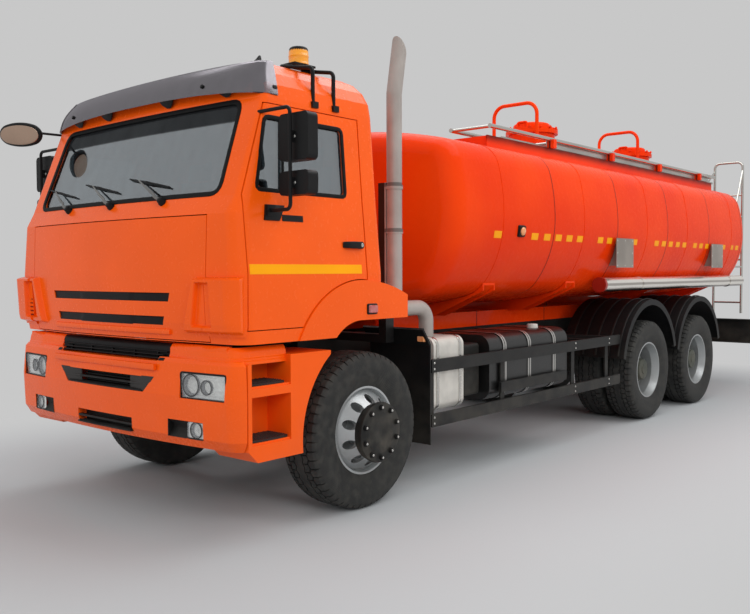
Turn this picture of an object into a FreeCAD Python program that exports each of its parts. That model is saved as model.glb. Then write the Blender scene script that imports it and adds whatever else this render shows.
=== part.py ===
import FreeCAD, Part
import math
import os

os.makedirs("parts", exist_ok=True)
V = FreeCAD.Vector

# A three-axle fuel tanker with a cab over its engine. Millimetres.
# X points to the truck's left side, Y to its rear and Z up. While it is modelled,
# Y is measured from the front axle. The finished pieces are moved along Y so that
# the origin is on the ground under the middle of the whole truck.

# Driving dimensions of the whole truck
WHEELBASE = 4600.0
BOGIE_SPACING = 1440.0
FRONT_OVERHANG = 1270.0
REAR_OVERHANG = 2150.0
HALF_WIDTH = 1250.0
OVERALL_LENGTH = FRONT_OVERHANG + WHEELBASE + BOGIE_SPACING + REAR_OVERHANG
REAR_END = OVERALL_LENGTH - FRONT_OVERHANG
REAR_AXLES = [WHEELBASE, WHEELBASE + BOGIE_SPACING]

# Shared clearances
OVERRUN = 10.0            # how far a cutting tool runs past the face that it cuts
PANEL_GAP = 6.0           # open seam between two body panels
FIT_GAP = 0.3             # between curved faces that carry each other
RUNNING_GAP = 5.0         # between parts that move past each other
ALIGNED_SHARE = 0.999

# Wheels and tyres
TYRE_RADIUS = 532.0
TYRE_WIDTH = 315.0
TYRE_SHOULDER = 55.0
RIM_RADIUS = 298.0
RIM_WIDTH = 250.0
RIM_WELL = 262.0
RIM_WALL = 14.0
DISC_WALL = 14.0
HAND_HOLE_RADIUS = 32.0
HAND_HOLES = 10
HAND_HOLE_CIRCLE = 212.0
NUT_CIRCLE = 167.5
NUT_RADIUS = 18.0
HUB_RADIUS = 125.0
HUB_CAP_RADIUS = 105.0
FRONT_HUB_CAP_REACH = 62.0
REAR_HUB_REACH = 70.0
HUB_STEP = 30.0
FRONT_TRACK_HALF = 1045.0
REAR_OUTER_HALF = 1090.0
DUAL_SPACING = 347.0
FRONT_DISC_OUTSET = 75.0  # the front disc bulges this far past its rim's outer edge
WHEEL_Z = TYRE_RADIUS

# Front axle and steering
KINGPIN_X = 900.0
KINGPIN_RADIUS = 44.0
EYE_HEIGHT = 130.0
LUG_THICKNESS = 30.0
LUG_HALF_WIDTH = 56.0
SPINDLE_RADIUS = 38.0
BRAKE_RADIUS = 205.0
BRAKE_WIDTH = 120.0
BACKPLATE_THICKNESS = 8.0
BEAM_HALF_DEPTH = 48.0
BEAM_HEIGHT = 76.0
BEAM_DROP = 60.0
STEER_ARM_X = 80.0
STEER_ARM_Y = 190.0
STEER_ARM_THICKNESS = 30.0
STEER_ARM_RADIUS = 30.0
STEER_ARM_DROP = 100.0
TIE_ROD_RADIUS = 18.0
TIE_ROD_EYE = 30.0
LUG_GAP = 1.0

# Chassis frame
RAIL_X = 385.0            # outer face of a main rail
RAIL_HEIGHT = 300.0
RAIL_WIDTH = 90.0
RAIL_WEB = 12.0
RAIL_TOP = 1080.0
RAIL_FRONT = -1050.0
RAIL_REAR_SET = 180.0     # rails end this far ahead of the rearmost point, the hitch
CROSS_DEPTH = 110.0
CROSS_HEIGHT = 180.0
CROSS_PLACES = [-900.0, 1560.0, 2600.0, 3600.0, 5265.0, 6900.0]
REST_X = 430.0            # the cab's rear rests stand outboard of the rails
REST_Y = 20.0
REST_WIDTH = 70.0

# Engine and gearbox
ENGINE_HALF = 330.0
ENGINE_FRONT = -700.0
ENGINE_REAR = 520.0
ENGINE_TOP = 1330.0
ENGINE_BOTTOM = 640.0
GEARBOX_HALF = 210.0
GEARBOX_REAR = 1500.0
GEARBOX_TOP = 1060.0
GEARBOX_BOTTOM = 660.0

# Springs
SPRING_WIDTH = 90.0
SPRING_LEAF = 22.0
FRONT_SPRING_HALF = 760.0
FRONT_SPRING_ARCH = 130.0
REAR_SPRING_HALF = 660.0
REAR_SPRING_STACK = 130.0
TRUNNION_RADIUS = 70.0
AXLE_TUBE_RADIUS = 85.0
DIFF_RADIUS = 225.0
DIFF_HALF = 190.0
REAR_DRUM_INNER_X = 560.0

# Bumper
BUMPER_BOTTOM = 565.0
BUMPER_TOP = 1088.0
BUMPER_LEDGE = 1063.0
LEDGE_HALF = 560.0
BUMPER_WALL = 45.0
BUMPER_LOW_Y = -1225.0
BUMPER_KNEE = 60.0
BUMPER_TAIL = -700.0
BUMPER_BEAM_Y = -1160.0
BEAM_LOW = 740.0
BUMPER_REAR = -1112.0
FACE_SAG = 70.0           # how far the front face curves back at its corners
CORNER_RADIUS = 110.0
GRILLE_HALF_TOP = 531.0
GRILLE_HALF_BOTTOM = 442.0
GRILLE_TOP = 961.0
GRILLE_BOTTOM = 866.0
STEP_SLOT_HALF = 315.0
STEP_SLOT_TOP = 692.0
STEP_SLOT_BOTTOM = 602.0
LAMP_INNER = 780.0
LAMP_OUTER = 1150.0
LAMP_TOP = 1010.0
LAMP_BOTTOM = 857.0
LAMP_DEPTH = 90.0
FOG_INNER = 672.0
FOG_OUTER = 970.0
FOG_TOP = 722.0
FOG_BOTTOM = 620.0
FOG_LAMP_INNER = 830.0
MOULDING_HALF = 1120.0
MOULDING_TOP = 1172.0
MOULDING_FRONT = -1176.0
MOULDING_REAR = -1110.0
MOULDING_ROUND = 59.0      # about the tilt axis, inside the sweep of the cab's lower edge

# Entry steps between the bumper and the front wheel
STEP_INNER_X = 900.0
STEP_FRONT = -1106.0
STEP_RECESS_FRONT = -1078.0
STEP_RECESS_REAR = -770.0
STEP_RECESS_DEPTH = 210.0
UPPER_TREAD = 930.0
LOWER_TREAD = 600.0
LOWER_RECESS_TOP = 880.0
STEP_BOTTOM = 497.0
ARCH_RADIUS = 672.0
STEP_TOP_FRONT = 1070.0
STEP_TOP_REAR = 1110.0
TREAD_THICKNESS = 12.0
STEP_TAIL = 420.0
STEP_TIE_Y = -900.0
ARCH_Z = 560.0

# Cab
CAB_BOTTOM = 1185.0
FACE_LOW_Y = -1213.0
FACE_Z = 1300.0
FACE_Y = -1236.0
FACE_MID_Y = -1246.0
COWL_Y = -1236.0
BELT_Y = -1165.0
GUTTER_Y = -928.0
HALF_COWL = 1218.0
HALF_BELT = 1207.0
HALF_GUTTER = 1160.0
CAB_REAR = 110.0
CAB_WALL = 45.0
BELT_SAG = 60.0           # the bow of the front grows flatter towards the roof
BELT_CORNER = 80.0
GUTTER_SAG = 45.0
GUTTER_CORNER = 40.0
REAR_CORNER = 60.0
BELT_Z = 2045.0
GUTTER_Z = 2640.0
ROOF_Z = 2915.0
ROOF_STEPS = 5
ROOF_SIDE_DRAW = 300.0
ROOF_FRONT_DRAW = 260.0
ROOF_REAR_DRAW = 70.0
COWL_Z = 1940.0
FLOOR_Z = 1345.0
TUNNEL_Z = 1500.0
TUNNEL_HALF = 480.0
FLOOR_THICKNESS = 25.0
TILT_Y = -1120.0
TILT_Z = 1120.0
WINDSCREEN_HALF_LOW = 1010.0
WINDSCREEN_HALF_TOP = 975.0
WINDSCREEN_LOW = 2066.0
WINDSCREEN_TOP = 2630.0
WINDOW_CORNER = 70.0
GLASS_THICKNESS = 6.0
GLASS_INSET = 14.0
REAR_WINDOW_HALF = 420.0
REAR_WINDOW_LOW = 2120.0
REAR_WINDOW_TOP = 2480.0
PAD_LOW = 1230.0
PAD_TOP = 1570.0
FIREWALL_Y = -1105.0
FOOT_FRONT = -1045.0
FOOT_REAR = -985.0

# Doors
DOOR_FRONT = -1092.0
DOOR_BELT_FRONT = -1080.0
DOOR_TOP_FRONT = -880.0
DOOR_INNER_X = 1095.0
DOOR_REAR = -72.0
DOOR_BOTTOM = 1268.0
DOOR_TOP = 2600.0
DOOR_REAR_GAP = 12.0
LATCH_DEPTH = 24.0
LATCH_LENGTH = 50.0
LATCH_LOW = 1700.0
LATCH_TOP = 1800.0
HINGE_Y = -1078.0
DOOR_SWEEP = 190.0         # about the hinge axis, past the door's innermost front corner
WINDOW_FRONT_LOW = -985.0
WINDOW_FRONT_TOP = -882.0
WINDOW_REAR = -230.0
WINDOW_LOW = 2090.0
WINDOW_TOP = 2515.0
CREASE_Z = 1590.0
HANDLE_Y = -175.0
HANDLE_Z = 1775.0
HANDLE_LENGTH = 130.0
HANDLE_HEIGHT = 38.0
HANDLE_REACH = 26.0

# Wings over the front wheels
WING_INNER_X = 905.0
WING_PROUD = 12.0
WING_FRONT = -700.0
WING_PEAK_Y = -137.0
WING_PEAK_Z = 1549.0
WING_REAR = 348.0
WING_REAR_TOP = 1443.0
WING_EDGE_Z = 1286.0
WING_EDGE_FRONT = -378.0
WING_EDGE_Y = -150.0
WING_SHOULDER_Y = -480.0
WING_SHOULDER_Z = 1440.0

# Front lid under the windscreen
LID_HALF = 985.0
LID_BOTTOM = 1196.0
LID_THICKNESS = 40.0
LID_HINGE_Z = 1934.0
SLOT_TOPS = [1480.0, 1336.0]
SLOT_HALVES = [672.0, 614.0]
SLOT_HEIGHT = 53.0
SLOT_TAPER = 16.0
SLOT_BACK = 14.0
LID_STOP_X = 800.0
LID_STOP_Z = 1400.0

# Mirrors
MIRROR_X = 1400.0
MIRROR_Y = -800.0
MAIN_MIRROR_WIDTH = 240.0
MAIN_MIRROR_LOW = 2243.0
MAIN_MIRROR_TOP = 2514.0
WIDE_MIRROR_LOW = 2045.0
WIDE_MIRROR_TOP = 2184.0
MIRROR_DEPTH = 80.0
MIRROR_CORNER = 30.0
MIRROR_ARM_RADIUS = 11.0
MIRROR_ARM_Y = -905.0
MIRROR_ARM_TOP = 2546.0
MIRROR_ARM_LOW = 1962.0
FRONT_MIRROR_X = 1330.0
FRONT_MIRROR_Y = -1085.0
FRONT_MIRROR_Z = 2655.0
FRONT_MIRROR_LENGTH = 270.0
FRONT_MIRROR_HEIGHT = 80.0
FRONT_ARM_Y = -700.0

# Sun visor and beacon
VISOR_HALF = 1165.0
VISOR_THICKNESS = 6.0
VISOR_REACH = 70.0
VISOR_LOW = 2655.0
VISOR_TOP = 2880.0
VISOR_END = -740.0
VISOR_BRACKETS = [-900.0, -300.0, 300.0, 900.0]
BEACON_X = 930.0
BEACON_RADIUS = 62.0
BEACON_BASE_Z = 2945.0
BEACON_HEIGHT = 115.0
RACK_RADIUS = 13.0
RACK_FRONT_Y = -464.0
RACK_REAR_Y = -276.0
RACK_FOOT_X = 1150.0
WIPER_X = 540.0
WIPER_LENGTH = 620.0
WIPER_RADIUS = 8.0

# Cab interior
SEAT_WIDTH = 480.0
SEAT_DEPTH = 470.0
SEAT_BASE_THICKNESS = 130.0
SEAT_Z = 1850.0
SEAT_BACK_TOP = 2480.0
SEAT_BACK_THICKNESS = 110.0
SEAT_FRONT = -480.0
SEAT_XS = [620.0, 0.0, -620.0]
DASH_DEPTH = 330.0
DASH_TOP = 1990.0
DASH_BOTTOM = 1640.0
STEERING_X = 620.0
STEERING_RADIUS = 235.0
STEERING_Y = -640.0
STEERING_Z = 2000.0
STEERING_RIM = 14.0
COLUMN_LENGTH = 300.0
COLUMN_RAKE_DEG = -30.0

# Exhaust
STACK_X = 1000.0
STACK_Y = 525.0
STACK_RADIUS = 56.5
STACK_BEND_Z = 2890.0
STACK_TOP_Z = 3306.0
STACK_LEAN = 75.0
STACK_FOOT_Z = 1330.0
ELBOW_Y = 905.0
ELBOW_BEND = 110.0
SILENCER_FRONT = 800.0
SILENCER_REAR = 1190.0
SILENCER_INNER_X = 560.0
SILENCER_OUTER_X = 1150.0
SILENCER_LOW = 546.0
SILENCER_TOP = 1105.0
SILENCER_ROUND = 70.0
CHANNEL_WIDTH = 90.0
CHANNEL_DEPTH = 60.0
CHANNEL_TOP = 2250.0
CLAMP_WIDTH = 30.0
CLAMP_THICKNESS = 6.0
CLAMP_PLACES = [1880.0, 2200.0]
MOUTH_DROP = 200.0
MOUTH_DEPTH = 320.0

# Boxes and tanks along the frame
BATTERY_FRONT = 1225.0
BATTERY_REAR = 1510.0
BATTERY_LOW = 600.0
BATTERY_TOP = 1020.0
BATTERY_OUTER_X = 1080.0
BOX_INNER_X = 520.0
FUEL_FRONT = 1560.0
FUEL_REAR = 2880.0
FUEL_LOW = 540.0
FUEL_TOP = 1080.0
FUEL_OUTER_X = 1150.0
FUEL_ROUND = 110.0
STRAP_WIDTH = 55.0
STRAP_THICKNESS = 5.0
STRAP_PLACES = [1790.0, 2190.0, 2630.0]
FILLER_X = 950.0
FILLER_Y = 2590.0
FILLER_RADIUS = 45.0
FILLER_HEIGHT = 32.0
AIR_TANK_RADIUS = 125.0
AIR_TANK_LENGTH = 1150.0
AIR_TANK_SPACE = 120.0

# Side guards
GUARD_X = 1200.0
GUARD_THICKNESS = 28.0
GUARD_FRONT = 715.0
GUARD_REAR = 3925.0
GUARD_UPPER_LOW = 855.0
GUARD_UPPER_TOP = 950.0
GUARD_LOWER_LOW = 450.0
GUARD_LOWER_TOP = 545.0
GUARD_MIDDLE_LOW = 605.0
GUARD_MIDDLE_TOP = 690.0
GUARD_MIDDLE_FRONT = 1665.0
GUARD_MIDDLE_REAR = 2785.0
GUARD_POST_WIDTH = 60.0
GUARD_POSTS = [742.0, 2955.0, 3666.0]
GUARD_ARMS = [742.0, 3200.0, 3666.0]
GUARD_ARM_SIZE = 50.0

# Mudguards
MUDGUARD_RADIUS = 712.0
MUDGUARD_THICKNESS = 8.0
MUDGUARD_LIP = 60.0
MUDGUARD_Z = 580.0
MUDGUARD_INNER_X = 560.0
MUDGUARD_START_DEG = 14.0
MUDGUARD_SWEEP_DEG = 156.0
FLAP_FRONT = 668.0
FLAP_THICKNESS = 12.0
FLAP_LOW = 330.0
FLAP_TOP = 1180.0
FLAP_INNER_X = 640.0
FLAP_OUTER_X = 1215.0
FLAP_KNEE = 590.0

# Tank
TANK_FRONT = 800.0
TANK_REAR = 8010.0
TANK_HALF = 1218.0
TANK_WIDEST_Z = 2060.0
TANK_TOP = 2760.0
TANK_BOTTOM = 1290.0
TANK_TOP_RADIUS = 4500.0
TANK_TOP_CORNER = 260.0
TANK_UPPER_SIDE = 1600.0
TANK_LOWER_SIDE = 900.0
TANK_BOTTOM_CORNER = 300.0
TANK_BOTTOM_RADIUS = 3500.0
HEAD_SPHERE = 3600.0
HEAD_ROUND = 190.0
SEAMS = [1680.0, 3100.0, 4550.0, 5700.0, 7250.0]
SEAM_HALF = 12.0
SEAM_PROUD = 3.0
SADDLES = [1735.0, 3165.0, 5320.0, 7250.0]
SADDLE_WIDTH = 180.0
SADDLE_PLATE = 12.0
SADDLE_HALF_TOP = 1030.0
SADDLE_HALF_BOTTOM = 520.0
SADDLE_REACH = 90.0
SUBFRAME_HEIGHT = 140.0
SUBFRAME_WIDTH = 80.0
SUBFRAME_FRONT = 1120.0

# Top of the tank
NECK_YS = [4200.0, 6800.0]
NECK_RADIUS = 255.0
NECK_FLANGE_RADIUS = 290.0
NECK_FLANGE_HEIGHT = 40.0
NECK_TOP = 3165.0
LID_RADIUS = 265.0
LID_DOME = 60.0
LID_PLATE = 26.0
LID_EAR = 60.0
EAR_REACH = 45.0
LID_PIN_RADIUS = 12.0
HOOP_RADIUS = 20.0
HOOP_HALF = 270.0
HOOP_TOP = 3420.0
HOOP_OFFSET = 355.0
HOOP_BEND = 130.0
DECK_FRONT = 2360.0
DECK_REAR = 8060.0
DECK_INNER_X = 330.0
DECK_OUTER_X = 760.0
DECK_Z = 2800.0
DECK_THICKNESS = 28.0
POST_X = 800.0
POST_YS = [3205.0, 4513.0, 5822.0, 7150.0]
POST_WIDTH = 60.0
COAMING_FRONT = 2060.0
COAMING_THICKNESS = 12.0
BEAM_FOOT_Z = 2600.0
LAST_BEAM_Y = 7640.0
RAIL_TUBE = 20.0
HANDRAIL_Z = 2885.0
HANDRAIL_FRONT = 2100.0
HANDRAIL_REAR = 7780.0
HANDRAIL_REACH = 420.0
HANDRAIL_STRUTS = [2130.0, 3400.0, 4700.0, 6000.0, 7300.0, 7750.0]

# Rear end
LADDER_X = 880.0
LADDER_HALF = 190.0
LADDER_Y = 8130.0
LADDER_TUBE = 18.0
LADDER_LOW = 1000.0
LADDER_TOP = 3110.0
RUNG_PITCH = 300.0
LADDER_STAYS = [1650.0, 2350.0]
BRACE_TOP_Z = 3000.0
BRACE_FOOT_Y = 7820.0
BRACE_FOOT_Z = 2400.0
REAR_BUMPER_Y = 8010.0
REAR_BUMPER_DEPTH = 120.0
REAR_BUMPER_LOW = 590.0
REAR_BUMPER_TOP = 920.0
REAR_BUMPER_WALL = 8.0
REAR_LAMP_WIDTH = 400.0
REAR_LAMP_HEIGHT = 130.0
REAR_LAMP_DEPTH = 40.0
HITCH_Z = 985.0
HITCH_RADIUS = 25.0
HITCH_LENGTH = 90.0
HITCH_WIDTH = 150.0
HITCH_DEPTH = 180.0

# Hose tubes and blank plates on the tank's sides
HOSE_X = 1128.0
HOSE_Z = 1462.0
HOSE_RADIUS = 70.0
HOSE_FRONT = 3580.0
HOSE_REAR = 7830.0
HOSE_CAP = 40.0
HOSE_CLAMPS = [4510.0, 7300.0]
PLATE_YS = [3920.0, 6625.0]
PLATE_LENGTH = 400.0
PLATE_LOW = 1634.0
PLATE_TOP = 1928.0
PLATE_THICKNESS = 6.0
PLATE_STANDOFF = 30.0
OUTLET_RADIUS = 50.0
OUTLET_FLANGE = 95.0
OUTLET_X = -160.0         # beside the way down to the hitch pin
OUTLET_Y = 7500.0
OUTLET_Z = 1190.0
OUTLET_END = 8150.0
OUTLET_BEND = 90.0
OUTLET_BORE_DEPTH = 80.0


# Small helpers

def box(x0, x1, y0, y1, z0, z1):
    """A box between two corners."""
    return Part.makeBox(x1 - x0, y1 - y0, z1 - z0, V(x0, y0, z0))


def rod(start, end, radius):
    """A round bar between two points."""
    a, b = V(*start), V(*end)
    return Part.makeCylinder(radius, (b - a).Length, a, b - a)


def tube(start, end, outer, inner):
    """A straight pipe between two points."""
    return rod(start, end, outer).cut(rod(start, end, inner))


def face_of(points):
    """A flat face whose outline is straight between the points."""
    corners = [V(*p) for p in points]
    return Part.Face(Part.makePolygon(corners + corners[:1]))


def along_x(outline, x0, x1):
    """Carry an outline of (y, z) points from x0 to x1."""
    return face_of([(x0, y, z) for y, z in outline]).extrude(V(x1 - x0, 0, 0))


def along_y(outline, y0, y1):
    """Carry an outline of (x, z) points from y0 to y1."""
    return face_of([(x, y0, z) for x, z in outline]).extrude(V(0, y1 - y0, 0))


def along_z(outline, z0, z1):
    """Carry an outline of (x, y) points from z0 to z1."""
    return face_of([(x, y, z0) for x, y in outline]).extrude(V(0, 0, z1 - z0))


def fuse(solids):
    """Join solids that touch into one."""
    first = solids[0]
    return first.fuse(solids[1:]).removeSplitter() if len(solids) > 1 else first


def mirrored(shape):
    """The same shape on the truck's other side."""
    return shape.mirror(V(0, 0, 0), V(1, 0, 0))


def both_sides(solids):
    """The solids with their mirror images."""
    return list(solids) + [mirrored(s) for s in solids]


def round_edges(shape, radius, chosen):
    """Round the edges for which chosen(edge) is true."""
    edges = [e for e in shape.Edges if chosen(e)]
    return shape.makeFillet(radius, edges)


def runs_along(edge, axis):
    """Whether an edge is straight and parallel to an axis."""
    ends = [v.Point for v in edge.Vertexes]
    if len(ends) < 2:
        return False
    way = ends[1] - ends[0]
    return way.Length > OVERRUN and abs(way.normalize().dot(axis)) > ALIGNED_SHARE


def bent_rod(points, radius, bend):
    """A round bar along straight runs joined by tangent arcs of radius bend."""
    p = [V(*q) for q in points]
    edges = []
    here = p[0]
    for before, corner, after in zip(p, p[1:], p[2:]):
        back = (before - corner).normalize()
        ahead = (after - corner).normalize()
        half = back.getAngle(ahead) / 2
        reach = bend / math.tan(half)
        middle = (back + ahead).normalize()
        centre = corner + middle * (bend / math.sin(half))
        first = corner + back * reach
        last = corner + ahead * reach
        edges.append(Part.LineSegment(here, first).toShape())
        edges.append(Part.Arc(first, centre - middle * bend, last).toShape())
        here = last
    edges.append(Part.LineSegment(here, p[-1]).toShape())
    path = Part.Wire(edges)
    ring = Part.Wire(Part.makeCircle(radius, p[0], p[1] - p[0]))
    return path.makePipeShell([ring], True, False)


def save(name, solids):
    """Write one node, moved so that the origin is under the truck's middle."""
    shape = solids[0] if len(solids) == 1 else Part.makeCompound(solids)
    shape = shape.copy()
    shape.translate(V(0, FRONT_OVERHANG - OVERALL_LENGTH / 2, 0))
    shape.exportStep("parts/" + name + ".step")
    print(name, len(shape.Solids), "solids", shape.isValid())


# Wheels. Each is modelled about the X axis with its outer side towards +X.

DISC_MEET = DUAL_SPACING / 2
BORE_RADIUS = SPINDLE_RADIUS + FIT_GAP
DRUM_FRONT_X = (KINGPIN_X + KINGPIN_RADIUS + OVERRUN + RUNNING_GAP + LUG_THICKNESS / 2
                + BACKPLATE_THICKNESS + RUNNING_GAP)
SPINDLE_END_X = FRONT_TRACK_HALF + RIM_WIDTH / 2
REAR_HUB_X = REAR_OUTER_HALF - DISC_MEET


def revolved(profile):
    """Turn an outline of (x, radius) points about the X axis."""
    return face_of([(x, r, 0) for x, r in profile]).revolve(V(0, 0, 0), V(1, 0, 0), 360)


def tyre():
    """A closed ring with bulging side walls and a flat tread."""
    bead = RIM_RADIUS + FIT_GAP
    half = TYRE_WIDTH / 2
    tread = half - TYRE_SHOULDER / 2
    waist = (bead + TYRE_RADIUS) / 2
    shoulder = TYRE_RADIUS - TYRE_SHOULDER
    edges = []
    for side in (-1, 1):
        low = V(side * RIM_WIDTH / 2, bead, 0)
        wide = V(side * half, waist, 0)
        high = V(side * (half - OVERRUN), shoulder, 0)
        edges.append(Part.Arc(low, wide, high).toShape())
        edges.append(Part.LineSegment(high, V(side * tread, TYRE_RADIUS, 0)).toShape())
    edges.append(Part.LineSegment(V(-tread, TYRE_RADIUS, 0), V(tread, TYRE_RADIUS, 0)).toShape())
    edges.append(Part.LineSegment(V(-RIM_WIDTH / 2, bead, 0), V(RIM_WIDTH / 2, bead, 0)).toShape())
    outline = Part.Wire(Part.__sortEdges__(edges))
    return Part.Face(outline).revolve(V(0, 0, 0), V(1, 0, 0), 360)


def rim_barrel():
    """The rim with its flanges and its drop centre."""
    half = RIM_WIDTH / 2
    well = RIM_WIDTH / 5
    outer = [(-half, RIM_RADIUS), (-well, RIM_WELL + RIM_WALL), (well, RIM_WELL + RIM_WALL),
             (half, RIM_RADIUS)]
    inner = [(x, r - RIM_WALL) for x, r in reversed(outer)]
    return revolved(outer + inner)


def hand_holes(x0, x1):
    """Round tools for the ring of holes in a wheel disc."""
    tools = []
    for i in range(HAND_HOLES):
        a = 2 * math.pi * (i + 1 / 2) / HAND_HOLES
        y, z = HAND_HOLE_CIRCLE * math.cos(a), HAND_HOLE_CIRCLE * math.sin(a)
        tools.append(rod((x0, y, z), (x1, y, z), HAND_HOLE_RADIUS))
    return tools


def front_rim():
    """Rim, outward bulging disc, hub and brake drum in one turning piece."""
    face = RIM_WIDTH / 2 + FRONT_DISC_OUTSET
    half = RIM_WIDTH / 2
    seat = half - FRONT_DISC_OUTSET / 2
    edge = RIM_RADIUS - RIM_WALL - OVERRUN
    well = RIM_WIDTH / 5
    disc = revolved([(well, RIM_WELL + RIM_WALL / 2), (seat, edge),
                     (half, HAND_HOLE_CIRCLE + HAND_HOLE_RADIUS),
                     (face, NUT_CIRCLE + NUT_RADIUS), (face, 0), (face - DISC_WALL, 0),
                     (face - DISC_WALL, NUT_CIRCLE + NUT_RADIUS - DISC_WALL),
                     (half - DISC_WALL, HAND_HOLE_CIRCLE + HAND_HOLE_RADIUS - DISC_WALL),
                     (seat - DISC_WALL, edge - DISC_WALL), (well, RIM_WELL)])
    disc = disc.cut(hand_holes(0, face))
    drum_start = DRUM_FRONT_X - FRONT_TRACK_HALF
    drum = rod((drum_start, 0, 0), (drum_start + BRAKE_WIDTH, 0, 0), BRAKE_RADIUS)
    hub = rod((drum_start, 0, 0), (face, 0, 0), HUB_RADIUS)
    cap = rod((face, 0, 0), (face + FRONT_HUB_CAP_REACH, 0, 0), HUB_CAP_RADIUS)
    cap = round_edges(cap, FRONT_HUB_CAP_REACH / 2, lambda e: e.CenterOfMass.x > face + RUNNING_GAP
                      and e.Curve.TypeId == "Part::GeomCircle")
    whole = fuse([rim_barrel(), disc, hub, drum, cap])
    bore_end = SPINDLE_END_X - FRONT_TRACK_HALF + RUNNING_GAP
    return whole.cut(rod((drum_start - OVERRUN, 0, 0), (bore_end, 0, 0), BORE_RADIUS))


def rear_rims():
    """Two rims back to back on one hub, with the drum inside the inner one."""
    meet = -DISC_MEET
    well = RIM_WIDTH / 5
    bend = meet + DISC_WALL + FRONT_DISC_OUTSET / 2
    edge = BRAKE_RADIUS + HAND_HOLE_RADIUS + DISC_WALL
    seat = RIM_WELL + RIM_WALL / 2
    disc = revolved([(-well, seat), (bend, edge), (meet + DISC_WALL, BRAKE_RADIUS), (meet + DISC_WALL, 0),
                     (meet, 0), (meet, BRAKE_RADIUS + DISC_WALL / 2),
                     (bend - DISC_WALL / 2, edge + DISC_WALL / 2), (-well - DISC_WALL, seat + DISC_WALL / 4)])
    outer = rim_barrel().fuse(disc).cut(hand_holes(meet - OVERRUN, 0))
    inner = outer.mirror(V(meet, 0, 0), V(1, 0, 0))
    drum_end = REAR_DRUM_INNER_X - REAR_OUTER_HALF
    drum = rod((drum_end, 0, 0), (meet, 0, 0), BRAKE_RADIUS - OVERRUN)
    reach = meet + FRONT_DISC_OUTSET + REAR_HUB_REACH
    hub = rod((meet, 0, 0), (reach, 0, 0), HUB_RADIUS)
    hub = hub.fuse(rod((reach, 0, 0), (reach + HUB_STEP, 0, 0), HUB_CAP_RADIUS))
    whole = fuse([outer, inner, drum, hub])
    return whole.cut(rod((drum_end - OVERRUN, 0, 0), (meet, 0, 0), BORE_RADIUS))


def placed_wheel(shape, side, x, y):
    """Put a wheel at its place. side is 1 on the left and -1 on the right."""
    put = shape.copy()
    put.translate(V(x, y, WHEEL_Z))
    return put if side > 0 else mirrored(put)


def build_wheels():
    rubber = tyre()
    front = front_rim()
    rear = rear_rims()
    for side, hand in ((1, "left"), (-1, "right")):
        save("tyre_front_" + hand, [placed_wheel(rubber, side, FRONT_TRACK_HALF, 0)])
        save("wheel_front_" + hand, [placed_wheel(front, side, FRONT_TRACK_HALF, 0)])
        for number, y in enumerate(REAR_AXLES, 1):
            tag = str(number) + "_" + hand
            pair = [placed_wheel(rubber, side, x, y)
                    for x in (REAR_OUTER_HALF, REAR_OUTER_HALF - DUAL_SPACING)]
            save("tyres_rear_" + tag, pair)
            save("wheel_rear_" + tag, [placed_wheel(rear, side, REAR_OUTER_HALF, y)])


# Front axle, knuckles and tie rod

EYE_RADIUS = KINGPIN_RADIUS + OVERRUN
ARM_END_X = KINGPIN_X - STEER_ARM_X


def front_axle():
    """A forged beam that drops between its ends, with an eye at each kingpin."""
    low = WHEEL_Z - BEAM_HEIGHT / 2 - BEAM_DROP
    high = WHEEL_Z - BEAM_HEIGHT / 2
    knee_out = KINGPIN_X - EYE_RADIUS - LUG_HALF_WIDTH
    knee_in = knee_out - 2 * BEAM_DROP
    half = [(knee_in, low), (knee_out, high), (KINGPIN_X, high),
            (KINGPIN_X, high + BEAM_HEIGHT), (knee_out, high + BEAM_HEIGHT),
            (knee_in, low + BEAM_HEIGHT)]
    outline = half + [(-x, z) for x, z in reversed(half)]
    beam = along_y(outline, -BEAM_HALF_DEPTH, BEAM_HALF_DEPTH)
    solids = [beam]
    z0 = WHEEL_Z - EYE_HEIGHT / 2
    for x in (KINGPIN_X, -KINGPIN_X):
        solids.append(rod((x, 0, z0), (x, 0, z0 + EYE_HEIGHT), EYE_RADIUS))
        solids.append(rod((x, 0, z0 - LUG_THICKNESS), (x, 0, z0 + EYE_HEIGHT + LUG_THICKNESS),
                          KINGPIN_RADIUS / 2))
    trim = [box(side * KINGPIN_X - LUG_HALF_WIDTH, side * KINGPIN_X + LUG_HALF_WIDTH,
                -BEAM_HALF_DEPTH - OVERRUN, BEAM_HALF_DEPTH + OVERRUN, low, 2 * WHEEL_Z)
            for side in (-1, 1)]
    return fuse([beam.cut(trim)] + solids[1:] + [
        box(min(a, b), max(a, b), -EYE_RADIUS / 2, EYE_RADIUS / 2, high, high + BEAM_HEIGHT)
        for a, b in ((knee_out, KINGPIN_X), (-knee_out, -KINGPIN_X))])


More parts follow.
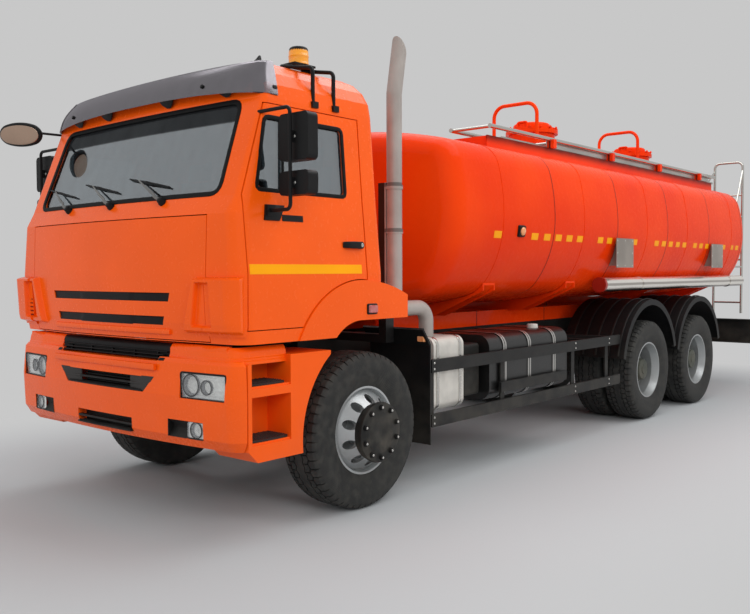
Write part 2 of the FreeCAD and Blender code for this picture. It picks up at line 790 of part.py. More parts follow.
def knuckle():
    """The left knuckle: a fork on the kingpin, a spindle and a steering arm."""
    z0 = WHEEL_Z - EYE_HEIGHT / 2 - LUG_GAP
    z1 = WHEEL_Z + EYE_HEIGHT / 2 + LUG_GAP
    web = KINGPIN_X + EYE_RADIUS + RUNNING_GAP
    outer = web + LUG_THICKNESS / 2
    solids = []
    for low in (z0 - LUG_THICKNESS, z1):
        solids.append(rod((KINGPIN_X, 0, low), (KINGPIN_X, 0, low + LUG_THICKNESS), LUG_HALF_WIDTH))
        solids.append(box(KINGPIN_X, outer, -LUG_HALF_WIDTH, LUG_HALF_WIDTH, low, low + LUG_THICKNESS))
    solids.append(box(web, outer, -LUG_HALF_WIDTH, LUG_HALF_WIDTH,
                      z0 - LUG_THICKNESS, z1 + LUG_THICKNESS))
    plate_x = DRUM_FRONT_X - RUNNING_GAP
    solids.append(rod((outer, 0, WHEEL_Z), (plate_x, 0, WHEEL_Z), BRAKE_RADIUS))
    solids.append(rod((outer, 0, WHEEL_Z), (SPINDLE_END_X, 0, WHEEL_Z), SPINDLE_RADIUS))
    arm_z = z0 - LUG_THICKNESS
    arm = along_z([(KINGPIN_X - STEER_ARM_RADIUS, 0), (KINGPIN_X + STEER_ARM_RADIUS, 0),
                   (ARM_END_X + STEER_ARM_RADIUS, STEER_ARM_Y), (ARM_END_X - STEER_ARM_RADIUS, STEER_ARM_Y)],
                  arm_z, arm_z + STEER_ARM_THICKNESS)
    solids.append(arm)
    solids.append(rod((ARM_END_X, STEER_ARM_Y, arm_z), (ARM_END_X, STEER_ARM_Y, arm_z + STEER_ARM_THICKNESS),
                      STEER_ARM_RADIUS))
    whole = fuse(solids)
    pin = rod((KINGPIN_X, 0, z0 - LUG_THICKNESS - OVERRUN), (KINGPIN_X, 0, z1 + LUG_THICKNESS + OVERRUN),
              KINGPIN_RADIUS / 2 + FIT_GAP)
    return whole.cut(pin)


def tie_rod():
    """The rod under the two steering arms, with an eye at each end."""
    top = WHEEL_Z - EYE_HEIGHT / 2 - LUG_GAP - LUG_THICKNESS - FIT_GAP
    middle = top - TIE_ROD_EYE / 2
    solids = [rod((-ARM_END_X, STEER_ARM_Y, middle), (ARM_END_X, STEER_ARM_Y, middle), TIE_ROD_RADIUS
                  - RUNNING_GAP)]
    for x in (-ARM_END_X, ARM_END_X):
        solids.append(rod((x, STEER_ARM_Y, top - TIE_ROD_EYE), (x, STEER_ARM_Y, top), TIE_ROD_EYE))
    return fuse(solids)


# Frame, engine, springs and rear axles

RAIL_LOW = RAIL_TOP - RAIL_HEIGHT
RAIL_REAR = REAR_END - RAIL_REAR_SET


def rail():
    """The left main rail, a channel open towards the middle."""
    full = box(RAIL_X - RAIL_WIDTH, RAIL_X, RAIL_FRONT, RAIL_REAR, RAIL_LOW, RAIL_TOP)
    inside = box(RAIL_X - RAIL_WIDTH - OVERRUN, RAIL_X - RAIL_WEB, RAIL_FRONT - OVERRUN, RAIL_REAR + OVERRUN,
                 RAIL_LOW + RAIL_WEB, RAIL_TOP - RAIL_WEB)
    return full.cut(inside)


def chassis_frame():
    """Two rails, their cross members and the rear hitch block."""
    solids = both_sides([rail()])
    low = RAIL_LOW + (RAIL_HEIGHT - CROSS_HEIGHT) / 2
    reach = RAIL_X - RAIL_WEB
    for y in CROSS_PLACES:
        solids.append(box(-reach, reach, y, y + CROSS_DEPTH, low, low + CROSS_HEIGHT))
    end = RAIL_REAR - CROSS_DEPTH
    solids.append(box(-reach, reach, end, RAIL_REAR, RAIL_LOW + RAIL_WEB, RAIL_TOP - RAIL_WEB))
    middle = HITCH_Z
    block = box(-HITCH_WIDTH / 2, HITCH_WIDTH / 2, RAIL_REAR, RAIL_REAR + HITCH_DEPTH,
                middle - HITCH_LENGTH / 2, middle + HITCH_LENGTH / 2)
    pin_y = RAIL_REAR + HITCH_DEPTH - HITCH_WIDTH / 2
    hole = rod((0, pin_y, middle - HITCH_LENGTH), (0, pin_y, middle + HITCH_LENGTH), HITCH_RADIUS)
    solids.append(block.cut(hole))
    for z0, z1, x0 in ((RAIL_TOP - CROSS_DEPTH, RAIL_TOP, RAIL_X),
                       (RAIL_TOP - CROSS_DEPTH, FLOOR_Z - FLOOR_THICKNESS - FIT_GAP, REST_X)):
        solids += both_sides([box(x0, REST_X + REST_WIDTH, REST_Y, REST_Y + REST_WIDTH, z0, z1)])
    return fuse(solids)


def engine_block():
    """The engine and the gearbox as one plain closed mass."""
    engine = box(-ENGINE_HALF, ENGINE_HALF, ENGINE_FRONT, ENGINE_REAR, RAIL_TOP + OVERRUN, ENGINE_TOP)
    sump = box(-GEARBOX_HALF, GEARBOX_HALF, ENGINE_FRONT, ENGINE_REAR, ENGINE_BOTTOM, RAIL_TOP + OVERRUN)
    gearbox = box(-GEARBOX_HALF, GEARBOX_HALF, ENGINE_REAR, GEARBOX_REAR, GEARBOX_BOTTOM, GEARBOX_TOP)
    feet = both_sides([box(GEARBOX_HALF, ENGINE_HALF, ENGINE_FRONT, ENGINE_FRONT + CROSS_DEPTH,
                           RAIL_TOP + FIT_GAP, RAIL_TOP + OVERRUN)])
    return fuse([engine, sump, gearbox] + feet)


def front_spring():
    """The left front leaf spring, bowed down to its axle, with its end brackets."""
    x0 = RAIL_X - SPRING_WIDTH
    y = FRONT_SPRING_HALF
    seat = WHEEL_Z - BEAM_HEIGHT / 2 - BEAM_DROP + BEAM_HEIGHT
    end = seat + FRONT_SPRING_ARCH
    outline = [(-y, end), (-y / 2, seat + FRONT_SPRING_ARCH / 4), (-BEAM_HALF_DEPTH * 2, seat),
               (BEAM_HALF_DEPTH * 2, seat), (y / 2, seat + FRONT_SPRING_ARCH / 4), (y, end),
               (y, end + SPRING_LEAF), (y / 2, seat + FRONT_SPRING_ARCH / 4 + 2 * SPRING_LEAF),
               (BEAM_HALF_DEPTH * 2, seat + 3 * SPRING_LEAF), (-BEAM_HALF_DEPTH * 2, seat + 3 * SPRING_LEAF),
               (-y / 2, seat + FRONT_SPRING_ARCH / 4 + 2 * SPRING_LEAF), (-y, end + SPRING_LEAF)]
    leaf = along_x(outline, x0, RAIL_X)
    arms = [box(x0, RAIL_X, side * y - SPRING_WIDTH / 2, side * y + SPRING_WIDTH / 2, end, RAIL_LOW)
            for side in (-1, 1)]
    return fuse([leaf] + arms)


def rear_spring():
    """The left bogie spring: a leaf pack across both axles on a trunnion."""
    x0 = RAIL_X - SPRING_WIDTH
    middle = WHEELBASE + BOGIE_SPACING / 2
    top = WHEEL_Z + AXLE_TUBE_RADIUS + SPRING_LEAF
    half = REAR_SPRING_HALF
    outline = [(middle - half - SPRING_WIDTH, top), (middle + half + SPRING_WIDTH, top),
               (middle + half + SPRING_WIDTH, top + SPRING_LEAF),
               (middle + SPRING_WIDTH, top + REAR_SPRING_STACK),
               (middle - SPRING_WIDTH, top + REAR_SPRING_STACK),
               (middle - half - SPRING_WIDTH, top + SPRING_LEAF)]
    pack = along_x(outline, x0, RAIL_X)
    foot = WHEEL_Z + AXLE_TUBE_RADIUS / 2
    shoes = [box(x0, RAIL_X, y - SPRING_WIDTH, y + SPRING_WIDTH, foot, top) for y in REAR_AXLES]
    saddle = box(x0, RAIL_X, middle - SPRING_WIDTH, middle + SPRING_WIDTH, WHEEL_Z, RAIL_LOW)
    trunnion = rod((x0 - SPRING_WIDTH, middle, WHEEL_Z), (RAIL_X + SPRING_WIDTH, middle, WHEEL_Z),
                   TRUNNION_RADIUS)
    return fuse([pack, saddle, trunnion] + shoes)


def rear_axle(y):
    """One driven axle: tubes, a round differential housing and spindles."""
    reach = REAR_DRUM_INNER_X - RUNNING_GAP
    tube_part = rod((-reach, y, WHEEL_Z), (reach, y, WHEEL_Z), AXLE_TUBE_RADIUS)
    ball = Part.makeSphere(DIFF_RADIUS, V(0, y, WHEEL_Z))
    ball = ball.common(box(-DIFF_HALF, DIFF_HALF, y - DIFF_RADIUS, y + DIFF_RADIUS, 0, 2 * WHEEL_Z))
    end = REAR_HUB_X - RUNNING_GAP
    spindle = rod((-end, y, WHEEL_Z), (end, y, WHEEL_Z), SPINDLE_RADIUS)
    shoes = both_sides([box(RAIL_X - SPRING_WIDTH, RAIL_X, y - SPRING_WIDTH, y + SPRING_WIDTH,
                            WHEEL_Z - AXLE_TUBE_RADIUS - OVERRUN, WHEEL_Z + AXLE_TUBE_RADIUS + SPRING_LEAF)])
    return fuse([tube_part, ball, spindle]), shoes


def build_chassis():
    save("chassis_frame", [chassis_frame()])
    save("engine_block", [engine_block()])
    axle = front_axle()
    save("front_axle", [axle])
    springs = [front_spring().cut(axle)]
    axles = [rear_axle(y)[0] for y in REAR_AXLES]
    save("rear_axles", axles)
    seats_cut = [rod((0, y, WHEEL_Z), (REAR_HUB_X, y, WHEEL_Z), AXLE_TUBE_RADIUS) for y in REAR_AXLES]
    spring = rear_spring()
    for tool in seats_cut:
        spring = spring.cut(tool)
    save("leaf_springs", both_sides(springs + [spring]))
    left = knuckle()
    save("knuckle_left", [left])
    save("knuckle_right", [mirrored(left)])
    save("tie_rod", [tie_rod()])


# Cab. Its outside is a stack of plan outlines, each a bowed front with round corners.

def plan_wire(z, front, half, rear, sag, corner, rear_corner):
    """A closed plan outline at height z: bowed front, round corners, straight sides."""
    share = 1 - math.sqrt(1 / 2)
    side = half - corner
    start = front + sag
    tail = half - rear_corner
    rows = [((-side, start), (0, front), (side, start)),
            ((side, start), (half - corner * share, start + corner * share), (half, start + corner)),
            ((half, start + corner), None, (half, rear - rear_corner)),
            ((half, rear - rear_corner), (half - rear_corner * share, rear - rear_corner * share),
             (tail, rear)),
            ((tail, rear), None, (-tail, rear)),
            ((-tail, rear), (-half + rear_corner * share, rear - rear_corner * share),
             (-half, rear - rear_corner)),
            ((-half, rear - rear_corner), None, (-half, start + corner)),
            ((-half, start + corner), (-half + corner * share, start + corner * share),
             (-side, start))]
    edges = []
    for a, m, b in rows:
        first, last = V(a[0], a[1], z), V(b[0], b[1], z)
        if m is None:
            edges.append(Part.LineSegment(first, last).toShape())
        else:
            edges.append(Part.Arc(first, V(m[0], m[1], z), last).toShape())
    return Part.Wire(edges)


def plan_loft(stations, inset):
    """A solid through plan outlines (z, front, half, rear, sag, corner), drawn in by inset."""
    wires = [plan_wire(z, front + inset, half - inset, rear - inset, sag, corner, REAR_CORNER)
             for z, front, half, rear, sag, corner in stations]
    return Part.makeLoft(wires, True, True)


def cab_stations(inset, low):
    """Plan outlines of the cab from its lower edge to the crown of its roof."""
    face = [(low, FACE_LOW_Y, HALF_WIDTH), (FACE_Z, FACE_Y, HALF_WIDTH),
            (CREASE_Z, FACE_MID_Y, HALF_WIDTH), (COWL_Z, COWL_Y, HALF_COWL)]
    rows = [(z, front, half, CAB_REAR, FACE_SAG, CORNER_RADIUS) for z, front, half in face]
    rows.append((BELT_Z, BELT_Y, HALF_BELT, CAB_REAR, BELT_SAG, BELT_CORNER))
    rows.append((GUTTER_Z, GUTTER_Y, HALF_GUTTER, CAB_REAR, GUTTER_SAG, GUTTER_CORNER))
    for k in range(1, ROOF_STEPS + 1):
        turn = math.pi / 2 * k / ROOF_STEPS
        draw = 1 - math.cos(turn)
        rows.append((GUTTER_Z + (ROOF_Z - inset - GUTTER_Z) * math.sin(turn),
                     GUTTER_Y + ROOF_FRONT_DRAW * draw, HALF_GUTTER - ROOF_SIDE_DRAW * draw,
                     CAB_REAR - ROOF_REAR_DRAW * draw, GUTTER_SAG,
                     GUTTER_CORNER + (CORNER_RADIUS - GUTTER_CORNER) * draw))
    return rows


def cab_hull(inset):
    """The closed outside of the cab, drawn in by inset, or out where it is negative."""
    low = CAB_BOTTOM - OVERRUN if inset > 0 else CAB_BOTTOM
    return plan_loft(cab_stations(inset, low), inset)


HULLS = {}


def hull(inset):
    """The cab's outside at an inset, kept once it is made."""
    if inset not in HULLS:
        HULLS[inset] = cab_hull(inset)
    return HULLS[inset]


def skin(outer, inner):
    """The layer between two insets of the cab's outside."""
    return hull(outer).cut(hull(inner))


def rounded_outline(points, radius):
    """A flat face in local (a, b) coordinates with each corner rounded."""
    face = face_of([(a, b, 0) for a, b in points])
    wire = face.OuterWire
    shape = face.extrude(V(0, 0, OVERRUN))
    upright = [e for e in shape.Edges if runs_along(e, V(0, 0, 1))
               or abs(e.CenterOfMass.z - OVERRUN / 2) < FIT_GAP]
    solid = shape.makeFillet(radius, upright)
    flat = [f for f in solid.Faces if abs(f.CenterOfMass.z) < FIT_GAP][0]
    return flat if flat.isValid() else Part.Face(wire)


def rounded_prism(points, radius, axis, start, end):
    """Carry a rounded outline along X, as (y, z), or along Y, as (x, z)."""
    flat = rounded_outline(points, radius)
    if axis == "x":
        flat.Placement = FreeCAD.Placement(V(start, 0, 0), FreeCAD.Rotation(V(1, 1, 1), 120))
        return flat.extrude(V(end - start, 0, 0))
    flat.Placement = FreeCAD.Placement(V(0, start, 0), FreeCAD.Rotation(V(1, 0, 0), 90))
    return flat.extrude(V(0, end - start, 0))


FAR = 2 * HALF_WIDTH


def windscreen_tool(gap):
    """The windscreen's outline carried through the front wall."""
    low, top = WINDSCREEN_LOW + gap, WINDSCREEN_TOP - gap
    a, b = WINDSCREEN_HALF_LOW - gap, WINDSCREEN_HALF_TOP - gap
    return rounded_prism([(-a, low), (a, low), (b, top), (-b, top)], WINDOW_CORNER, "y",
                         -FAR, GUTTER_Y + FAR / 5)


def rear_window_tool(gap):
    half = REAR_WINDOW_HALF - gap
    low, top = REAR_WINDOW_LOW + gap, REAR_WINDOW_TOP - gap
    return rounded_prism([(-half, low), (half, low), (half, top), (-half, top)], WINDOW_CORNER,
                         "y", 0, 2 * CAB_REAR)


def side_window_tool(gap):
    """The left side window's outline carried through the door."""
    low, top = WINDOW_LOW + gap, WINDOW_TOP - gap
    points = [(WINDOW_FRONT_LOW + gap, low), (WINDOW_REAR - gap, low), (WINDOW_REAR - gap, top),
              (WINDOW_FRONT_TOP + gap, top)]
    return rounded_prism(points, WINDOW_CORNER / 2, "x", WING_INNER_X, FAR)


def lid_tool(gap):
    """The front lid's outline, which steps in at its lower corners."""
    half = LID_HALF + gap
    low, top = LID_BOTTOM - gap, LID_HINGE_Z + gap
    return along_y([(-half, low), (half, low), (half, top), (-half, top)], -FAR, BELT_Y / 2)


def wing_outline(grow, drop):
    """Edges of the wing's side view, grown outwards, with its lower edge dropped."""
    front = V(0, WING_FRONT - grow, CAB_BOTTOM - drop)
    shoulder = V(0, WING_SHOULDER_Y - grow * math.sqrt(1 / 2), WING_SHOULDER_Z + grow * math.sqrt(1 / 2))
    peak = V(0, WING_PEAK_Y, WING_PEAK_Z + grow)
    tail_y = (WING_PEAK_Y + WING_REAR) / 2
    tail = V(0, tail_y, WING_PEAK_Z + grow - (WING_PEAK_Z - WING_REAR_TOP) / 4)
    rear = V(0, WING_REAR + grow, WING_REAR_TOP + grow)
    edges = [Part.Arc(V(0, front.y, CAB_BOTTOM), shoulder, peak).toShape(),
             Part.Arc(peak, tail, rear).toShape()]
    if drop > 0:
        low_rear = V(0, rear.y, CAB_BOTTOM - drop)
        edges.append(Part.LineSegment(rear, low_rear).toShape())
        edges.append(Part.LineSegment(low_rear, front).toShape())
        edges.append(Part.LineSegment(front, V(0, front.y, CAB_BOTTOM)).toShape())
        return edges
    low_rear = V(0, WING_REAR, WING_EDGE_Z)
    low_mid = V(0, WING_EDGE_Y, WING_EDGE_Z)
    knee = V(0, WING_EDGE_Y - (WING_EDGE_Y - WING_EDGE_FRONT) / 2,
             WING_EDGE_Z - (WING_EDGE_Z - CAB_BOTTOM) / 4)
    low_front = V(0, WING_EDGE_FRONT, CAB_BOTTOM)
    edges.append(Part.LineSegment(rear, low_rear).toShape())
    edges.append(Part.LineSegment(low_rear, low_mid).toShape())
    edges.append(Part.Arc(low_mid, knee, low_front).toShape())
    edges.append(Part.LineSegment(low_front, front).toShape())
    return edges


def wing_solid(grow, drop, x0, x1):
    flat = Part.Face(Part.Wire(Part.__sortEdges__(wing_outline(grow, drop))))
    flat.translate(V(x0, 0, 0))
    return flat.extrude(V(x1 - x0, 0, 0))


def door_tool(gap, rear_gap):
    """The left door's outline, grown by the open seam round it."""
    points = [(DOOR_FRONT - gap, DOOR_BOTTOM - gap), (DOOR_REAR + rear_gap, DOOR_BOTTOM - gap),
              (DOOR_REAR + rear_gap, DOOR_TOP + gap), (DOOR_TOP_FRONT - gap, DOOR_TOP + gap),
              (DOOR_BELT_FRONT - gap, BELT_Z), (DOOR_FRONT - gap, COWL_Z)]
    return along_x(points, DOOR_INNER_X - gap, FAR)


def door_sweep():
    """The round space about both door hinges that the doors' front edges turn through."""
    lean = (HALF_WIDTH - HALF_COWL) / (COWL_Z - CREASE_Z)
    low, top = (HALF_WIDTH + lean * (CREASE_Z - z) for z in (DOOR_BOTTOM, DOOR_TOP))
    return both_sides([rod((low, HINGE_Y, DOOR_BOTTOM - OVERRUN), (top, HINGE_Y, DOOR_TOP), DOOR_SWEEP)])


def cab_shell():
    """The welded cab: walls, posts and roof, open at doors, windows, lid and arches."""
    walls = skin(0, CAB_WALL)
    pads = hull(-OVERRUN).cut(hull(0)).common(fuse(both_sides([
        box(LID_HALF + PANEL_GAP, HALF_WIDTH + OVERRUN, -FAR, DOOR_FRONT - PANEL_GAP - OVERRUN,
            PAD_LOW, PAD_TOP)])))
    walls = walls.fuse(pads)
    tools = [windscreen_tool(0), rear_window_tool(0), lid_tool(PANEL_GAP)]
    tools += both_sides([door_tool(PANEL_GAP, DOOR_REAR_GAP), wing_solid(0, OVERRUN, WING_INNER_X, FAR)])
    tools.append(box(-WING_INNER_X, WING_INNER_X, TILT_Y, FAR, CAB_BOTTOM - OVERRUN, FLOOR_Z))
    tools.append(box(-FAR, FAR, WING_PEAK_Y, FAR, CAB_BOTTOM - OVERRUN, FLOOR_Z))
    walls = walls.cut(tools)
    pad = skin(CAB_WALL + FIT_GAP, CAB_WALL + LATCH_DEPTH).common(
        box(0, FAR, DOOR_REAR - LATCH_LENGTH, 0, LATCH_LOW, LATCH_TOP))
    root = skin(CAB_WALL - OVERRUN, CAB_WALL + LATCH_DEPTH).common(
        box(0, FAR, DOOR_REAR + DOOR_REAR_GAP + FIT_GAP, 0, LATCH_LOW, LATCH_TOP))
    return fuse([walls] + both_sides([pad.fuse(root)]))


def cab_floor():
    """Floor, raised tunnel over the engine and the wall behind the front lid."""
    inside = hull(CAB_WALL)
    low = FLOOR_Z - FLOOR_THICKNESS
    wall_y = FIREWALL_Y
    base = box(-HALF_WIDTH, HALF_WIDTH, wall_y, CAB_REAR, low, FLOOR_Z)
    base = base.cut(box(-TUNNEL_HALF, TUNNEL_HALF, wall_y + FLOOR_THICKNESS, CAB_REAR + OVERRUN,
                        low - OVERRUN, FLOOR_Z + OVERRUN))
    tunnel = box(-TUNNEL_HALF, TUNNEL_HALF, wall_y, CAB_REAR, low, TUNNEL_Z)
    tunnel = tunnel.cut(box(-TUNNEL_HALF + FLOOR_THICKNESS, TUNNEL_HALF - FLOOR_THICKNESS,
                            wall_y + FLOOR_THICKNESS, CAB_REAR + OVERRUN, low - OVERRUN,
                            TUNNEL_Z - FLOOR_THICKNESS))
    wall = box(-HALF_WIDTH, HALF_WIDTH, wall_y, wall_y + FLOOR_THICKNESS, low, COWL_Z)
    whole = fuse([base, tunnel, wall]).common(inside)
    beside = skin(CAB_WALL, CAB_WALL + RUNNING_GAP).common(door_tool(PANEL_GAP, DOOR_REAR_GAP))
    whole = whole.cut(both_sides([wing_solid(0, OVERRUN, WING_INNER_X, FAR), beside]) + door_sweep())
    x0, x1 = RAIL_X - RAIL_WIDTH, RAIL_X
    stop = box(LID_STOP_X, LID_STOP_X + CLAMP_WIDTH, -FAR, wall_y, LID_STOP_Z, LID_STOP_Z + CLAMP_WIDTH)
    stop = stop.common(hull(LID_THICKNESS + FIT_GAP))
    foot = box(x0, x1, FOOT_FRONT, FOOT_REAR, RAIL_TOP + FIT_GAP, FLOOR_Z)
    ledge = box(x0, x1, wall_y + FLOOR_THICKNESS, FOOT_REAR, low, FLOOR_Z + FLOOR_THICKNESS)
    return fuse([whole] + both_sides([stop, foot, ledge]))


def cab_glass():
    layer = skin(GLASS_INSET, GLASS_INSET + GLASS_THICKNESS)
    front = layer.common(windscreen_tool(FIT_GAP))
    rear = layer.common(rear_window_tool(FIT_GAP))
    return [front, rear]


def door_shell():
    """The left door, as thick as the cab's wall, with its window cut and its handle."""
    panel = skin(0, CAB_WALL).common(door_tool(0, 0))
    panel = panel.cut([side_window_tool(0), wing_solid(PANEL_GAP, OVERRUN, WING_INNER_X, FAR)])
    reach = HALF_WIDTH - (HALF_WIDTH - HALF_COWL) * (HANDLE_Z - CREASE_Z) / (COWL_Z - CREASE_Z)
    grip = box(reach - OVERRUN, reach + HANDLE_REACH, HANDLE_Y - HANDLE_LENGTH / 2,
               HANDLE_Y + HANDLE_LENGTH / 2, HANDLE_Z - HANDLE_HEIGHT / 2, HANDLE_Z + HANDLE_HEIGHT / 2)
    return fuse([panel, grip])


def door_glass():
    return skin(GLASS_INSET, GLASS_INSET + GLASS_THICKNESS).common(side_window_tool(FIT_GAP))


def mirrors():
    """The left mirror set: two shells on one bent arm that is fixed to the door."""
    shells = []
    for low, top in ((MAIN_MIRROR_LOW, MAIN_MIRROR_TOP), (WIDE_MIRROR_LOW, WIDE_MIRROR_TOP)):
        shell = box(MIRROR_X - MAIN_MIRROR_WIDTH / 2, MIRROR_X + MAIN_MIRROR_WIDTH / 2,
                    MIRROR_Y - MIRROR_DEPTH, MIRROR_Y, low, top)
        shell = round_edges(shell, MIRROR_CORNER, lambda e: runs_along(e, V(0, 1, 0)))
        shells.append(shell)
    foot_top = (HALF_GUTTER - CAB_WALL / 2, MIRROR_ARM_Y, MIRROR_ARM_TOP)
    foot_low = (HALF_COWL - CAB_WALL / 2, MIRROR_ARM_Y, MIRROR_ARM_LOW)
    arm = bent_rod([foot_top, (MIRROR_X, MIRROR_ARM_Y, MIRROR_ARM_TOP),
                    (MIRROR_X, MIRROR_ARM_Y, MIRROR_ARM_LOW), foot_low], MIRROR_ARM_RADIUS,
                   3 * MIRROR_ARM_RADIUS)
    stubs = [box(MIRROR_X - MIRROR_ARM_RADIUS, MIRROR_X + MIRROR_ARM_RADIUS, MIRROR_ARM_Y,
                 MIRROR_Y - MIRROR_DEPTH + OVERRUN, z - MIRROR_CORNER, z + MIRROR_CORNER)
             for z in ((MAIN_MIRROR_LOW + MAIN_MIRROR_TOP) / 2, (WIDE_MIRROR_LOW + WIDE_MIRROR_TOP) / 2)]
    foot = box(HALF_COWL - CAB_WALL, HALF_COWL + 2 * MIRROR_ARM_RADIUS, MIRROR_ARM_Y - MIRROR_CORNER,
               MIRROR_ARM_Y + MIRROR_CORNER, MIRROR_ARM_LOW - MIRROR_CORNER, MIRROR_ARM_LOW + MIRROR_CORNER)
    return fuse(shells + [arm, foot] + stubs).cut([hull(0)])


def front_lid():
    """The grille lid: a bowed panel with two long slots, each with a bar behind."""
    panel = skin(0, LID_THICKNESS).common(lid_tool(0))
    for top, half in zip(SLOT_TOPS, SLOT_HALVES):
        low = top - SLOT_HEIGHT
        panel = panel.cut(along_y([(-half + SLOT_TAPER, low), (half - SLOT_TAPER, low), (half, top),
                                   (-half, top)], -FAR, BELT_Y / 2))
        bar_low = low + SLOT_HEIGHT / 2 - SLOT_BACK / 2
        bar = skin(SLOT_BACK, LID_THICKNESS).common(
            box(-half, half, -FAR, BELT_Y / 2, bar_low, bar_low + SLOT_BACK))
        panel = panel.fuse(bar)
    return panel.removeSplitter()


def seats():
    """Three seats, each a base on the floor with a reclined back."""
    solids = []
    for x in SEAT_XS:
        half = SEAT_WIDTH / 2
        y1 = SEAT_FRONT + SEAT_DEPTH
        outline = [(SEAT_FRONT, SEAT_Z), (SEAT_FRONT, SEAT_Z - SEAT_BASE_THICKNESS),
                   (y1, SEAT_Z - SEAT_BASE_THICKNESS), (CAB_REAR - CAB_WALL - OVERRUN, SEAT_BACK_TOP),
                   (CAB_REAR - CAB_WALL - SEAT_BACK_THICKNESS, SEAT_BACK_TOP),
                   (y1 - SEAT_BACK_THICKNESS, SEAT_Z)]
        floor = TUNNEL_Z if abs(x) < TUNNEL_HALF else FLOOR_Z
        stand = box(x - half / 2, x + half / 2, SEAT_FRONT + SEAT_BASE_THICKNESS,
                    y1 - SEAT_BASE_THICKNESS, floor, SEAT_Z - SEAT_BASE_THICKNESS)
        solids.append(fuse([along_x(outline, x - half, x + half), stand]))
    return solids


def dashboard():
    """The dashboard across the cab, with the steering column and wheel."""
    wall_y = FIREWALL_Y + FLOOR_THICKNESS
    outline = [(wall_y, DASH_BOTTOM), (wall_y, DASH_TOP), (wall_y + DASH_DEPTH / 2, DASH_TOP),
               (wall_y + DASH_DEPTH, DASH_TOP - DASH_DEPTH / 2), (wall_y + DASH_DEPTH, DASH_BOTTOM)]
    board = along_x(outline, -HALF_BELT, HALF_BELT).common(hull(CAB_WALL + RUNNING_GAP)).cut(door_sweep())
    wheel = Part.makeTorus(STEERING_RADIUS, STEERING_RIM, V(0, 0, 0), V(0, 0, 1))
    spokes = [box(-STEERING_RADIUS, STEERING_RADIUS, -STEERING_RIM, STEERING_RIM,
                  -STEERING_RIM / 2, STEERING_RIM / 2),
              rod((0, 0, -COLUMN_LENGTH), (0, 0, STEERING_RIM), 3 * STEERING_RIM)]
    wheel = fuse([wheel] + spokes)
    wheel.rotate(V(0, 0, 0), V(1, 0, 0), COLUMN_RAKE_DEG)
    wheel.translate(V(STEERING_X, STEERING_Y, STEERING_Z))
    return fuse([board, wheel])


def sun_visor():
    """The tinted visor, a band that wraps the roof's front, with its brackets."""
    def band(inset):
        rows = [(VISOR_LOW, GUTTER_Y - VISOR_REACH, VISOR_HALF, CAB_REAR, FACE_SAG, BELT_CORNER),
                (VISOR_TOP, GUTTER_Y + ROOF_FRONT_DRAW / 3, HALF_GUTTER - ROOF_SIDE_DRAW / 3, CAB_REAR,
                 GUTTER_SAG, BELT_CORNER)]
        return plan_loft(rows, inset)
    keep = box(-FAR, FAR, -FAR, VISOR_END, 0, FAR + VISOR_TOP)
    shade = band(0).cut(band(VISOR_THICKNESS)).common(keep).cut(hull(0))
    slots = []
    for x in VISOR_BRACKETS:
        slots.append(box(x - OVERRUN, x + OVERRUN, -FAR, VISOR_END, VISOR_LOW + 2 * OVERRUN,
                         VISOR_LOW + 7 * OVERRUN))
    brackets = band(VISOR_THICKNESS).cut(hull(0)).common(fuse(slots))
    return [shade] + brackets.Solids


def roof_beacon():
    """An amber lamp on a plate between two bent tubes that stand on the left gutter."""
    low = BEACON_BASE_Z - RACK_RADIUS
    bent = [bent_rod([(RACK_FOOT_X, y, GUTTER_Z + OVERRUN), (RACK_FOOT_X, y, low - 4 * RACK_RADIUS),
                      (BEACON_X - BEACON_RADIUS, y, low)], RACK_RADIUS, 3 * RACK_RADIUS)
            for y in (RACK_FRONT_Y, RACK_REAR_Y)]
    plate = box(BEACON_X - BEACON_RADIUS, BEACON_X + BEACON_RADIUS, RACK_FRONT_Y, RACK_REAR_Y,
                low, BEACON_BASE_Z)
    feet = [box(RACK_FOOT_X - 2 * RACK_RADIUS, RACK_FOOT_X + 2 * RACK_RADIUS, y - 2 * RACK_RADIUS,
                y + 2 * RACK_RADIUS, GUTTER_Z - RACK_RADIUS, GUTTER_Z + 2 * RACK_RADIUS)
            for y in (RACK_FRONT_Y, RACK_REAR_Y)]
    middle = (RACK_FRONT_Y + RACK_REAR_Y) / 2
    lamp = rod((BEACON_X, middle, BEACON_BASE_Z), (BEACON_X, middle, BEACON_BASE_Z + BEACON_HEIGHT),
               BEACON_RADIUS)
    lamp = round_edges(lamp, BEACON_RADIUS / 3, lambda e: e.CenterOfMass.z > BEACON_BASE_Z + OVERRUN
                       and e.Curve.TypeId == "Part::GeomCircle")
    return fuse(bent + [plate, lamp] + feet).cut(hull(0))


def wipers():
    """Three wipers, each an arm and a blade on the cowl."""
    solids = []
    slope = (GUTTER_Y - BELT_Y) / (GUTTER_Z - BELT_Z)
    for x in (-WIPER_X, 0, WIPER_X):
        bow = FACE_SAG * (x / (HALF_BELT - CORNER_RADIUS)) ** 2
        y0 = BELT_Y + bow - WIPER_RADIUS
        foot = rod((x, y0 - 2 * WIPER_RADIUS, BELT_Z - OVERRUN), (x, y0 + 2 * WIPER_RADIUS, BELT_Z - OVERRUN),
                   2 * WIPER_RADIUS)
        rise = WIPER_LENGTH / 4
        lift = y0 - 2 * WIPER_RADIUS + slope * rise
        arm = rod((x, y0 - 2 * WIPER_RADIUS, BELT_Z - OVERRUN), (x - WIPER_LENGTH / 2, lift, BELT_Z + rise),
                  WIPER_RADIUS)
        solids.append(fuse([foot, arm]).cut(hull(0)))
    return solids


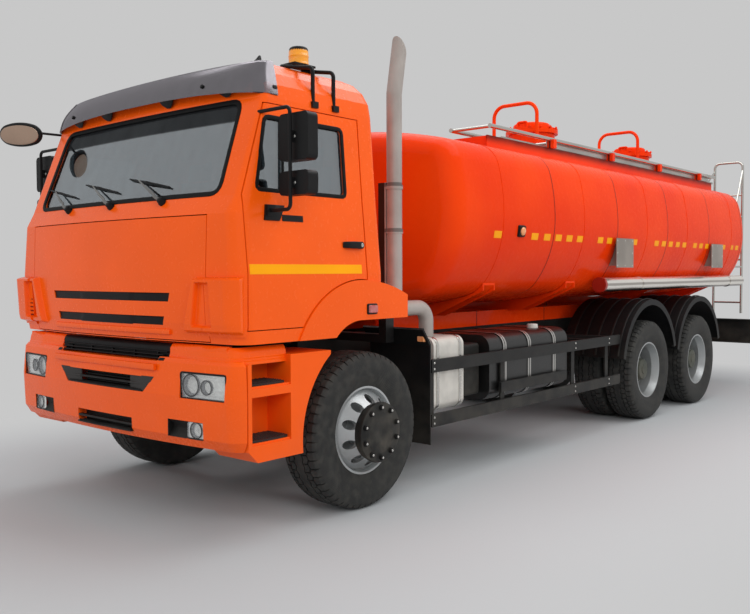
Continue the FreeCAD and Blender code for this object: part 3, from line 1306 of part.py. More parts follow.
def front_mirror():
    """The right hand front view mirror on its arm from the roof's corner."""
    shell = box(-FRONT_MIRROR_X - FRONT_MIRROR_LENGTH / 2, -FRONT_MIRROR_X + FRONT_MIRROR_LENGTH / 2,
                FRONT_MIRROR_Y - MIRROR_CORNER, FRONT_MIRROR_Y + MIRROR_CORNER,
                FRONT_MIRROR_Z - FRONT_MIRROR_HEIGHT / 2, FRONT_MIRROR_Z + FRONT_MIRROR_HEIGHT / 2)
    shell = round_edges(shell, MIRROR_CORNER / 2, lambda e: True)
    arm = rod((-FRONT_MIRROR_X, FRONT_MIRROR_Y, FRONT_MIRROR_Z),
              (-HALF_GUTTER + CAB_WALL, FRONT_ARM_Y, FRONT_MIRROR_Z), MIRROR_ARM_RADIUS)
    return fuse([shell, arm]).cut([hull(0)] + sun_visor())


def build_cab():
    save("cab_shell", [cab_shell()])
    save("cab_floor", [cab_floor()])
    wing = wing_solid(0, 0, WING_INNER_X, HALF_WIDTH + WING_PROUD)
    save("cab_wings", both_sides([wing]))
    save("cab_glass", cab_glass())
    save("front_lid", [front_lid()])
    door, pane, mirror = door_shell(), door_glass(), mirrors()
    for hand, turn in (("left", lambda s: s), ("right", mirrored)):
        save("door_" + hand, [turn(door)])
        save("door_glass_" + hand, [turn(pane)])
        save("mirrors_" + hand, [turn(mirror)])
    save("seats", seats())
    save("dashboard", [dashboard()])
    save("sun_visor", sun_visor())
    save("roof_beacon", [roof_beacon()])
    save("wipers", wipers())
    save("front_mirror", [front_mirror()])


# Bumper, lamps and entry steps, which stay on the frame when the cab tilts

def bumper_hull(inset):
    """The bumper's outside, drawn in by inset."""
    rows = [(BUMPER_BOTTOM, BUMPER_LOW_Y, HALF_WIDTH - OVERRUN, BUMPER_TAIL),
            (BUMPER_BOTTOM + BUMPER_KNEE, -FRONT_OVERHANG + OVERRUN, HALF_WIDTH, BUMPER_TAIL),
            (GRILLE_BOTTOM, -FRONT_OVERHANG, HALF_WIDTH, BUMPER_TAIL),
            (BUMPER_LEDGE, -FRONT_OVERHANG + 2 * OVERRUN, HALF_WIDTH, BUMPER_TAIL),
            (BUMPER_TOP, -FRONT_OVERHANG + 4 * OVERRUN, HALF_WIDTH - OVERRUN, BUMPER_TAIL)]
    return plan_loft([row + (FACE_SAG, CORNER_RADIUS) for row in rows], inset)


def lamp_tool(inner, outer, low, top, gap):
    """The left lamp's outline, carried into the bumper to the depth of a lamp."""
    return along_y([(inner - gap, low - gap), (outer + gap, low - gap), (outer + gap, top + gap),
                    (inner - gap, top + gap)], -FAR, -FRONT_OVERHANG + FACE_SAG + LAMP_DEPTH + gap)


def front_bumper():
    """The bumper shell with its grille, lamp and step openings, and a dark moulding."""
    shell = bumper_hull(0).cut(bumper_hull(BUMPER_WALL))
    behind = box(-FAR, FAR, BUMPER_REAR, FAR, 0, FAR)
    ledge = box(-LEDGE_HALF, LEDGE_HALF, -FAR, FAR, BUMPER_LEDGE, FAR)
    grille = along_y([(-GRILLE_HALF_BOTTOM, GRILLE_BOTTOM), (GRILLE_HALF_BOTTOM, GRILLE_BOTTOM),
                      (GRILLE_HALF_TOP, GRILLE_TOP), (-GRILLE_HALF_TOP, GRILLE_TOP)], -FAR, BUMPER_REAR)
    slot = box(-STEP_SLOT_HALF, STEP_SLOT_HALF, -FAR, BUMPER_REAR, STEP_SLOT_BOTTOM, STEP_SLOT_TOP)
    fog = lamp_tool(FOG_INNER, FOG_OUTER, FOG_BOTTOM, FOG_TOP, FIT_GAP)
    lamp = lamp_tool(LAMP_INNER, LAMP_OUTER, LAMP_BOTTOM, LAMP_TOP, FIT_GAP)
    shell = shell.cut([behind, ledge, grille, slot] + both_sides([fog, lamp]))
    inner = bumper_hull(BUMPER_WALL)
    bars = []
    for low, top, half in ((GRILLE_BOTTOM, GRILLE_TOP, GRILLE_HALF_TOP),
                           (STEP_SLOT_BOTTOM, STEP_SLOT_TOP, STEP_SLOT_HALF)):
        bars.append(box(-half, half, -FRONT_OVERHANG + 2 * OVERRUN, -FRONT_OVERHANG + BUMPER_WALL,
                        (low + top) / 2 - OVERRUN / 2, (low + top) / 2 + OVERRUN / 2))
    beam = box(-LAMP_INNER, LAMP_INNER, BUMPER_BEAM_Y, BUMPER_BEAM_Y + BUMPER_WALL, BEAM_LOW, BUMPER_LEDGE)
    ties = both_sides([box(RAIL_X - RAIL_WIDTH, RAIL_X, BUMPER_BEAM_Y + BUMPER_WALL, RAIL_FRONT,
                           RAIL_LOW, BUMPER_LEDGE - BUMPER_WALL)])
    posts = both_sides([box(LAMP_INNER - BUMPER_WALL, LAMP_INNER, -FRONT_OVERHANG + BUMPER_WALL,
                            BUMPER_BEAM_Y + OVERRUN, BEAM_LOW, BUMPER_LEDGE)])
    posts = [p.common(inner) for p in posts]
    moulding = box(-MOULDING_HALF, MOULDING_HALF, MOULDING_FRONT, MOULDING_REAR,
                   BUMPER_LEDGE, MOULDING_TOP).common(hull_below())
    swept = box(-MOULDING_HALF, MOULDING_HALF, -FAR, FAR, TILT_Z, FAR)
    crown = rod((-MOULDING_HALF, TILT_Y, TILT_Z), (MOULDING_HALF, TILT_Y, TILT_Z), MOULDING_ROUND)
    moulding = moulding.cut(swept).fuse(moulding.common(swept).common(crown)).removeSplitter()
    bars = [b.common(inner.fuse(bumper_hull(0))) for b in bars]
    return fuse([shell, beam, moulding] + ties + posts + bars)


def hull_below():
    """The space under the cab's front in which the moulding between the rails stands."""
    return plan_loft([(z, -FRONT_OVERHANG + BUMPER_WALL, HALF_WIDTH - BUMPER_WALL, BUMPER_TAIL,
                       FACE_SAG, CORNER_RADIUS) for z in (BUMPER_BOTTOM, MOULDING_TOP)], 0)


def front_lamps():
    """Head lamps and fog lamps, each a block behind a lens that follows the bumper."""
    lens = bumper_hull(RUNNING_GAP)
    head = lamp_tool(LAMP_INNER, LAMP_OUTER, LAMP_BOTTOM, LAMP_TOP, 0).common(lens)
    fog = lamp_tool(FOG_LAMP_INNER, FOG_OUTER, FOG_BOTTOM, FOG_TOP, 0).common(lens)
    back = lamp_tool(FOG_INNER, FOG_OUTER, FOG_BOTTOM, FOG_TOP, 0).common(bumper_hull(LAMP_DEPTH / 2))
    solids = [head, fog.fuse(back).removeSplitter()]
    front = box(-FAR, FAR, -FAR, -FRONT_OVERHANG + FACE_SAG + LAMP_DEPTH, 0, FAR)
    return both_sides([s.common(front) for s in solids])


def side_step():
    """The left step box with two deep recesses and the front of the wheel arch."""
    outline = [(STEP_FRONT, STEP_BOTTOM + FACE_SAG), (STEP_FRONT + FACE_SAG, STEP_BOTTOM),
               (-STEP_TAIL, STEP_BOTTOM), (-STEP_TAIL, STEP_TOP_REAR), (STEP_RECESS_REAR, STEP_TOP_REAR),
               (STEP_FRONT, STEP_TOP_FRONT)]
    body = along_x(outline, STEP_INNER_X, HALF_WIDTH)
    arch = rod((STEP_INNER_X - OVERRUN, 0, ARCH_Z), (FAR, 0, ARCH_Z), ARCH_RADIUS)
    x0 = HALF_WIDTH - STEP_RECESS_DEPTH
    upper = box(x0, FAR, STEP_RECESS_FRONT, STEP_RECESS_REAR, UPPER_TREAD, STEP_TOP_REAR + OVERRUN)
    lower = box(x0, FAR, STEP_RECESS_FRONT, STEP_RECESS_REAR, LOWER_TREAD, LOWER_RECESS_TOP)
    body = body.cut([arch, upper, lower])
    treads = [box(x0, HALF_WIDTH - OVERRUN, STEP_RECESS_FRONT, STEP_RECESS_REAR, z, z + TREAD_THICKNESS)
              for z in (UPPER_TREAD, LOWER_TREAD)]
    tie = box(RAIL_X, STEP_INNER_X, STEP_TIE_Y, STEP_TIE_Y + CROSS_DEPTH, RAIL_LOW + RAIL_WEB,
              RAIL_LOW + CROSS_DEPTH)
    return fuse([body, tie] + treads)


def build_front():
    save("front_bumper", [front_bumper()])
    save("lamps", front_lamps() + rear_lamps())
    save("entry_steps", both_sides([side_step()]))


# Exhaust, boxes and guards along the frame

def silencer():
    """The silencer box on the left, with rounded long edges and its brackets."""
    body = box(SILENCER_INNER_X, SILENCER_OUTER_X, SILENCER_FRONT, SILENCER_REAR, SILENCER_LOW, SILENCER_TOP)
    body = round_edges(body, SILENCER_ROUND, lambda e: runs_along(e, V(0, 1, 0)))
    arms = [box(RAIL_X, SILENCER_INNER_X + OVERRUN, y, y + GUARD_ARM_SIZE, RAIL_LOW, RAIL_LOW + CROSS_DEPTH)
            for y in (SILENCER_FRONT + OVERRUN, SILENCER_REAR - GUARD_ARM_SIZE - OVERRUN)]
    return fuse([body] + arms)


def exhaust_stack():
    """The upright pipe, its lower bend into the silencer, its bracket and clamps."""
    path = [(STACK_X, ELBOW_Y, SILENCER_TOP - OVERRUN), (STACK_X, ELBOW_Y, STACK_FOOT_Z),
            (STACK_X, STACK_Y, STACK_FOOT_Z), (STACK_X, STACK_Y, STACK_BEND_Z),
            (STACK_X, STACK_Y + STACK_LEAN, STACK_TOP_Z)]
    pipe = bent_rod(path, STACK_RADIUS, ELBOW_BEND)
    lean = (V(*path[4]) - V(*path[3])).normalize()
    front, back = STACK_Y + STACK_LEAN - 2 * STACK_RADIUS, STACK_Y + STACK_LEAN + 2 * STACK_RADIUS
    drop = MOUTH_DROP * 2
    mouth_tool = along_x([(front, STACK_TOP_Z + drop / 4), (back, STACK_TOP_Z - drop * 3 / 4),
                          (back, STACK_TOP_Z + drop), (front, STACK_TOP_Z + drop)], 0, FAR)
    bore = rod(V(*path[4]) - lean * MOUTH_DEPTH, V(*path[4]) + lean * MOUTH_DEPTH,
               STACK_RADIUS - CLAMP_THICKNESS)
    pipe = pipe.cut(mouth_tool).cut(bore)
    x1 = STACK_X - STACK_RADIUS
    channel = box(x1 - CHANNEL_DEPTH, x1 + OVERRUN, STACK_Y - CHANNEL_WIDTH / 2,
                  STACK_Y + CHANNEL_WIDTH / 2, RAIL_TOP, CHANNEL_TOP)
    foot = box(ENGINE_HALF + OVERRUN, x1, STACK_Y - CHANNEL_WIDTH / 2, STACK_Y + CHANNEL_WIDTH / 2,
               RAIL_TOP, RAIL_TOP + CHANNEL_DEPTH)
    clamps = []
    for z in CLAMP_PLACES:
        clamps.append(rod((STACK_X, STACK_Y, z), (STACK_X, STACK_Y, z + CLAMP_WIDTH),
                          STACK_RADIUS + CLAMP_THICKNESS))
    return fuse([pipe, channel, foot] + clamps)


def battery_boxes():
    """The black box between silencer and fuel tank, with its like on the other side."""
    left = box(BOX_INNER_X, BATTERY_OUTER_X, BATTERY_FRONT, BATTERY_REAR, BATTERY_LOW, BATTERY_TOP)
    left = round_edges(left, CLAMP_WIDTH, lambda e: runs_along(e, V(0, 1, 0)))
    arm = box(RAIL_X, BOX_INNER_X + OVERRUN, BATTERY_FRONT + CLAMP_WIDTH, BATTERY_REAR - CLAMP_WIDTH,
              RAIL_LOW, RAIL_LOW + CROSS_DEPTH)
    right = box(-SILENCER_OUTER_X, -BOX_INNER_X, SILENCER_FRONT, BATTERY_REAR, BATTERY_LOW, BATTERY_TOP)
    right = round_edges(right, CLAMP_WIDTH, lambda e: runs_along(e, V(0, 1, 0)))
    return [fuse([left, arm]), fuse([right, mirrored(arm)])]


def fuel_tank():
    """The fuel tank with a round upper outer edge, its straps and its filler."""
    body = box(BOX_INNER_X, FUEL_OUTER_X, FUEL_FRONT, FUEL_REAR, FUEL_LOW, FUEL_TOP)
    body = round_edges(body, FUEL_ROUND, lambda e: runs_along(e, V(0, 1, 0)))
    wrap = box(BOX_INNER_X - STRAP_THICKNESS, FUEL_OUTER_X + STRAP_THICKNESS, FUEL_FRONT, FUEL_REAR,
               FUEL_LOW - STRAP_THICKNESS, FUEL_TOP + STRAP_THICKNESS)
    wrap = round_edges(wrap, FUEL_ROUND, lambda e: runs_along(e, V(0, 1, 0)))
    straps = [wrap.common(box(0, FAR, y - STRAP_WIDTH / 2, y + STRAP_WIDTH / 2, 0, FAR))
              for y in STRAP_PLACES]
    arms = [box(RAIL_X, BOX_INNER_X + OVERRUN, y - STRAP_WIDTH, y + STRAP_WIDTH, RAIL_LOW,
                RAIL_LOW + CROSS_DEPTH)
            for y in STRAP_PLACES]
    filler = rod((FILLER_X, FILLER_Y, FUEL_TOP - OVERRUN), (FILLER_X, FILLER_Y, FUEL_TOP + FILLER_HEIGHT),
                 FILLER_RADIUS)
    return fuse([body, filler] + straps + arms)


def air_tanks():
    """Three brake air tanks along the right rail on one carrier."""
    x = -RAIL_X - AIR_TANK_SPACE - AIR_TANK_RADIUS
    solids = []
    middle = (FUEL_FRONT + FUEL_REAR) / 2
    z = (FUEL_LOW + FUEL_TOP) / 2
    for step_x, step_z in ((0, 0), (-2 * AIR_TANK_RADIUS - OVERRUN, 0), (0, -2 * AIR_TANK_RADIUS - OVERRUN)):
        drum = rod((x + step_x, middle - AIR_TANK_LENGTH / 2, z + AIR_TANK_RADIUS + step_z),
                   (x + step_x, middle + AIR_TANK_LENGTH / 2, z + AIR_TANK_RADIUS + step_z), AIR_TANK_RADIUS)
        drum = round_edges(drum, AIR_TANK_RADIUS / 2, lambda e: e.Curve.TypeId == "Part::GeomCircle")
        solids.append(drum)
    carriers = []
    for y in (middle - AIR_TANK_LENGTH / 3, middle + AIR_TANK_LENGTH / 3):
        carriers.append(box(x - 3 * AIR_TANK_RADIUS, -RAIL_X, y, y + GUARD_ARM_SIZE,
                            z - 2 * OVERRUN, z + AIR_TANK_RADIUS + OVERRUN))
        carriers.append(box(x - AIR_TANK_RADIUS, x + AIR_TANK_RADIUS, y, y + GUARD_ARM_SIZE,
                            z - AIR_TANK_RADIUS, z))
    return fuse(solids + carriers)


def side_guard():
    """The left side guard: planks on posts, hung from the frame by two arms."""
    x0 = GUARD_X - GUARD_THICKNESS
    solids = [box(x0, GUARD_X, GUARD_FRONT, GUARD_REAR, GUARD_UPPER_LOW, GUARD_UPPER_TOP),
              box(x0, GUARD_X, GUARD_FRONT, GUARD_REAR, GUARD_LOWER_LOW, GUARD_LOWER_TOP),
              box(x0, GUARD_X, GUARD_MIDDLE_FRONT, GUARD_MIDDLE_REAR, GUARD_MIDDLE_LOW, GUARD_MIDDLE_TOP)]
    back = x0 - GUARD_THICKNESS / 2
    for y in GUARD_POSTS + [GUARD_MIDDLE_FRONT + GUARD_POST_WIDTH]:
        top = GUARD_UPPER_TOP
        solids.append(box(back, x0, y - GUARD_POST_WIDTH / 2, y + GUARD_POST_WIDTH / 2, GUARD_LOWER_LOW, top))
    for y in GUARD_ARMS:
        low = GUARD_UPPER_TOP - GUARD_ARM_SIZE if y < BATTERY_FRONT or y > FUEL_REAR else GUARD_LOWER_LOW
        solids.append(box(RAIL_X, x0, y - GUARD_ARM_SIZE / 2, y + GUARD_ARM_SIZE / 2, low,
                          low + GUARD_ARM_SIZE))
    return fuse(solids)


def mudguard(y):
    """A round mudguard over one rear wheel pair on the left, with an outer lip."""
    outer, inner = MUDGUARD_RADIUS, MUDGUARD_RADIUS - MUDGUARD_THICKNESS
    x0, x1 = MUDGUARD_INNER_X, HALF_WIDTH
    lip = MUDGUARD_THICKNESS
    profile = [(x0, inner), (x1 - lip, inner), (x1 - lip, outer - MUDGUARD_LIP), (x1, outer - MUDGUARD_LIP),
               (x1, outer), (x0, outer)]
    flat = face_of([(x, r, 0) for x, r in profile])
    band = flat.revolve(V(0, 0, 0), V(1, 0, 0), MUDGUARD_SWEEP_DEG)
    band.rotate(V(0, 0, 0), V(1, 0, 0), MUDGUARD_START_DEG)
    band.translate(V(0, y, MUDGUARD_Z))
    stay = box(RAIL_X, x0 + 4 * OVERRUN, y - GUARD_ARM_SIZE, y + GUARD_ARM_SIZE, RAIL_TOP, RAIL_TOP + OVERRUN)
    post = box(x0 + OVERRUN, x0 + 4 * OVERRUN, y - GUARD_ARM_SIZE, y + GUARD_ARM_SIZE, RAIL_TOP,
               MUDGUARD_Z + outer)
    room = rod((x0, y, MUDGUARD_Z), (x1, y, MUDGUARD_Z), (outer + inner) / 2)
    return fuse([band, stay, post.common(room)])


def front_flap():
    """The left black liner and flap behind the front wheel, on a stay."""
    outline = [(FLAP_FRONT, FLAP_LOW), (FLAP_FRONT + FLAP_THICKNESS, FLAP_LOW),
               (FLAP_FRONT + FLAP_THICKNESS, FLAP_TOP - CROSS_DEPTH),
               (FLAP_KNEE, FLAP_TOP + FLAP_THICKNESS), (FLAP_KNEE - FLAP_THICKNESS, FLAP_TOP),
               (FLAP_FRONT, FLAP_TOP - CROSS_DEPTH - FLAP_THICKNESS)]
    flap = along_x(outline, FLAP_INNER_X, FLAP_OUTER_X)
    stay = box(RAIL_X, FLAP_INNER_X + CROSS_DEPTH, FLAP_FRONT + FLAP_THICKNESS, FLAP_FRONT + CROSS_DEPTH / 2,
               RAIL_LOW + RAIL_WEB, RAIL_LOW + CROSS_DEPTH)
    return fuse([flap, stay])


def build_middle():
    box_solid = silencer()
    save("silencer", [box_solid])
    save("exhaust_stack", [exhaust_stack().cut(box_solid)])
    save("frame_boxes", battery_boxes() + [air_tanks()])
    save("fuel_tank", [fuel_tank()])
    save("side_guards", both_sides([side_guard()]))
    save("mudguards", both_sides([mudguard(y) for y in REAR_AXLES] + [front_flap()]))


# Tank. Its section is a chain of arcs, each meeting the next smoothly.

def between(c1, r1, c2, r2, side):
    """The centre at distance r1 from c1 and r2 from c2, on the chosen side."""
    d = math.dist(c1, c2)
    a = (r1 * r1 - r2 * r2 + d * d) / (2 * d)
    h = math.sqrt(r1 * r1 - a * a)
    ux, uz = (c2[0] - c1[0]) / d, (c2[1] - c1[1]) / d
    return c1[0] + a * ux + side * h * uz, c1[1] + a * uz - side * h * ux


def toward(c, p, r):
    """The point at distance r from c on the way to p."""
    d = math.dist(c, p)
    return c[0] + (p[0] - c[0]) * r / d, c[1] + (p[1] - c[1]) * r / d


def away(c, p, r):
    """The point at distance r from c on the side away from p."""
    d = math.dist(c, p)
    return c[0] - (p[0] - c[0]) * r / d, c[1] - (p[1] - c[1]) * r / d


def arc_rows(grow):
    """The right hand half of the tank's section as centre, radius, first and last point."""
    top_c = (0, TANK_TOP - TANK_TOP_RADIUS)
    low_c = (0, TANK_BOTTOM + TANK_BOTTOM_RADIUS)
    up_c = (TANK_HALF - TANK_UPPER_SIDE, TANK_WIDEST_Z)
    dn_c = (TANK_HALF - TANK_LOWER_SIDE, TANK_WIDEST_Z)
    k1 = between(top_c, TANK_TOP_RADIUS - TANK_TOP_CORNER, up_c, TANK_UPPER_SIDE - TANK_TOP_CORNER, 1)
    k2 = between(low_c, TANK_BOTTOM_RADIUS - TANK_BOTTOM_CORNER, dn_c,
                 TANK_LOWER_SIDE - TANK_BOTTOM_CORNER, -1)
    crown = (0, TANK_TOP + grow)
    a = away(k1, top_c, TANK_TOP_CORNER + grow)
    b = away(k1, up_c, TANK_TOP_CORNER + grow)
    side = (TANK_HALF + grow, TANK_WIDEST_Z)
    c = away(k2, dn_c, TANK_BOTTOM_CORNER + grow)
    d = away(k2, low_c, TANK_BOTTOM_CORNER + grow)
    keel = (0, TANK_BOTTOM - grow)
    return [(top_c, TANK_TOP_RADIUS + grow, crown, a), (k1, TANK_TOP_CORNER + grow, a, b),
            (up_c, TANK_UPPER_SIDE + grow, b, side), (dn_c, TANK_LOWER_SIDE + grow, side, c),
            (k2, TANK_BOTTOM_CORNER + grow, c, d), (low_c, TANK_BOTTOM_RADIUS + grow, d, keel)]


def tank_section(y, grow=0):
    """The closed outline of the tank at y."""
    edges = []
    for c, r, first, last in arc_rows(grow):
        middle = toward(c, ((first[0] + last[0]) / 2, (first[1] + last[1]) / 2), r)
        for sign in (1, -1):
            p = [V(sign * q[0], y, q[1]) for q in (first, middle, last)]
            edges.append(Part.Arc(p[0], p[1], p[2]).toShape())
    return Part.Wire(Part.__sortEdges__(edges))


def tank_bar(y0, y1, grow=0):
    """The tank's section carried along Y."""
    return Part.Face(tank_section(y0, grow)).extrude(V(0, y1 - y0, 0))


def tank_body():
    """The tank with dished heads: a bar cut by a large sphere at each end."""
    bar = tank_bar(TANK_FRONT, TANK_REAR)
    z = (TANK_TOP + TANK_BOTTOM) / 2
    length = TANK_REAR - TANK_FRONT
    front = Part.makeSphere(HEAD_SPHERE, V(0, TANK_FRONT + HEAD_SPHERE, z))
    rear = Part.makeSphere(HEAD_SPHERE, V(0, TANK_REAR - HEAD_SPHERE, z))
    middle = TANK_FRONT + length / 2
    first = bar.common(box(-FAR, FAR, TANK_FRONT - OVERRUN, middle, 0, 2 * FAR)).common(front)
    second = bar.common(box(-FAR, FAR, middle, TANK_REAR + OVERRUN, 0, 2 * FAR)).common(rear)
    rounded = []
    for half in (first, second):
        rim = []
        for e in half.Edges:
            near = min(abs(e.CenterOfMass.y - TANK_FRONT), abs(e.CenterOfMass.y - TANK_REAR))
            spans = e.BoundBox.YLength < HEAD_ROUND * 2
            if near < HEAD_ROUND * 3 and spans:
                rim.append(e)
        rounded.append(half.makeFillet(HEAD_ROUND, rim))
    rings = [tank_bar(y - SEAM_HALF, y + SEAM_HALF, SEAM_PROUD) for y in SEAMS]
    return fuse(rounded + rings)


def tank_saddles():
    """The subframe on the rails with a cradle under each seam of the tank."""
    solids = []
    top = RAIL_TOP + SUBFRAME_HEIGHT
    solids += both_sides([box(RAIL_X - SUBFRAME_WIDTH, RAIL_X, SUBFRAME_FRONT, RAIL_REAR, RAIL_TOP, top)])
    for y in SADDLES:
        half = SADDLE_WIDTH / 2
        rise = TANK_BOTTOM_CORNER / 2 + SADDLE_REACH
        web = along_y([(-SADDLE_HALF_BOTTOM, top - OVERRUN), (SADDLE_HALF_BOTTOM, top - OVERRUN),
                       (SADDLE_HALF_TOP, TANK_BOTTOM + rise - SADDLE_REACH),
                       (SADDLE_HALF_TOP, TANK_BOTTOM + rise), (-SADDLE_HALF_TOP, TANK_BOTTOM + rise),
                       (-SADDLE_HALF_TOP, TANK_BOTTOM + rise - SADDLE_REACH)],
                      y - half, y + half)
        room = along_y([(-SADDLE_HALF_BOTTOM, top - 2 * OVERRUN), (SADDLE_HALF_BOTTOM, top - 2 * OVERRUN),
                        (FAR, TANK_BOTTOM + rise), (-FAR, TANK_BOTTOM + rise)],
                       y - half + SADDLE_PLATE, y + half - SADDLE_PLATE)
        cradle = web.cut(tank_bar(y - SADDLE_WIDTH, y + SADDLE_WIDTH, SEAM_PROUD))
        hollow = room.cut(tank_bar(y - SADDLE_WIDTH, y + SADDLE_WIDTH, SEAM_PROUD + SADDLE_PLATE))
        solids.append(cradle.cut(hollow))
    return fuse(solids)


def tank_necks():
    """The two filling necks with flanges, and the hoop in front of each."""
    solids = []
    for y in NECK_YS:
        neck = rod((0, y, TANK_TOP - TANK_TOP_CORNER / 2), (0, y, NECK_TOP), NECK_RADIUS)
        flange = rod((0, y, NECK_TOP - NECK_FLANGE_HEIGHT), (0, y, NECK_TOP), NECK_FLANGE_RADIUS)
        ear = box(-LID_EAR, LID_EAR, y + NECK_RADIUS, y + NECK_FLANGE_RADIUS + EAR_REACH,
                  NECK_TOP - NECK_FLANGE_HEIGHT, NECK_TOP)
        solids.append(fuse([neck, flange, ear]))
    return solids


def neck_hoops():
    """A bent tube that stands across the tank in front of each neck."""
    solids = []
    for y in NECK_YS:
        foot = TANK_TOP - 2 * OVERRUN
        at = y - HOOP_OFFSET
        solids.append(bent_rod([(-HOOP_HALF, at, foot), (-HOOP_HALF, at, HOOP_TOP), (HOOP_HALF, at, HOOP_TOP),
                                (HOOP_HALF, at, foot)], HOOP_RADIUS, HOOP_BEND))
    return solids


def tank_lid(y):
    """A manhole lid: a plate with a dome, hinged at its rear edge."""
    z = NECK_TOP + FIT_GAP
    plate = rod((0, y, z), (0, y, z + LID_PLATE), LID_RADIUS)
    dome = rod((0, y, z + LID_PLATE), (0, y, z + LID_PLATE + LID_DOME), LID_RADIUS - LID_EAR)
    dome = round_edges(dome, LID_DOME / 2, lambda e: e.CenterOfMass.z > z + LID_PLATE + OVERRUN
                       and e.Curve.TypeId == "Part::GeomCircle")
    arm = box(-LID_EAR / 2, LID_EAR / 2, y, y + NECK_FLANGE_RADIUS + EAR_REACH / 2, z, z + LID_PLATE)
    handle = bent_rod([(-LID_EAR, y - LID_RADIUS + LID_EAR, z + LID_PLATE - OVERRUN),
                       (-LID_EAR, y - LID_RADIUS + LID_EAR, z + LID_PLATE + LID_DOME),
                       (LID_EAR, y - LID_RADIUS + LID_EAR, z + LID_PLATE + LID_DOME),
                       (LID_EAR, y - LID_RADIUS + LID_EAR, z + LID_PLATE - OVERRUN)],
                      LID_PIN_RADIUS, 2 * LID_PIN_RADIUS)
    return fuse([plate, dome, arm, handle])


def walkway(tank):
    """Cross beams, side coamings and the handrail's bearing blocks on the tank's top."""
    beams = [box(-POST_X, POST_X, y - POST_WIDTH / 2, y + POST_WIDTH / 2, BEAM_FOOT_Z, DECK_Z)
             for y in [COAMING_FRONT + POST_WIDTH] + POST_YS + [LAST_BEAM_Y]]
    side = both_sides([box(POST_X - COAMING_THICKNESS, POST_X, COAMING_FRONT, LAST_BEAM_Y,
                           BEAM_FOOT_Z, DECK_Z)])
    necks = [rod((0, y, TANK_BOTTOM), (0, y, NECK_TOP), NECK_RADIUS + FIT_GAP) for y in NECK_YS]
    return fuse(beams + side + handrail_blocks()).cut([tank] + necks + neck_hoops()).Solids


def decks():
    solids = both_sides([box(DECK_INNER_X, DECK_OUTER_X, DECK_FRONT, DECK_REAR - POST_X / 4, DECK_Z,
                             DECK_Z + DECK_THICKNESS)])
    return solids


def handrail():
    """The folded handrail that lies along the left deck: two tubes and struts."""
    hinge_x = POST_X
    z = HANDRAIL_Z
    inner = hinge_x - HANDRAIL_REACH
    solids = [rod((hinge_x, HANDRAIL_FRONT, z), (hinge_x, HANDRAIL_REAR, z), RAIL_TUBE),
              rod((inner, HANDRAIL_FRONT, z), (inner, HANDRAIL_REAR, z), RAIL_TUBE)]
    for y in HANDRAIL_STRUTS:
        solids.append(rod((hinge_x, y, z), (inner, y, z), RAIL_TUBE - RUNNING_GAP))
    return fuse(solids)


def handrail_blocks():
    """Bearing blocks that carry the handrail's hinge tube on the coaming."""
    solids = []
    for y in POST_YS:
        block = box(POST_X - 2 * RAIL_TUBE, POST_X + 2 * RAIL_TUBE, y - POST_WIDTH / 2, y + POST_WIDTH / 2,
                    DECK_Z, HANDRAIL_Z)
        solids.append(block.cut(rod((POST_X, HANDRAIL_FRONT, HANDRAIL_Z), (POST_X, HANDRAIL_REAR, HANDRAIL_Z),
                                    RAIL_TUBE + FIT_GAP)))
    return solids


def ladder(tank, deck):
    """The rear ladder: a bent tube over the top, rungs, stays and two raked braces."""
    sides = (LADDER_X - LADDER_HALF, LADDER_X + LADDER_HALF)
    solids = [bent_rod([(sides[0], LADDER_Y, LADDER_LOW), (sides[0], LADDER_Y, LADDER_TOP),
                        (sides[1], LADDER_Y, LADDER_TOP), (sides[1], LADDER_Y, LADDER_LOW)],
                       LADDER_TUBE, 4 * LADDER_TUBE)]
    thin = LADDER_TUBE - RUNNING_GAP
    z = LADDER_LOW + RUNG_PITCH / 2
    while z < LADDER_TOP - RUNG_PITCH:
        solids.append(rod((sides[0], LADDER_Y, z), (sides[1], LADDER_Y, z), thin))
        z += RUNG_PITCH
    for x, foot_z in zip(sides, (DECK_Z + DECK_THICKNESS / 2, BRACE_FOOT_Z)):
        solids.append(rod((x, LADDER_Y, BRACE_TOP_Z), (x, BRACE_FOOT_Y, foot_z), thin))
    for z in LADDER_STAYS:
        for x in sides:
            solids.append(rod((x, LADDER_Y, z), (x, TANK_REAR - POST_X, z), thin))
    return fuse(solids).cut([tank] + deck)


def hose_tube():
    """The left hose tube with its end cap, its clamps and the brackets to the saddles."""
    body = rod((HOSE_X, HOSE_FRONT + HOSE_CAP, HOSE_Z), (HOSE_X, HOSE_REAR, HOSE_Z), HOSE_RADIUS)
    cap = rod((HOSE_X, HOSE_FRONT, HOSE_Z), (HOSE_X, HOSE_FRONT + HOSE_CAP, HOSE_Z),
              HOSE_RADIUS + CLAMP_THICKNESS)
    clamps = [rod((HOSE_X, y - CLAMP_WIDTH / 2, HOSE_Z), (HOSE_X, y + CLAMP_WIDTH / 2, HOSE_Z),
                  HOSE_RADIUS + CLAMP_THICKNESS) for y in HOSE_CLAMPS]
    arms = []
    for y in SADDLES[-2:]:
        arms.append(box(SADDLE_HALF_TOP - CHANNEL_WIDTH, HOSE_X, y - CLAMP_WIDTH, y + CLAMP_WIDTH,
                        HOSE_Z - HOSE_RADIUS, HOSE_Z - HOSE_RADIUS + CLAMP_WIDTH))
    return fuse([body, cap] + clamps + arms)


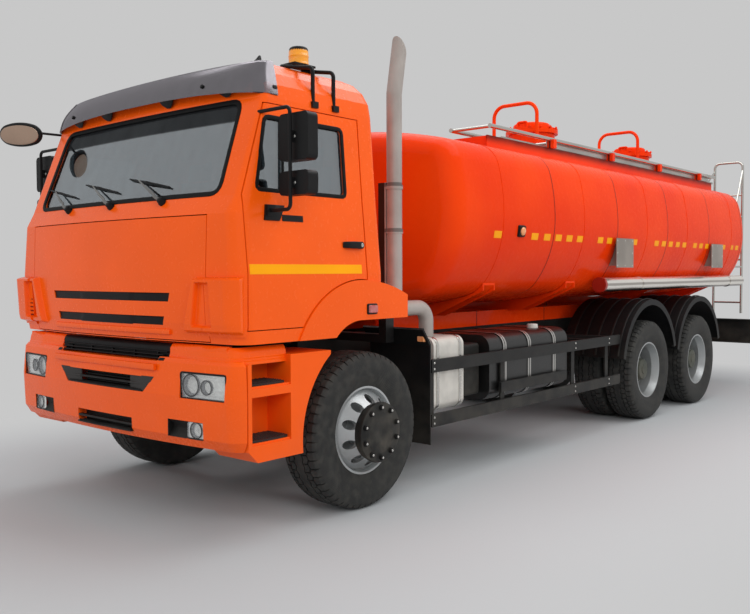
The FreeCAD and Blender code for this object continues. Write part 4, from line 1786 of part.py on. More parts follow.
def plate_holders():
    """Blank plates that stand off the tank's left side on two pads each."""
    solids = []
    for y in PLATE_YS:
        x1 = TANK_HALF + PLATE_STANDOFF
        plate = box(x1 - PLATE_THICKNESS, x1, y - PLATE_LENGTH / 2, y + PLATE_LENGTH / 2, PLATE_LOW,
                    PLATE_TOP)
        pads = [box(TANK_HALF - 2 * CHANNEL_WIDTH, x1 - PLATE_THICKNESS, y + s * PLATE_LENGTH / 4 - OVERRUN,
                    y + s * PLATE_LENGTH / 4 + OVERRUN, PLATE_LOW + 2 * OVERRUN, PLATE_TOP - 2 * OVERRUN)
                for s in (-1, 1)]
        solids.append(fuse([plate] + pads))
    return solids


def outlet(tank):
    """The discharge pipe from the tank's belly to a coupling flange at the rear."""
    outer = OUTLET_RADIUS + CLAMP_THICKNESS
    pipe = bent_rod([(OUTLET_X, OUTLET_Y, TANK_BOTTOM + OVERRUN), (OUTLET_X, OUTLET_Y, OUTLET_Z),
                     (OUTLET_X, OUTLET_END, OUTLET_Z)], outer, OUTLET_BEND)
    flange = rod((OUTLET_X, OUTLET_END - CLAMP_WIDTH, OUTLET_Z), (OUTLET_X, OUTLET_END, OUTLET_Z),
                 OUTLET_FLANGE)
    bore = rod((OUTLET_X, OUTLET_END - OUTLET_BORE_DEPTH, OUTLET_Z),
               (OUTLET_X, OUTLET_END + OVERRUN, OUTLET_Z), OUTLET_RADIUS)
    return fuse([pipe, flange]).cut([bore, tank])


def rear_bumper():
    """The underrun beam across the back, a channel on two brackets."""
    beam = box(-HALF_WIDTH + OVERRUN, HALF_WIDTH - OVERRUN, REAR_BUMPER_Y, REAR_BUMPER_Y + REAR_BUMPER_DEPTH,
               REAR_BUMPER_LOW, REAR_BUMPER_TOP)
    hollow = box(-FAR, FAR, REAR_BUMPER_Y - OVERRUN, REAR_BUMPER_Y + REAR_BUMPER_DEPTH - REAR_BUMPER_WALL,
                 REAR_BUMPER_LOW + REAR_BUMPER_WALL, REAR_BUMPER_TOP - REAR_BUMPER_WALL)
    arms = both_sides([box(RAIL_X, RAIL_X + RAIL_WEB, RAIL_REAR - CROSS_DEPTH, REAR_BUMPER_Y
                           + REAR_BUMPER_DEPTH - REAR_BUMPER_WALL, REAR_BUMPER_LOW, RAIL_LOW + CROSS_DEPTH)])
    return fuse([beam.cut(hollow)] + arms)


def rear_lamps():
    y0 = REAR_BUMPER_Y + REAR_BUMPER_DEPTH
    z0 = (REAR_BUMPER_LOW + REAR_BUMPER_TOP - REAR_LAMP_HEIGHT) / 2
    x1 = HALF_WIDTH - 4 * OVERRUN
    return both_sides([box(x1 - REAR_LAMP_WIDTH, x1, y0, y0 + REAR_LAMP_DEPTH, z0, z0 + REAR_LAMP_HEIGHT)])


def build_tank():
    tank = tank_body()
    deck = decks()
    save("tank_shell", [tank])
    cradle = tank_saddles()
    save("tank_cradle", [cradle])
    save("tank_necks", [part.cut(tank) for part in tank_necks() + neck_hoops()])
    for name, y in zip(("front", "rear"), NECK_YS):
        save("tank_lid_" + name, [tank_lid(y)])
    save("walkway_frame", walkway(tank))
    save("walkway_decks", deck)
    save("handrail", [handrail()])
    save("ladder", [ladder(tank, deck)])
    save("hose_tubes", both_sides([hose_tube().cut(cradle)]))
    save("plate_holders", [part.cut(tank) for part in plate_holders()])
    save("discharge_pipe", [outlet(tank)])
    save("rear_bumper", [rear_bumper()])


build_wheels()
build_chassis()
build_front()
build_cab()
build_middle()
build_tank()
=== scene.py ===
# %% [markdown]
# # A three-axle fuel tanker
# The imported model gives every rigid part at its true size, in metres. This lesson dresses it:
# it adds tyre tread, rubber seals, lamp insides, grilles, stripes and small fittings, and gives
# each surface a finish. The model faces -Y, its left side is +X and the ground is Z = 0.

# %% Load the frame
import math
import bmesh
import bpy
import numpy as np
from mathutils import Matrix, Vector
from mathutils.bvhtree import BVHTree


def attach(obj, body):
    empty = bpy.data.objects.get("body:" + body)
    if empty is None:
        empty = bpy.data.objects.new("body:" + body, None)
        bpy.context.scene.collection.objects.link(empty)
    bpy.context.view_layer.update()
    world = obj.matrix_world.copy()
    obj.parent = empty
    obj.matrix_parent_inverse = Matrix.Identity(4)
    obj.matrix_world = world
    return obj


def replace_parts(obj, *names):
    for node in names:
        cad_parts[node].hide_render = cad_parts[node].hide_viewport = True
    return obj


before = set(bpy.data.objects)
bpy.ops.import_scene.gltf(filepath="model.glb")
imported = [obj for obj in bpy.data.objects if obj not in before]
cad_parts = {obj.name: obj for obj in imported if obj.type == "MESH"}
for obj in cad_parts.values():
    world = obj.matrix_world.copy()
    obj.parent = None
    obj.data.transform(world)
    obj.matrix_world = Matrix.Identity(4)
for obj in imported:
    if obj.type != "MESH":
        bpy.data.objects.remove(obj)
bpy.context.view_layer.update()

# %% [markdown]
# ## The camera
# The photograph was taken from the truck's front left, a little above the bumper. A camera is
# placed by three directions at right angles: where it looks, its right and its up. A small roll
# turns the last two about the first.

# %% Camera
IMAGE_WIDTH = 750
FOCAL_PIXELS = 854.0
SENSOR = 36.0
FAR_CLIP = 300
EYE = Vector((4.952, -7.780, 1.603))
AZIMUTH, PITCH, ROLL = (math.radians(a) for a in (40.526, 2.375, -0.225))

look = Vector((-math.sin(AZIMUTH) * math.cos(PITCH), math.cos(AZIMUTH) * math.cos(PITCH),
               -math.sin(PITCH)))
level = Vector((math.cos(AZIMUTH), math.sin(AZIMUTH), 0))
above = level.cross(look)
right = level * math.cos(ROLL) + above * math.sin(ROLL)
up = above * math.cos(ROLL) - level * math.sin(ROLL)
lens = bpy.data.cameras.new("camera")
lens.sensor_width = SENSOR
lens.lens = FOCAL_PIXELS / IMAGE_WIDTH * SENSOR
lens.clip_end = FAR_CLIP
camera = bpy.data.objects.new("camera", lens)
camera.matrix_world = Matrix.Translation(EYE) @ Matrix((right, up, -look)).transposed().to_4x4()
bpy.context.scene.collection.objects.link(camera)
bpy.context.scene.camera = camera
bpy.context.scene.view_settings.view_transform = "Standard"
print("lens", round(lens.lens, 2), "mm")

# %% [markdown]
# ## Shader maths as Python
# A material is a graph of nodes. Wrapping a socket in a small class lets the graph be written as
# sums and products: each operator adds one Math node. Everything else comes from one method.

# %% Shader expressions
def linear(red, green, blue):
    """Screen values 0-255 as linear light: ((c + 0.055) / 1.055) to the power 2.4."""
    share = (np.array([red, green, blue]) / 255 + 0.055) / 1.055
    return (*(float(v) for v in share ** 2.4), 1.0)


class Flow:
    """One output socket, so that shader maths reads as an expression."""

    def __init__(self, tree, socket=None):
        self.tree = tree
        self.socket = socket

    def node(self, kind, settings=None, inputs=None, output=0):
        """A node of any kind: first its settings, then the values or links of its sockets."""
        made = self.tree.nodes.new(kind)
        for key, value in (settings or {}).items():
            setattr(made, key, value)
        for key, value in (inputs or {}).items():
            if isinstance(value, Flow):
                self.tree.links.new(value.socket, made.inputs[key])
            else:
                made.inputs[key].default_value = value
        return Flow(self.tree, made.outputs[output] if made.outputs else None)

    def math(self, operation, first, second=0.0):
        """One Math node."""
        return self.node("ShaderNodeMath", {"operation": operation}, {0: first, 1: second})

    def __add__(self, other):
        return self.math("ADD", self, other)

    def __sub__(self, other):
        return self.math("SUBTRACT", self, other)

    def __rsub__(self, other):
        return self.math("SUBTRACT", other, self)

    def __mul__(self, other):
        return self.math("MULTIPLY", self, other)

    def __pow__(self, other):
        return self.math("POWER", self, other)

    def __abs__(self):
        return self.math("ABSOLUTE", self)

    __radd__ = __add__
    __rmul__ = __mul__

    def ramp(self, low, high):
        """0 below low, 1 above high, smooth between; low may be the larger."""
        return self.node("ShaderNodeMapRange", {"interpolation_type": "SMOOTHSTEP"},
                         {"Value": self, "From Min": low, "From Max": high})

    def mix(self, first, second):
        """The first colour where this is 0, the second where it is 1."""
        return self.node("ShaderNodeMix", {"data_type": "RGBA"}, {0: self, 6: first, 7: second}, 2)

    def bump(self, distance):
        """This height, times a distance in metres, bends the surface's normal."""
        return self.node("ShaderNodeBump", {},
                         {"Height": self, "Distance": distance, "Strength": 1.0})


print("mid grey on the screen is", round(linear(128, 128, 128)[0], 3), "of full light")

# %% [markdown]
# ## Words for patterns
# Most finishes are built from the same few things: where a point lies on the part, soft noise,
# and masks that are 1 near some line. Object coordinates are used, because they are metres that
# turn with the part when a door or a wheel moves.

# %% Patterns
FINISHES = {}


def new_finish(name):
    """An empty material under its name, the pen that adds its nodes, and the point's place."""
    material = bpy.data.materials.new(name)
    material.use_nodes = True
    material.node_tree.nodes.clear()
    FINISHES[name] = material
    pen = Flow(material.node_tree)
    return pen, pen.node("ShaderNodeTexCoord", output=3)


def close_finish(pen, sockets):
    """Ends a material with a Principled shader that has these sockets set or linked."""
    shader = pen.node("ShaderNodeBsdfPrincipled", {}, sockets)
    pen.node("ShaderNodeOutputMaterial", {}, {"Surface": shader})


def axis_of(place, axis):
    """One coordinate of a place."""
    return place.node("ShaderNodeSeparateXYZ", {}, {0: place}, "XYZ".index(axis))


def noise(place, scale, detail=2.0):
    """Soft random values about 0.5; the scale counts blotches in a metre."""
    return place.node("ShaderNodeTexNoise", {}, {"Vector": place, "Scale": scale, "Detail": detail})


def stretched(place, sizes):
    """The place times a size along each axis, which draws a pattern out or packs it."""
    return place.node("ShaderNodeVectorMath", {"operation": "MULTIPLY"}, {0: place, 1: sizes})


def clouded(place, scale, detail, first, second):
    """Noise blends two tints: the first where it is below 0.3, the second above 0.7."""
    return noise(place, scale, detail).ramp(0.3, 0.7).mix(first, second)


def near(value, middles, inner, outer):
    """1 within the inner distance of any middle, 0 beyond the outer distance."""
    return sum(1.0 - abs(value - middle).ramp(inner, outer) for middle in middles)


def times(colour, factor):
    """A colour's three shares times a factor, none above 1."""
    return tuple(min(1.0, c * factor) for c in colour[:3]) + (1.0,)


print("pattern words", 6)

# %% [markdown]
# ## Floor, background and light
# A studio picture of a vehicle has one even grey behind it and a soft shadow below. The floor is
# a real surface near the truck, so it keeps the shadow, and fades to the flat background grey
# further out. The world shows that grey to the camera and in reflections, and lights the scene
# softly. One long lamp hangs overhead and three stand on the camera's side. Only the one overhead
# is mirrored in the paint, because the others' images would blot out the side glass.

# %% Floor
BACKDROP = linear(200, 200, 200)
FLOOR_GREY = linear(190, 193, 195)
FLOOR_REACH, FLOOR_SIDES, FLOOR_DROP = 90.0, 96, 0.001
NEAR_HALF_WIDTH, NEAR_HALF_LENGTH = 1.6, 4.9
FADE_FROM, FADE_TO = 0.5, 2.6


def beyond(value, limit):
    """How far a coordinate lies outside plus or minus the limit, and 0 inside."""
    return value.math("MAXIMUM", abs(value) - limit, 0.0)


def studio_floor():
    """A matt floor that turns to plain backdrop light with the distance from the truck's box."""
    pen, place = new_finish("studio_floor")
    beside = beyond(axis_of(place, "X"), NEAR_HALF_WIDTH)
    ahead = beyond(axis_of(place, "Y"), NEAR_HALF_LENGTH)
    away = (beside ** 2 + ahead ** 2) ** 0.5
    soft = pen.node("ShaderNodeBsdfDiffuse", {}, {"Color": FLOOR_GREY})
    glow = pen.node("ShaderNodeEmission", {}, {"Color": BACKDROP})
    blend = pen.node("ShaderNodeMixShader", {}, {0: away.ramp(FADE_FROM, FADE_TO), 1: soft, 2: glow})
    pen.node("ShaderNodeOutputMaterial", {}, {"Surface": blend})


studio_floor()
floor_mesh = bpy.data.meshes.new("floor")
turn = np.linspace(0, 2 * math.pi, FLOOR_SIDES, endpoint=False)
ring = np.stack([FLOOR_REACH * np.cos(turn), FLOOR_REACH * np.sin(turn), 0 * turn - FLOOR_DROP], axis=1)
floor_mesh.from_pydata(ring.tolist(), [], [list(range(FLOOR_SIDES))])
floor_mesh.materials.append(FINISHES["studio_floor"])
floor = bpy.data.objects.new("floor", floor_mesh)
bpy.context.scene.collection.objects.link(floor)
print("floor radius", FLOOR_REACH)

# %% World and lamps
AMBIENT = 0.50
CAMERA_RAY, GLOSSY_RAY, TRANSMISSION_RAY = 0, 3, 6

world = bpy.data.worlds.new("studio")
bpy.context.scene.world = world
world.use_nodes = True
world.node_tree.nodes.clear()
sky = Flow(world.node_tree)
shown = sum(sky.node("ShaderNodeLightPath", output=k) for k in (CAMERA_RAY, GLOSSY_RAY, TRANSMISSION_RAY))
ambient = sky.node("ShaderNodeBackground", {}, {"Color": (1, 1, 1, 1), "Strength": AMBIENT})
seen = sky.node("ShaderNodeBackground", {}, {"Color": BACKDROP, "Strength": 1.0})
both = sky.node("ShaderNodeMixShader", {}, {0: shown.ramp(0.0, 1.0), 1: ambient, 2: seen})
sky.node("ShaderNodeOutputWorld", {}, {"Surface": both})

# Name, place, aim, size in metres, power in watts, mirrored or not.
LAMPS = [("overhead", (0.5, 0.5, 8.5), (0, 0.5, 0), (7, 14), 600, True),
         ("front_left", (9.5, -9.0, 6.0), (0, -1.0, 1.4), (7, 5), 420, False),
         ("front", (-3.0, -13.0, 5.0), (0, -3.0, 1.6), (6, 4), 200, False),
         ("side", (10.5, 3.5, 5.0), (0, 2.5, 1.8), (8, 4), 240, False)]
for name, place, aim, size, power, mirrored in LAMPS:
    light = bpy.data.lights.new(name, "AREA")
    light.shape = "RECTANGLE"
    light.size, light.size_y = size
    light.energy = power
    lamp = bpy.data.objects.new(name, light)
    lamp.location = place
    lamp.rotation_euler = (Vector(aim) - Vector(place)).to_track_quat("-Z", "Y").to_euler()
    lamp.visible_glossy = mirrored
    bpy.context.scene.collection.objects.link(lamp)
print("lights", len(LAMPS))

# %% [markdown]
# ## Painted and plain finishes
# Real paint is never one flat colour: it varies a little, has a fine orange-peel surface under a
# clear coat, and gathers road dust low down. One recipe with different numbers serves every
# painted, moulded or cast part, and the special finishes follow it.

# %% Painted finishes
ROAD_DUST = linear(150, 142, 128)
COAT_ROUGHNESS = 0.06


def plain_finish(name, colour, roughness, metallic=0.0, grain=400.0, depth=0.0002, shift=0.12, dust=0.25,
                 coat=0.0, shine=0.5, glow=0.0):
    """Base colour times slow noise, dust where height is low and noise is high, fine bump."""
    pen, place = new_finish(name)
    tint = clouded(place, 2.2, 4.0, times(colour, 1 - shift), times(colour, 1 + shift))
    film = axis_of(place, "Z").ramp(1.2, 0.0) * noise(place, 7.0, 6.0).ramp(0.3, 0.75) * dust
    tint = film.mix(tint, ROAD_DUST)
    rough = film * 0.5 + noise(place, 35.0) * 0.1 + (roughness - 0.05)
    close_finish(pen, {"Base Color": tint, "Roughness": rough, "Metallic": metallic,
                       "Coat Weight": coat, "Coat Roughness": COAT_ROUGHNESS,
                       "Specular IOR Level": shine, "Emission Color": tint, "Emission Strength": glow,
                       "Normal": noise(place, grain, 3.0).bump(depth)})


ORANGE = linear(247, 92, 12)
plain_finish("cab_orange", ORANGE, 0.26, grain=90, depth=0.000006, shift=0.03, dust=0.06, coat=0.10,
             shine=0.22)
plain_finish("step_orange", ORANGE, 0.36, grain=90, depth=0.00001, shift=0.03, dust=0.08, shine=0.22)
plain_finish("frame_dark", linear(26, 26, 25), 0.55, depth=0.0003, shift=0.25, dust=0.25, shine=0.3)
plain_finish("rail_black", linear(28, 28, 28), 0.5, depth=0.0003, shift=0.2, dust=0.15, shine=0.3)
plain_finish("vent_red", linear(112, 16, 8), 0.5, grain=700, shift=0.15, dust=0.0, shine=0.2)
plain_finish("plate_white", linear(142, 134, 126), 0.45, 0.2, grain=300, depth=0.0003, shift=0.2)
plain_finish("tape_yellow", linear(252, 166, 6), 0.45, grain=2500, shift=0.04, dust=0.0, shine=0.15)
print("painted finishes", len(FINISHES) - 1)

# %% Metal finishes
plain_finish("wheel_silver", linear(186, 189, 190), 0.36, 0.75, grain=900, dust=0.25)
plain_finish("cast_dark", linear(52, 50, 48), 0.6, 0.5, grain=500, depth=0.0006, shift=0.3, dust=0.5)
plain_finish("bright_steel", linear(198, 196, 190), 0.22, 0.95, grain=900, depth=0.00006, shift=0.06)
plain_finish("grating_steel", linear(190, 190, 184), 0.35, 0.8, grain=600, shift=0.1)
plain_finish("bolt_steel", linear(205, 203, 198), 0.25, 0.9, grain=900, depth=0.00005)
plain_finish("hub_black", linear(26, 26, 25), 0.5, 0.3, grain=700, depth=0.0003, shift=0.25, dust=0.35)
plain_finish("hub_iron", linear(74, 78, 70), 0.55, 0.4, grain=500, depth=0.0005, shift=0.3, dust=0.4)
plain_finish("tread_iron", linear(40, 30, 28), 0.55, 0.2, grain=500, depth=0.0008, shift=0.4, dust=0.15)
plain_finish("wiper_grey", linear(120, 120, 118), 0.4, 0.5, grain=900, depth=0.0001, dust=0.1)
plain_finish("mirror_silver", linear(215, 220, 224), 0.03, 1.0, grain=30, depth=0.00002, shift=0.02,
             dust=0.0)
plain_finish("mirror_bronze", linear(176, 150, 132), 0.08, 0.8, grain=30, depth=0.00002, shift=0.1,
             dust=0.0)
# The lamp reflectors glow a little, though no lamp is lit: painted light.
plain_finish("lamp_silver", linear(246, 245, 240), 0.3, 0.15, grain=160, depth=0.0003, shift=0.10,
             dust=0.0, glow=0.16)
print("with the metals", len(FINISHES) - 1)

# %% Moulded finishes
plain_finish("black_plastic", linear(16, 16, 17), 0.5, grain=1500, depth=0.0004, dust=0.12, shine=0.25)
plain_finish("rubber_black", linear(12, 12, 13), 0.6, grain=1200, depth=0.0003, dust=0.1, shine=0.2)
plain_finish("louvre_black", linear(22, 20, 21), 0.4, grain=900, depth=0.0003, shift=0.2, dust=0.0,
             shine=0.12)
plain_finish("cheek_grey", linear(58, 56, 55), 0.5, grain=1200, depth=0.0004, dust=0.0, shine=0.15)
plain_finish("guard_black", linear(20, 20, 20), 0.5, grain=900, depth=0.0003, shift=0.2, dust=0.3)
plain_finish("cap_white", linear(214, 212, 206), 0.45, grain=600, shift=0.05, dust=0.2)
plain_finish("beacon_amber", linear(255, 164, 20), 0.14, grain=60, depth=0.0006, shift=0.10, dust=0.0,
             coat=1.0)
print("with the mouldings", len(FINISHES) - 1)

# %% [markdown]
# ## The tank's red
# The barrel is rolled from plates welded ring to ring, so its gloss wavers from plate to plate.
# A slow bump bends the reflections, and a thin ridge follows each faint weld between the bands.

# %% Tank finish
WELDS = [-0.940, 0.350, 1.640, 2.950, 4.170]


def tank_finish():
    """Red in soft clouds; height = slow waves + weld ridges + fine grain."""
    pen, place = new_finish("tank_red")
    ridge = near(axis_of(place, "Y"), WELDS, 0.003, 0.011)
    waves = noise(stretched(place, (1.0, 0.55, 1.0)), 1.1, 1.0)
    tint = clouded(place, 0.9, 3.0, linear(230, 54, 6), linear(243, 68, 10))
    tint = (ridge * 0.85).mix(tint, linear(104, 20, 8))
    height = waves * 0.006 + ridge * 0.0025 + noise(place, 240.0) * 0.00002
    close_finish(pen, {"Base Color": tint, "Roughness": noise(place, 20.0) * 0.06 + 0.24,
                       "Coat Weight": 0.12, "Coat Roughness": 0.03, "Specular IOR Level": 0.03,
                       "Normal": height.bump(1.0)})


tank_finish()
print("welds at", WELDS)

# %% [markdown]
# ## Glass and lenses
# Window glass is a thin sheet: mostly see-through, with more reflection at grazing angles. A
# Fresnel factor between a transparent and a glossy shader does that without slow refraction. A
# dark grey band along the top of the windows, mixed in by height, is a painted reflection of the
# visor's dark underside. A moulded lens is a partly see-through plastic whose ribs are a bump.

# %% Glass and lens finishes
# Heights of the painted reflection of the visor's dark underside on the glass.
PAINTED_VISOR_START, PAINTED_VISOR_FULL, PAINTED_VISOR_END = 2.500, 2.512, 2.516
PAINTED_VISOR_GREY = linear(40, 42, 44)


def glass_finish(name, clear, gloss, share, roughness, band=0.0):
    """Transparent tint mixed with gloss by share plus Fresnel; banded, a painted visor reflection at top."""
    pen, place = new_finish(name)
    streaks = noise(stretched(place, (6.0, 6.0, 1.5)), 3.0, 4.0)
    edge = pen.node("ShaderNodeFresnel", {}, {"IOR": 1.5})
    seen_through = pen.node("ShaderNodeBsdfTransparent", {}, {"Color": clear})
    shine = pen.node("ShaderNodeBsdfAnisotropic", {}, {"Color": gloss, "Roughness": roughness})
    height = axis_of(place, "Z")
    factor = edge * 0.6 + streaks * 0.10 + share - height.ramp(PAINTED_VISOR_START, PAINTED_VISOR_END) * band
    blend = pen.node("ShaderNodeMixShader", {}, {0: factor, 1: seen_through, 2: shine})
    # Along the top a dark grey sheet is mixed in: painted reflection of the visor's underside.
    if band:
        painted_visor_sheet = pen.node("ShaderNodeBsdfDiffuse", {}, {"Color": PAINTED_VISOR_GREY})
        strip = height.ramp(PAINTED_VISOR_START, PAINTED_VISOR_FULL) * (0.55 + noise(place, 3.0) * 0.3)
        blend = pen.node("ShaderNodeMixShader", {}, {0: strip, 1: blend, 2: painted_visor_sheet})
    pen.node("ShaderNodeOutputMaterial", {}, {"Surface": blend})


def bands(place, axis, scale):
    """Upright waves along one axis, from 0 to 1."""
    return place.node("ShaderNodeTexWave", {"bands_direction": axis}, {"Vector": place, "Scale": scale}, 1)


def lens_finish(name, colour, roughness, ridges):
    """Moulded lamp lens: ridged bump over a partly see-through plastic."""
    pen, place = new_finish(name)
    tint = (noise(place, 30.0) * 0.3).mix(colour, (1, 1, 1, 1))
    close_finish(pen, {"Base Color": tint, "Roughness": roughness, "Alpha": 0.85,
                       "Coat Weight": 1.0, "Normal": bands(place, "X", ridges).bump(0.0008)})


glass_finish("clear_glass", linear(214, 220, 222), linear(232, 238, 242), 0.27, 0.02, 0.27)
glass_finish("visor_smoke", linear(176, 170, 172), linear(186, 182, 188), 0.36, 0.20)
glass_finish("lamp_clear", linear(255, 255, 255), linear(230, 232, 234), 0.0, 0.02)
lens_finish("lamp_lens", linear(206, 204, 198), 0.12, 40.0)
lens_finish("amber_lens", linear(255, 150, 20), 0.15, 60.0)
lens_finish("red_lens", linear(190, 20, 14), 0.15, 50.0)
print("glass from Z", PAINTED_VISOR_START, "up is dark")

# %% [markdown]
# ## Cloth and brushed metal
# Seat cloth shows its threads close up, so two sets of bands cross in colour and in bump. The
# silencer's skin was brushed in one direction: its noise is packed along Z and drawn out across.

# %% Cloth and brushed finishes
def weave_finish(name, colour, scale):
    """Two crossing bands give over-and-under threads."""
    pen, place = new_finish(name)
    threads = bands(place, "X", scale) * bands(place, "Z", scale)
    close_finish(pen, {"Base Color": threads.mix(times(colour, 0.6), colour), "Roughness": 0.9,
                       "Normal": threads.bump(0.001)})


def brushed_finish(name, colour, roughness, lines, metallic):
    """Fine scratches drawn out along one axis by unequal scaling of the noise."""
    pen, place = new_finish(name)
    brush = noise(stretched(place, lines), 1.0, 2.0)
    cloud = noise(place, 6.0, 4.0)
    tint = cloud.ramp(0.3, 0.7).mix(times(colour, 0.8), colour)
    close_finish(pen, {"Base Color": tint, "Roughness": brush * 0.2 + cloud * 0.1 + (roughness - 0.1),
                       "Metallic": metallic, "Normal": brush.bump(0.0002)})


weave_finish("seat_cloth", linear(96, 98, 104), 120.0)
brushed_finish("silencer_skin", linear(222, 218, 210), 0.42, (40.0, 40.0, 300.0), 0.35)
print("finishes", len(FINISHES) - 1)

# %% [markdown]
# ## Pipes and tanks along the side
# Some parts carry more than one finish on one mesh: the hose tube has a red cap, the stack has
# clamps and a black channel behind it, and the fuel tank has bright straps. A mask over the
# place along the truck picks the finish, with edges a millimetre soft.

# %% Hose tube finish
TUBE_CAP_END = 0.1604


def hose_finish():
    """Bright tube with a painted reflection in bands by height: dark, light, brown, light."""
    pen, place = new_finish("hose_steel")
    height = axis_of(place, "Z") + noise(place, 1.5) * 0.008 - 0.004
    # Painted reflection: ground and sky in dark and light bands, in the base colour.
    painted_reflection = height.ramp(1.404, 1.424) - (height.ramp(1.446, 1.456) - height.ramp(1.472, 1.484)) * 0.6
    tint = painted_reflection.mix(linear(84, 70, 64), linear(240, 236, 228))
    cap = axis_of(place, "Y").ramp(TUBE_CAP_END + 0.0008, TUBE_CAP_END)
    close_finish(pen, {"Base Color": cap.mix(tint, linear(150, 34, 24)), "Metallic": (1.0 - cap) * 0.75,
                       "Roughness": noise(place, 30.0) * 0.1 + 0.14,
                       "Normal": noise(place, 400.0).bump(0.00004)})


hose_finish()
print("tube cap ends at Y", TUBE_CAP_END)

# %% Walkway side finish
PLATE_INNER, PLATE_OUTER, PLATE_LOW, PLATE_TOP = 0.780, 0.8075, 2.715, 2.800


def deck_frame_finish():
    """The tank's red; the upright plate under the walkway is darker from its top edge down: painted shade."""
    pen, place = new_finish("deck_red")
    across_x, height = abs(axis_of(place, "X")), axis_of(place, "Z")
    plate = across_x.ramp(PLATE_INNER, PLATE_INNER + 0.010) * across_x.ramp(PLATE_OUTER, PLATE_OUTER - 0.001)
    # Painted shade under the grating, strongest at the plate's top edge.
    painted_shade = plate * height.ramp(PLATE_LOW, PLATE_TOP) * (0.65 + noise(place, 6.0, 4.0) * 0.4)
    red = clouded(place, 0.9, 3.0, linear(222, 48, 8), linear(238, 64, 12))
    close_finish(pen, {"Base Color": painted_shade.mix(red, linear(46, 14, 10)), "Specular IOR Level": 0.1,
                       "Roughness": noise(place, 20.0) * 0.1 + 0.32,
                       "Normal": noise(place, 240.0).bump(0.00004)})


deck_frame_finish()
print("painted shade on plate from Z", PLATE_LOW, "to", PLATE_TOP)

# %% Exhaust stack finish
STACK_CLAMPS = (2.234, 1.903)
CHANNEL_X, BRACKET_TOP, BRACKET_Y = 0.9428, 1.263, -2.700


def stack_finish():
    """Grey painted pipe; black where the channel stands inboard of it; dark where a clamp is."""
    pen, place = new_finish("stack_steel")
    height = axis_of(place, "Z")
    clamps = near(height, STACK_CLAMPS, 0.013, 0.015)
    bracket = height.ramp(BRACKET_TOP, BRACKET_TOP - 0.003) * axis_of(place, "Y").ramp(BRACKET_Y,
                                                                                       BRACKET_Y - 0.005)
    pipe = axis_of(place, "X").ramp(CHANNEL_X, CHANNEL_X + 0.0006) * (1.0 - bracket)
    tint = clouded(place, 5.0, 4.0, linear(160, 152, 146), linear(176, 168, 162))
    tint = (clamps * 0.7).mix(tint, linear(70, 66, 64))
    close_finish(pen, {"Base Color": pipe.mix(linear(18, 18, 18), tint), "Metallic": pipe * 0.25,
                       "Roughness": noise(place, 40.0) * 0.1 + 0.38,
                       "Normal": noise(place, 500.0).bump(0.0001)})


stack_finish()
print("stack clamps at Z", STACK_CLAMPS)

# %% Fuel tank finish
FUEL_STRAPS = (-1.670, -1.270, -0.830)


def fuel_tank_finish():
    """Black tank wall with two bright lines 16 mm either side of each strap's middle."""
    pen, place = new_finish("fuel_aluminium")
    along = axis_of(place, "Y")
    strap = sum(1.0 - abs(abs(along - middle) - 0.016).ramp(0.0095, 0.0105) for middle in FUEL_STRAPS)
    close_finish(pen, {"Base Color": strap.mix(linear(20, 20, 20), linear(190, 188, 184)),
                       "Roughness": noise(place, 60.0) * 0.2 + 0.3, "Metallic": strap * 0.9,
                       "Coat Weight": 0.2, "Normal": noise(place, 300.0).bump(0.0002)})


fuel_tank_finish()
print("fuel tank straps at Y", FUEL_STRAPS)

# %% [markdown]
# ## Rubber that knows its tread
# A tyre's grooves are darker, as painted shade, and its wall has fine rings. The tyre's mesh will
# carry two values at each point, how deep in a groove it is and how far out, and the rubber reads both.

# %% Tyre finish
def tyre_finish():
    """Rubber from the tread's own depth and radius attributes: painted shade in grooves, rings on the wall.
    """
    pen, place = new_finish("tyre_rubber")
    depth = pen.node("ShaderNodeAttribute", {"attribute_name": "groove"}, output=2)
    out = pen.node("ShaderNodeAttribute", {"attribute_name": "outness"}, output=2)
    rings = pen.math("SINE", out * 420.0)
    worn = noise(place, 16.0, 5.0).ramp(0.35, 0.7)
    tint = worn.mix(linear(36, 36, 35), linear(58, 57, 54))
    # Painted shade: the grooves are darker than the rubber.
    tint = (depth * 0.55).mix(tint, linear(24, 24, 23))
    height = rings * out.ramp(0.93, 0.88) * 0.0006 + noise(place, 500.0) * 0.0004
    close_finish(pen, {"Base Color": tint, "Roughness": worn * 0.15 + 0.68, "Normal": height.bump(1.0)})


tyre_finish()
print("finishes", sorted(FINISHES))

# %% [markdown]
# ## Finishes for the rigid parts
# Each CAD part keeps its shape and gets the finish of the real one, by name.

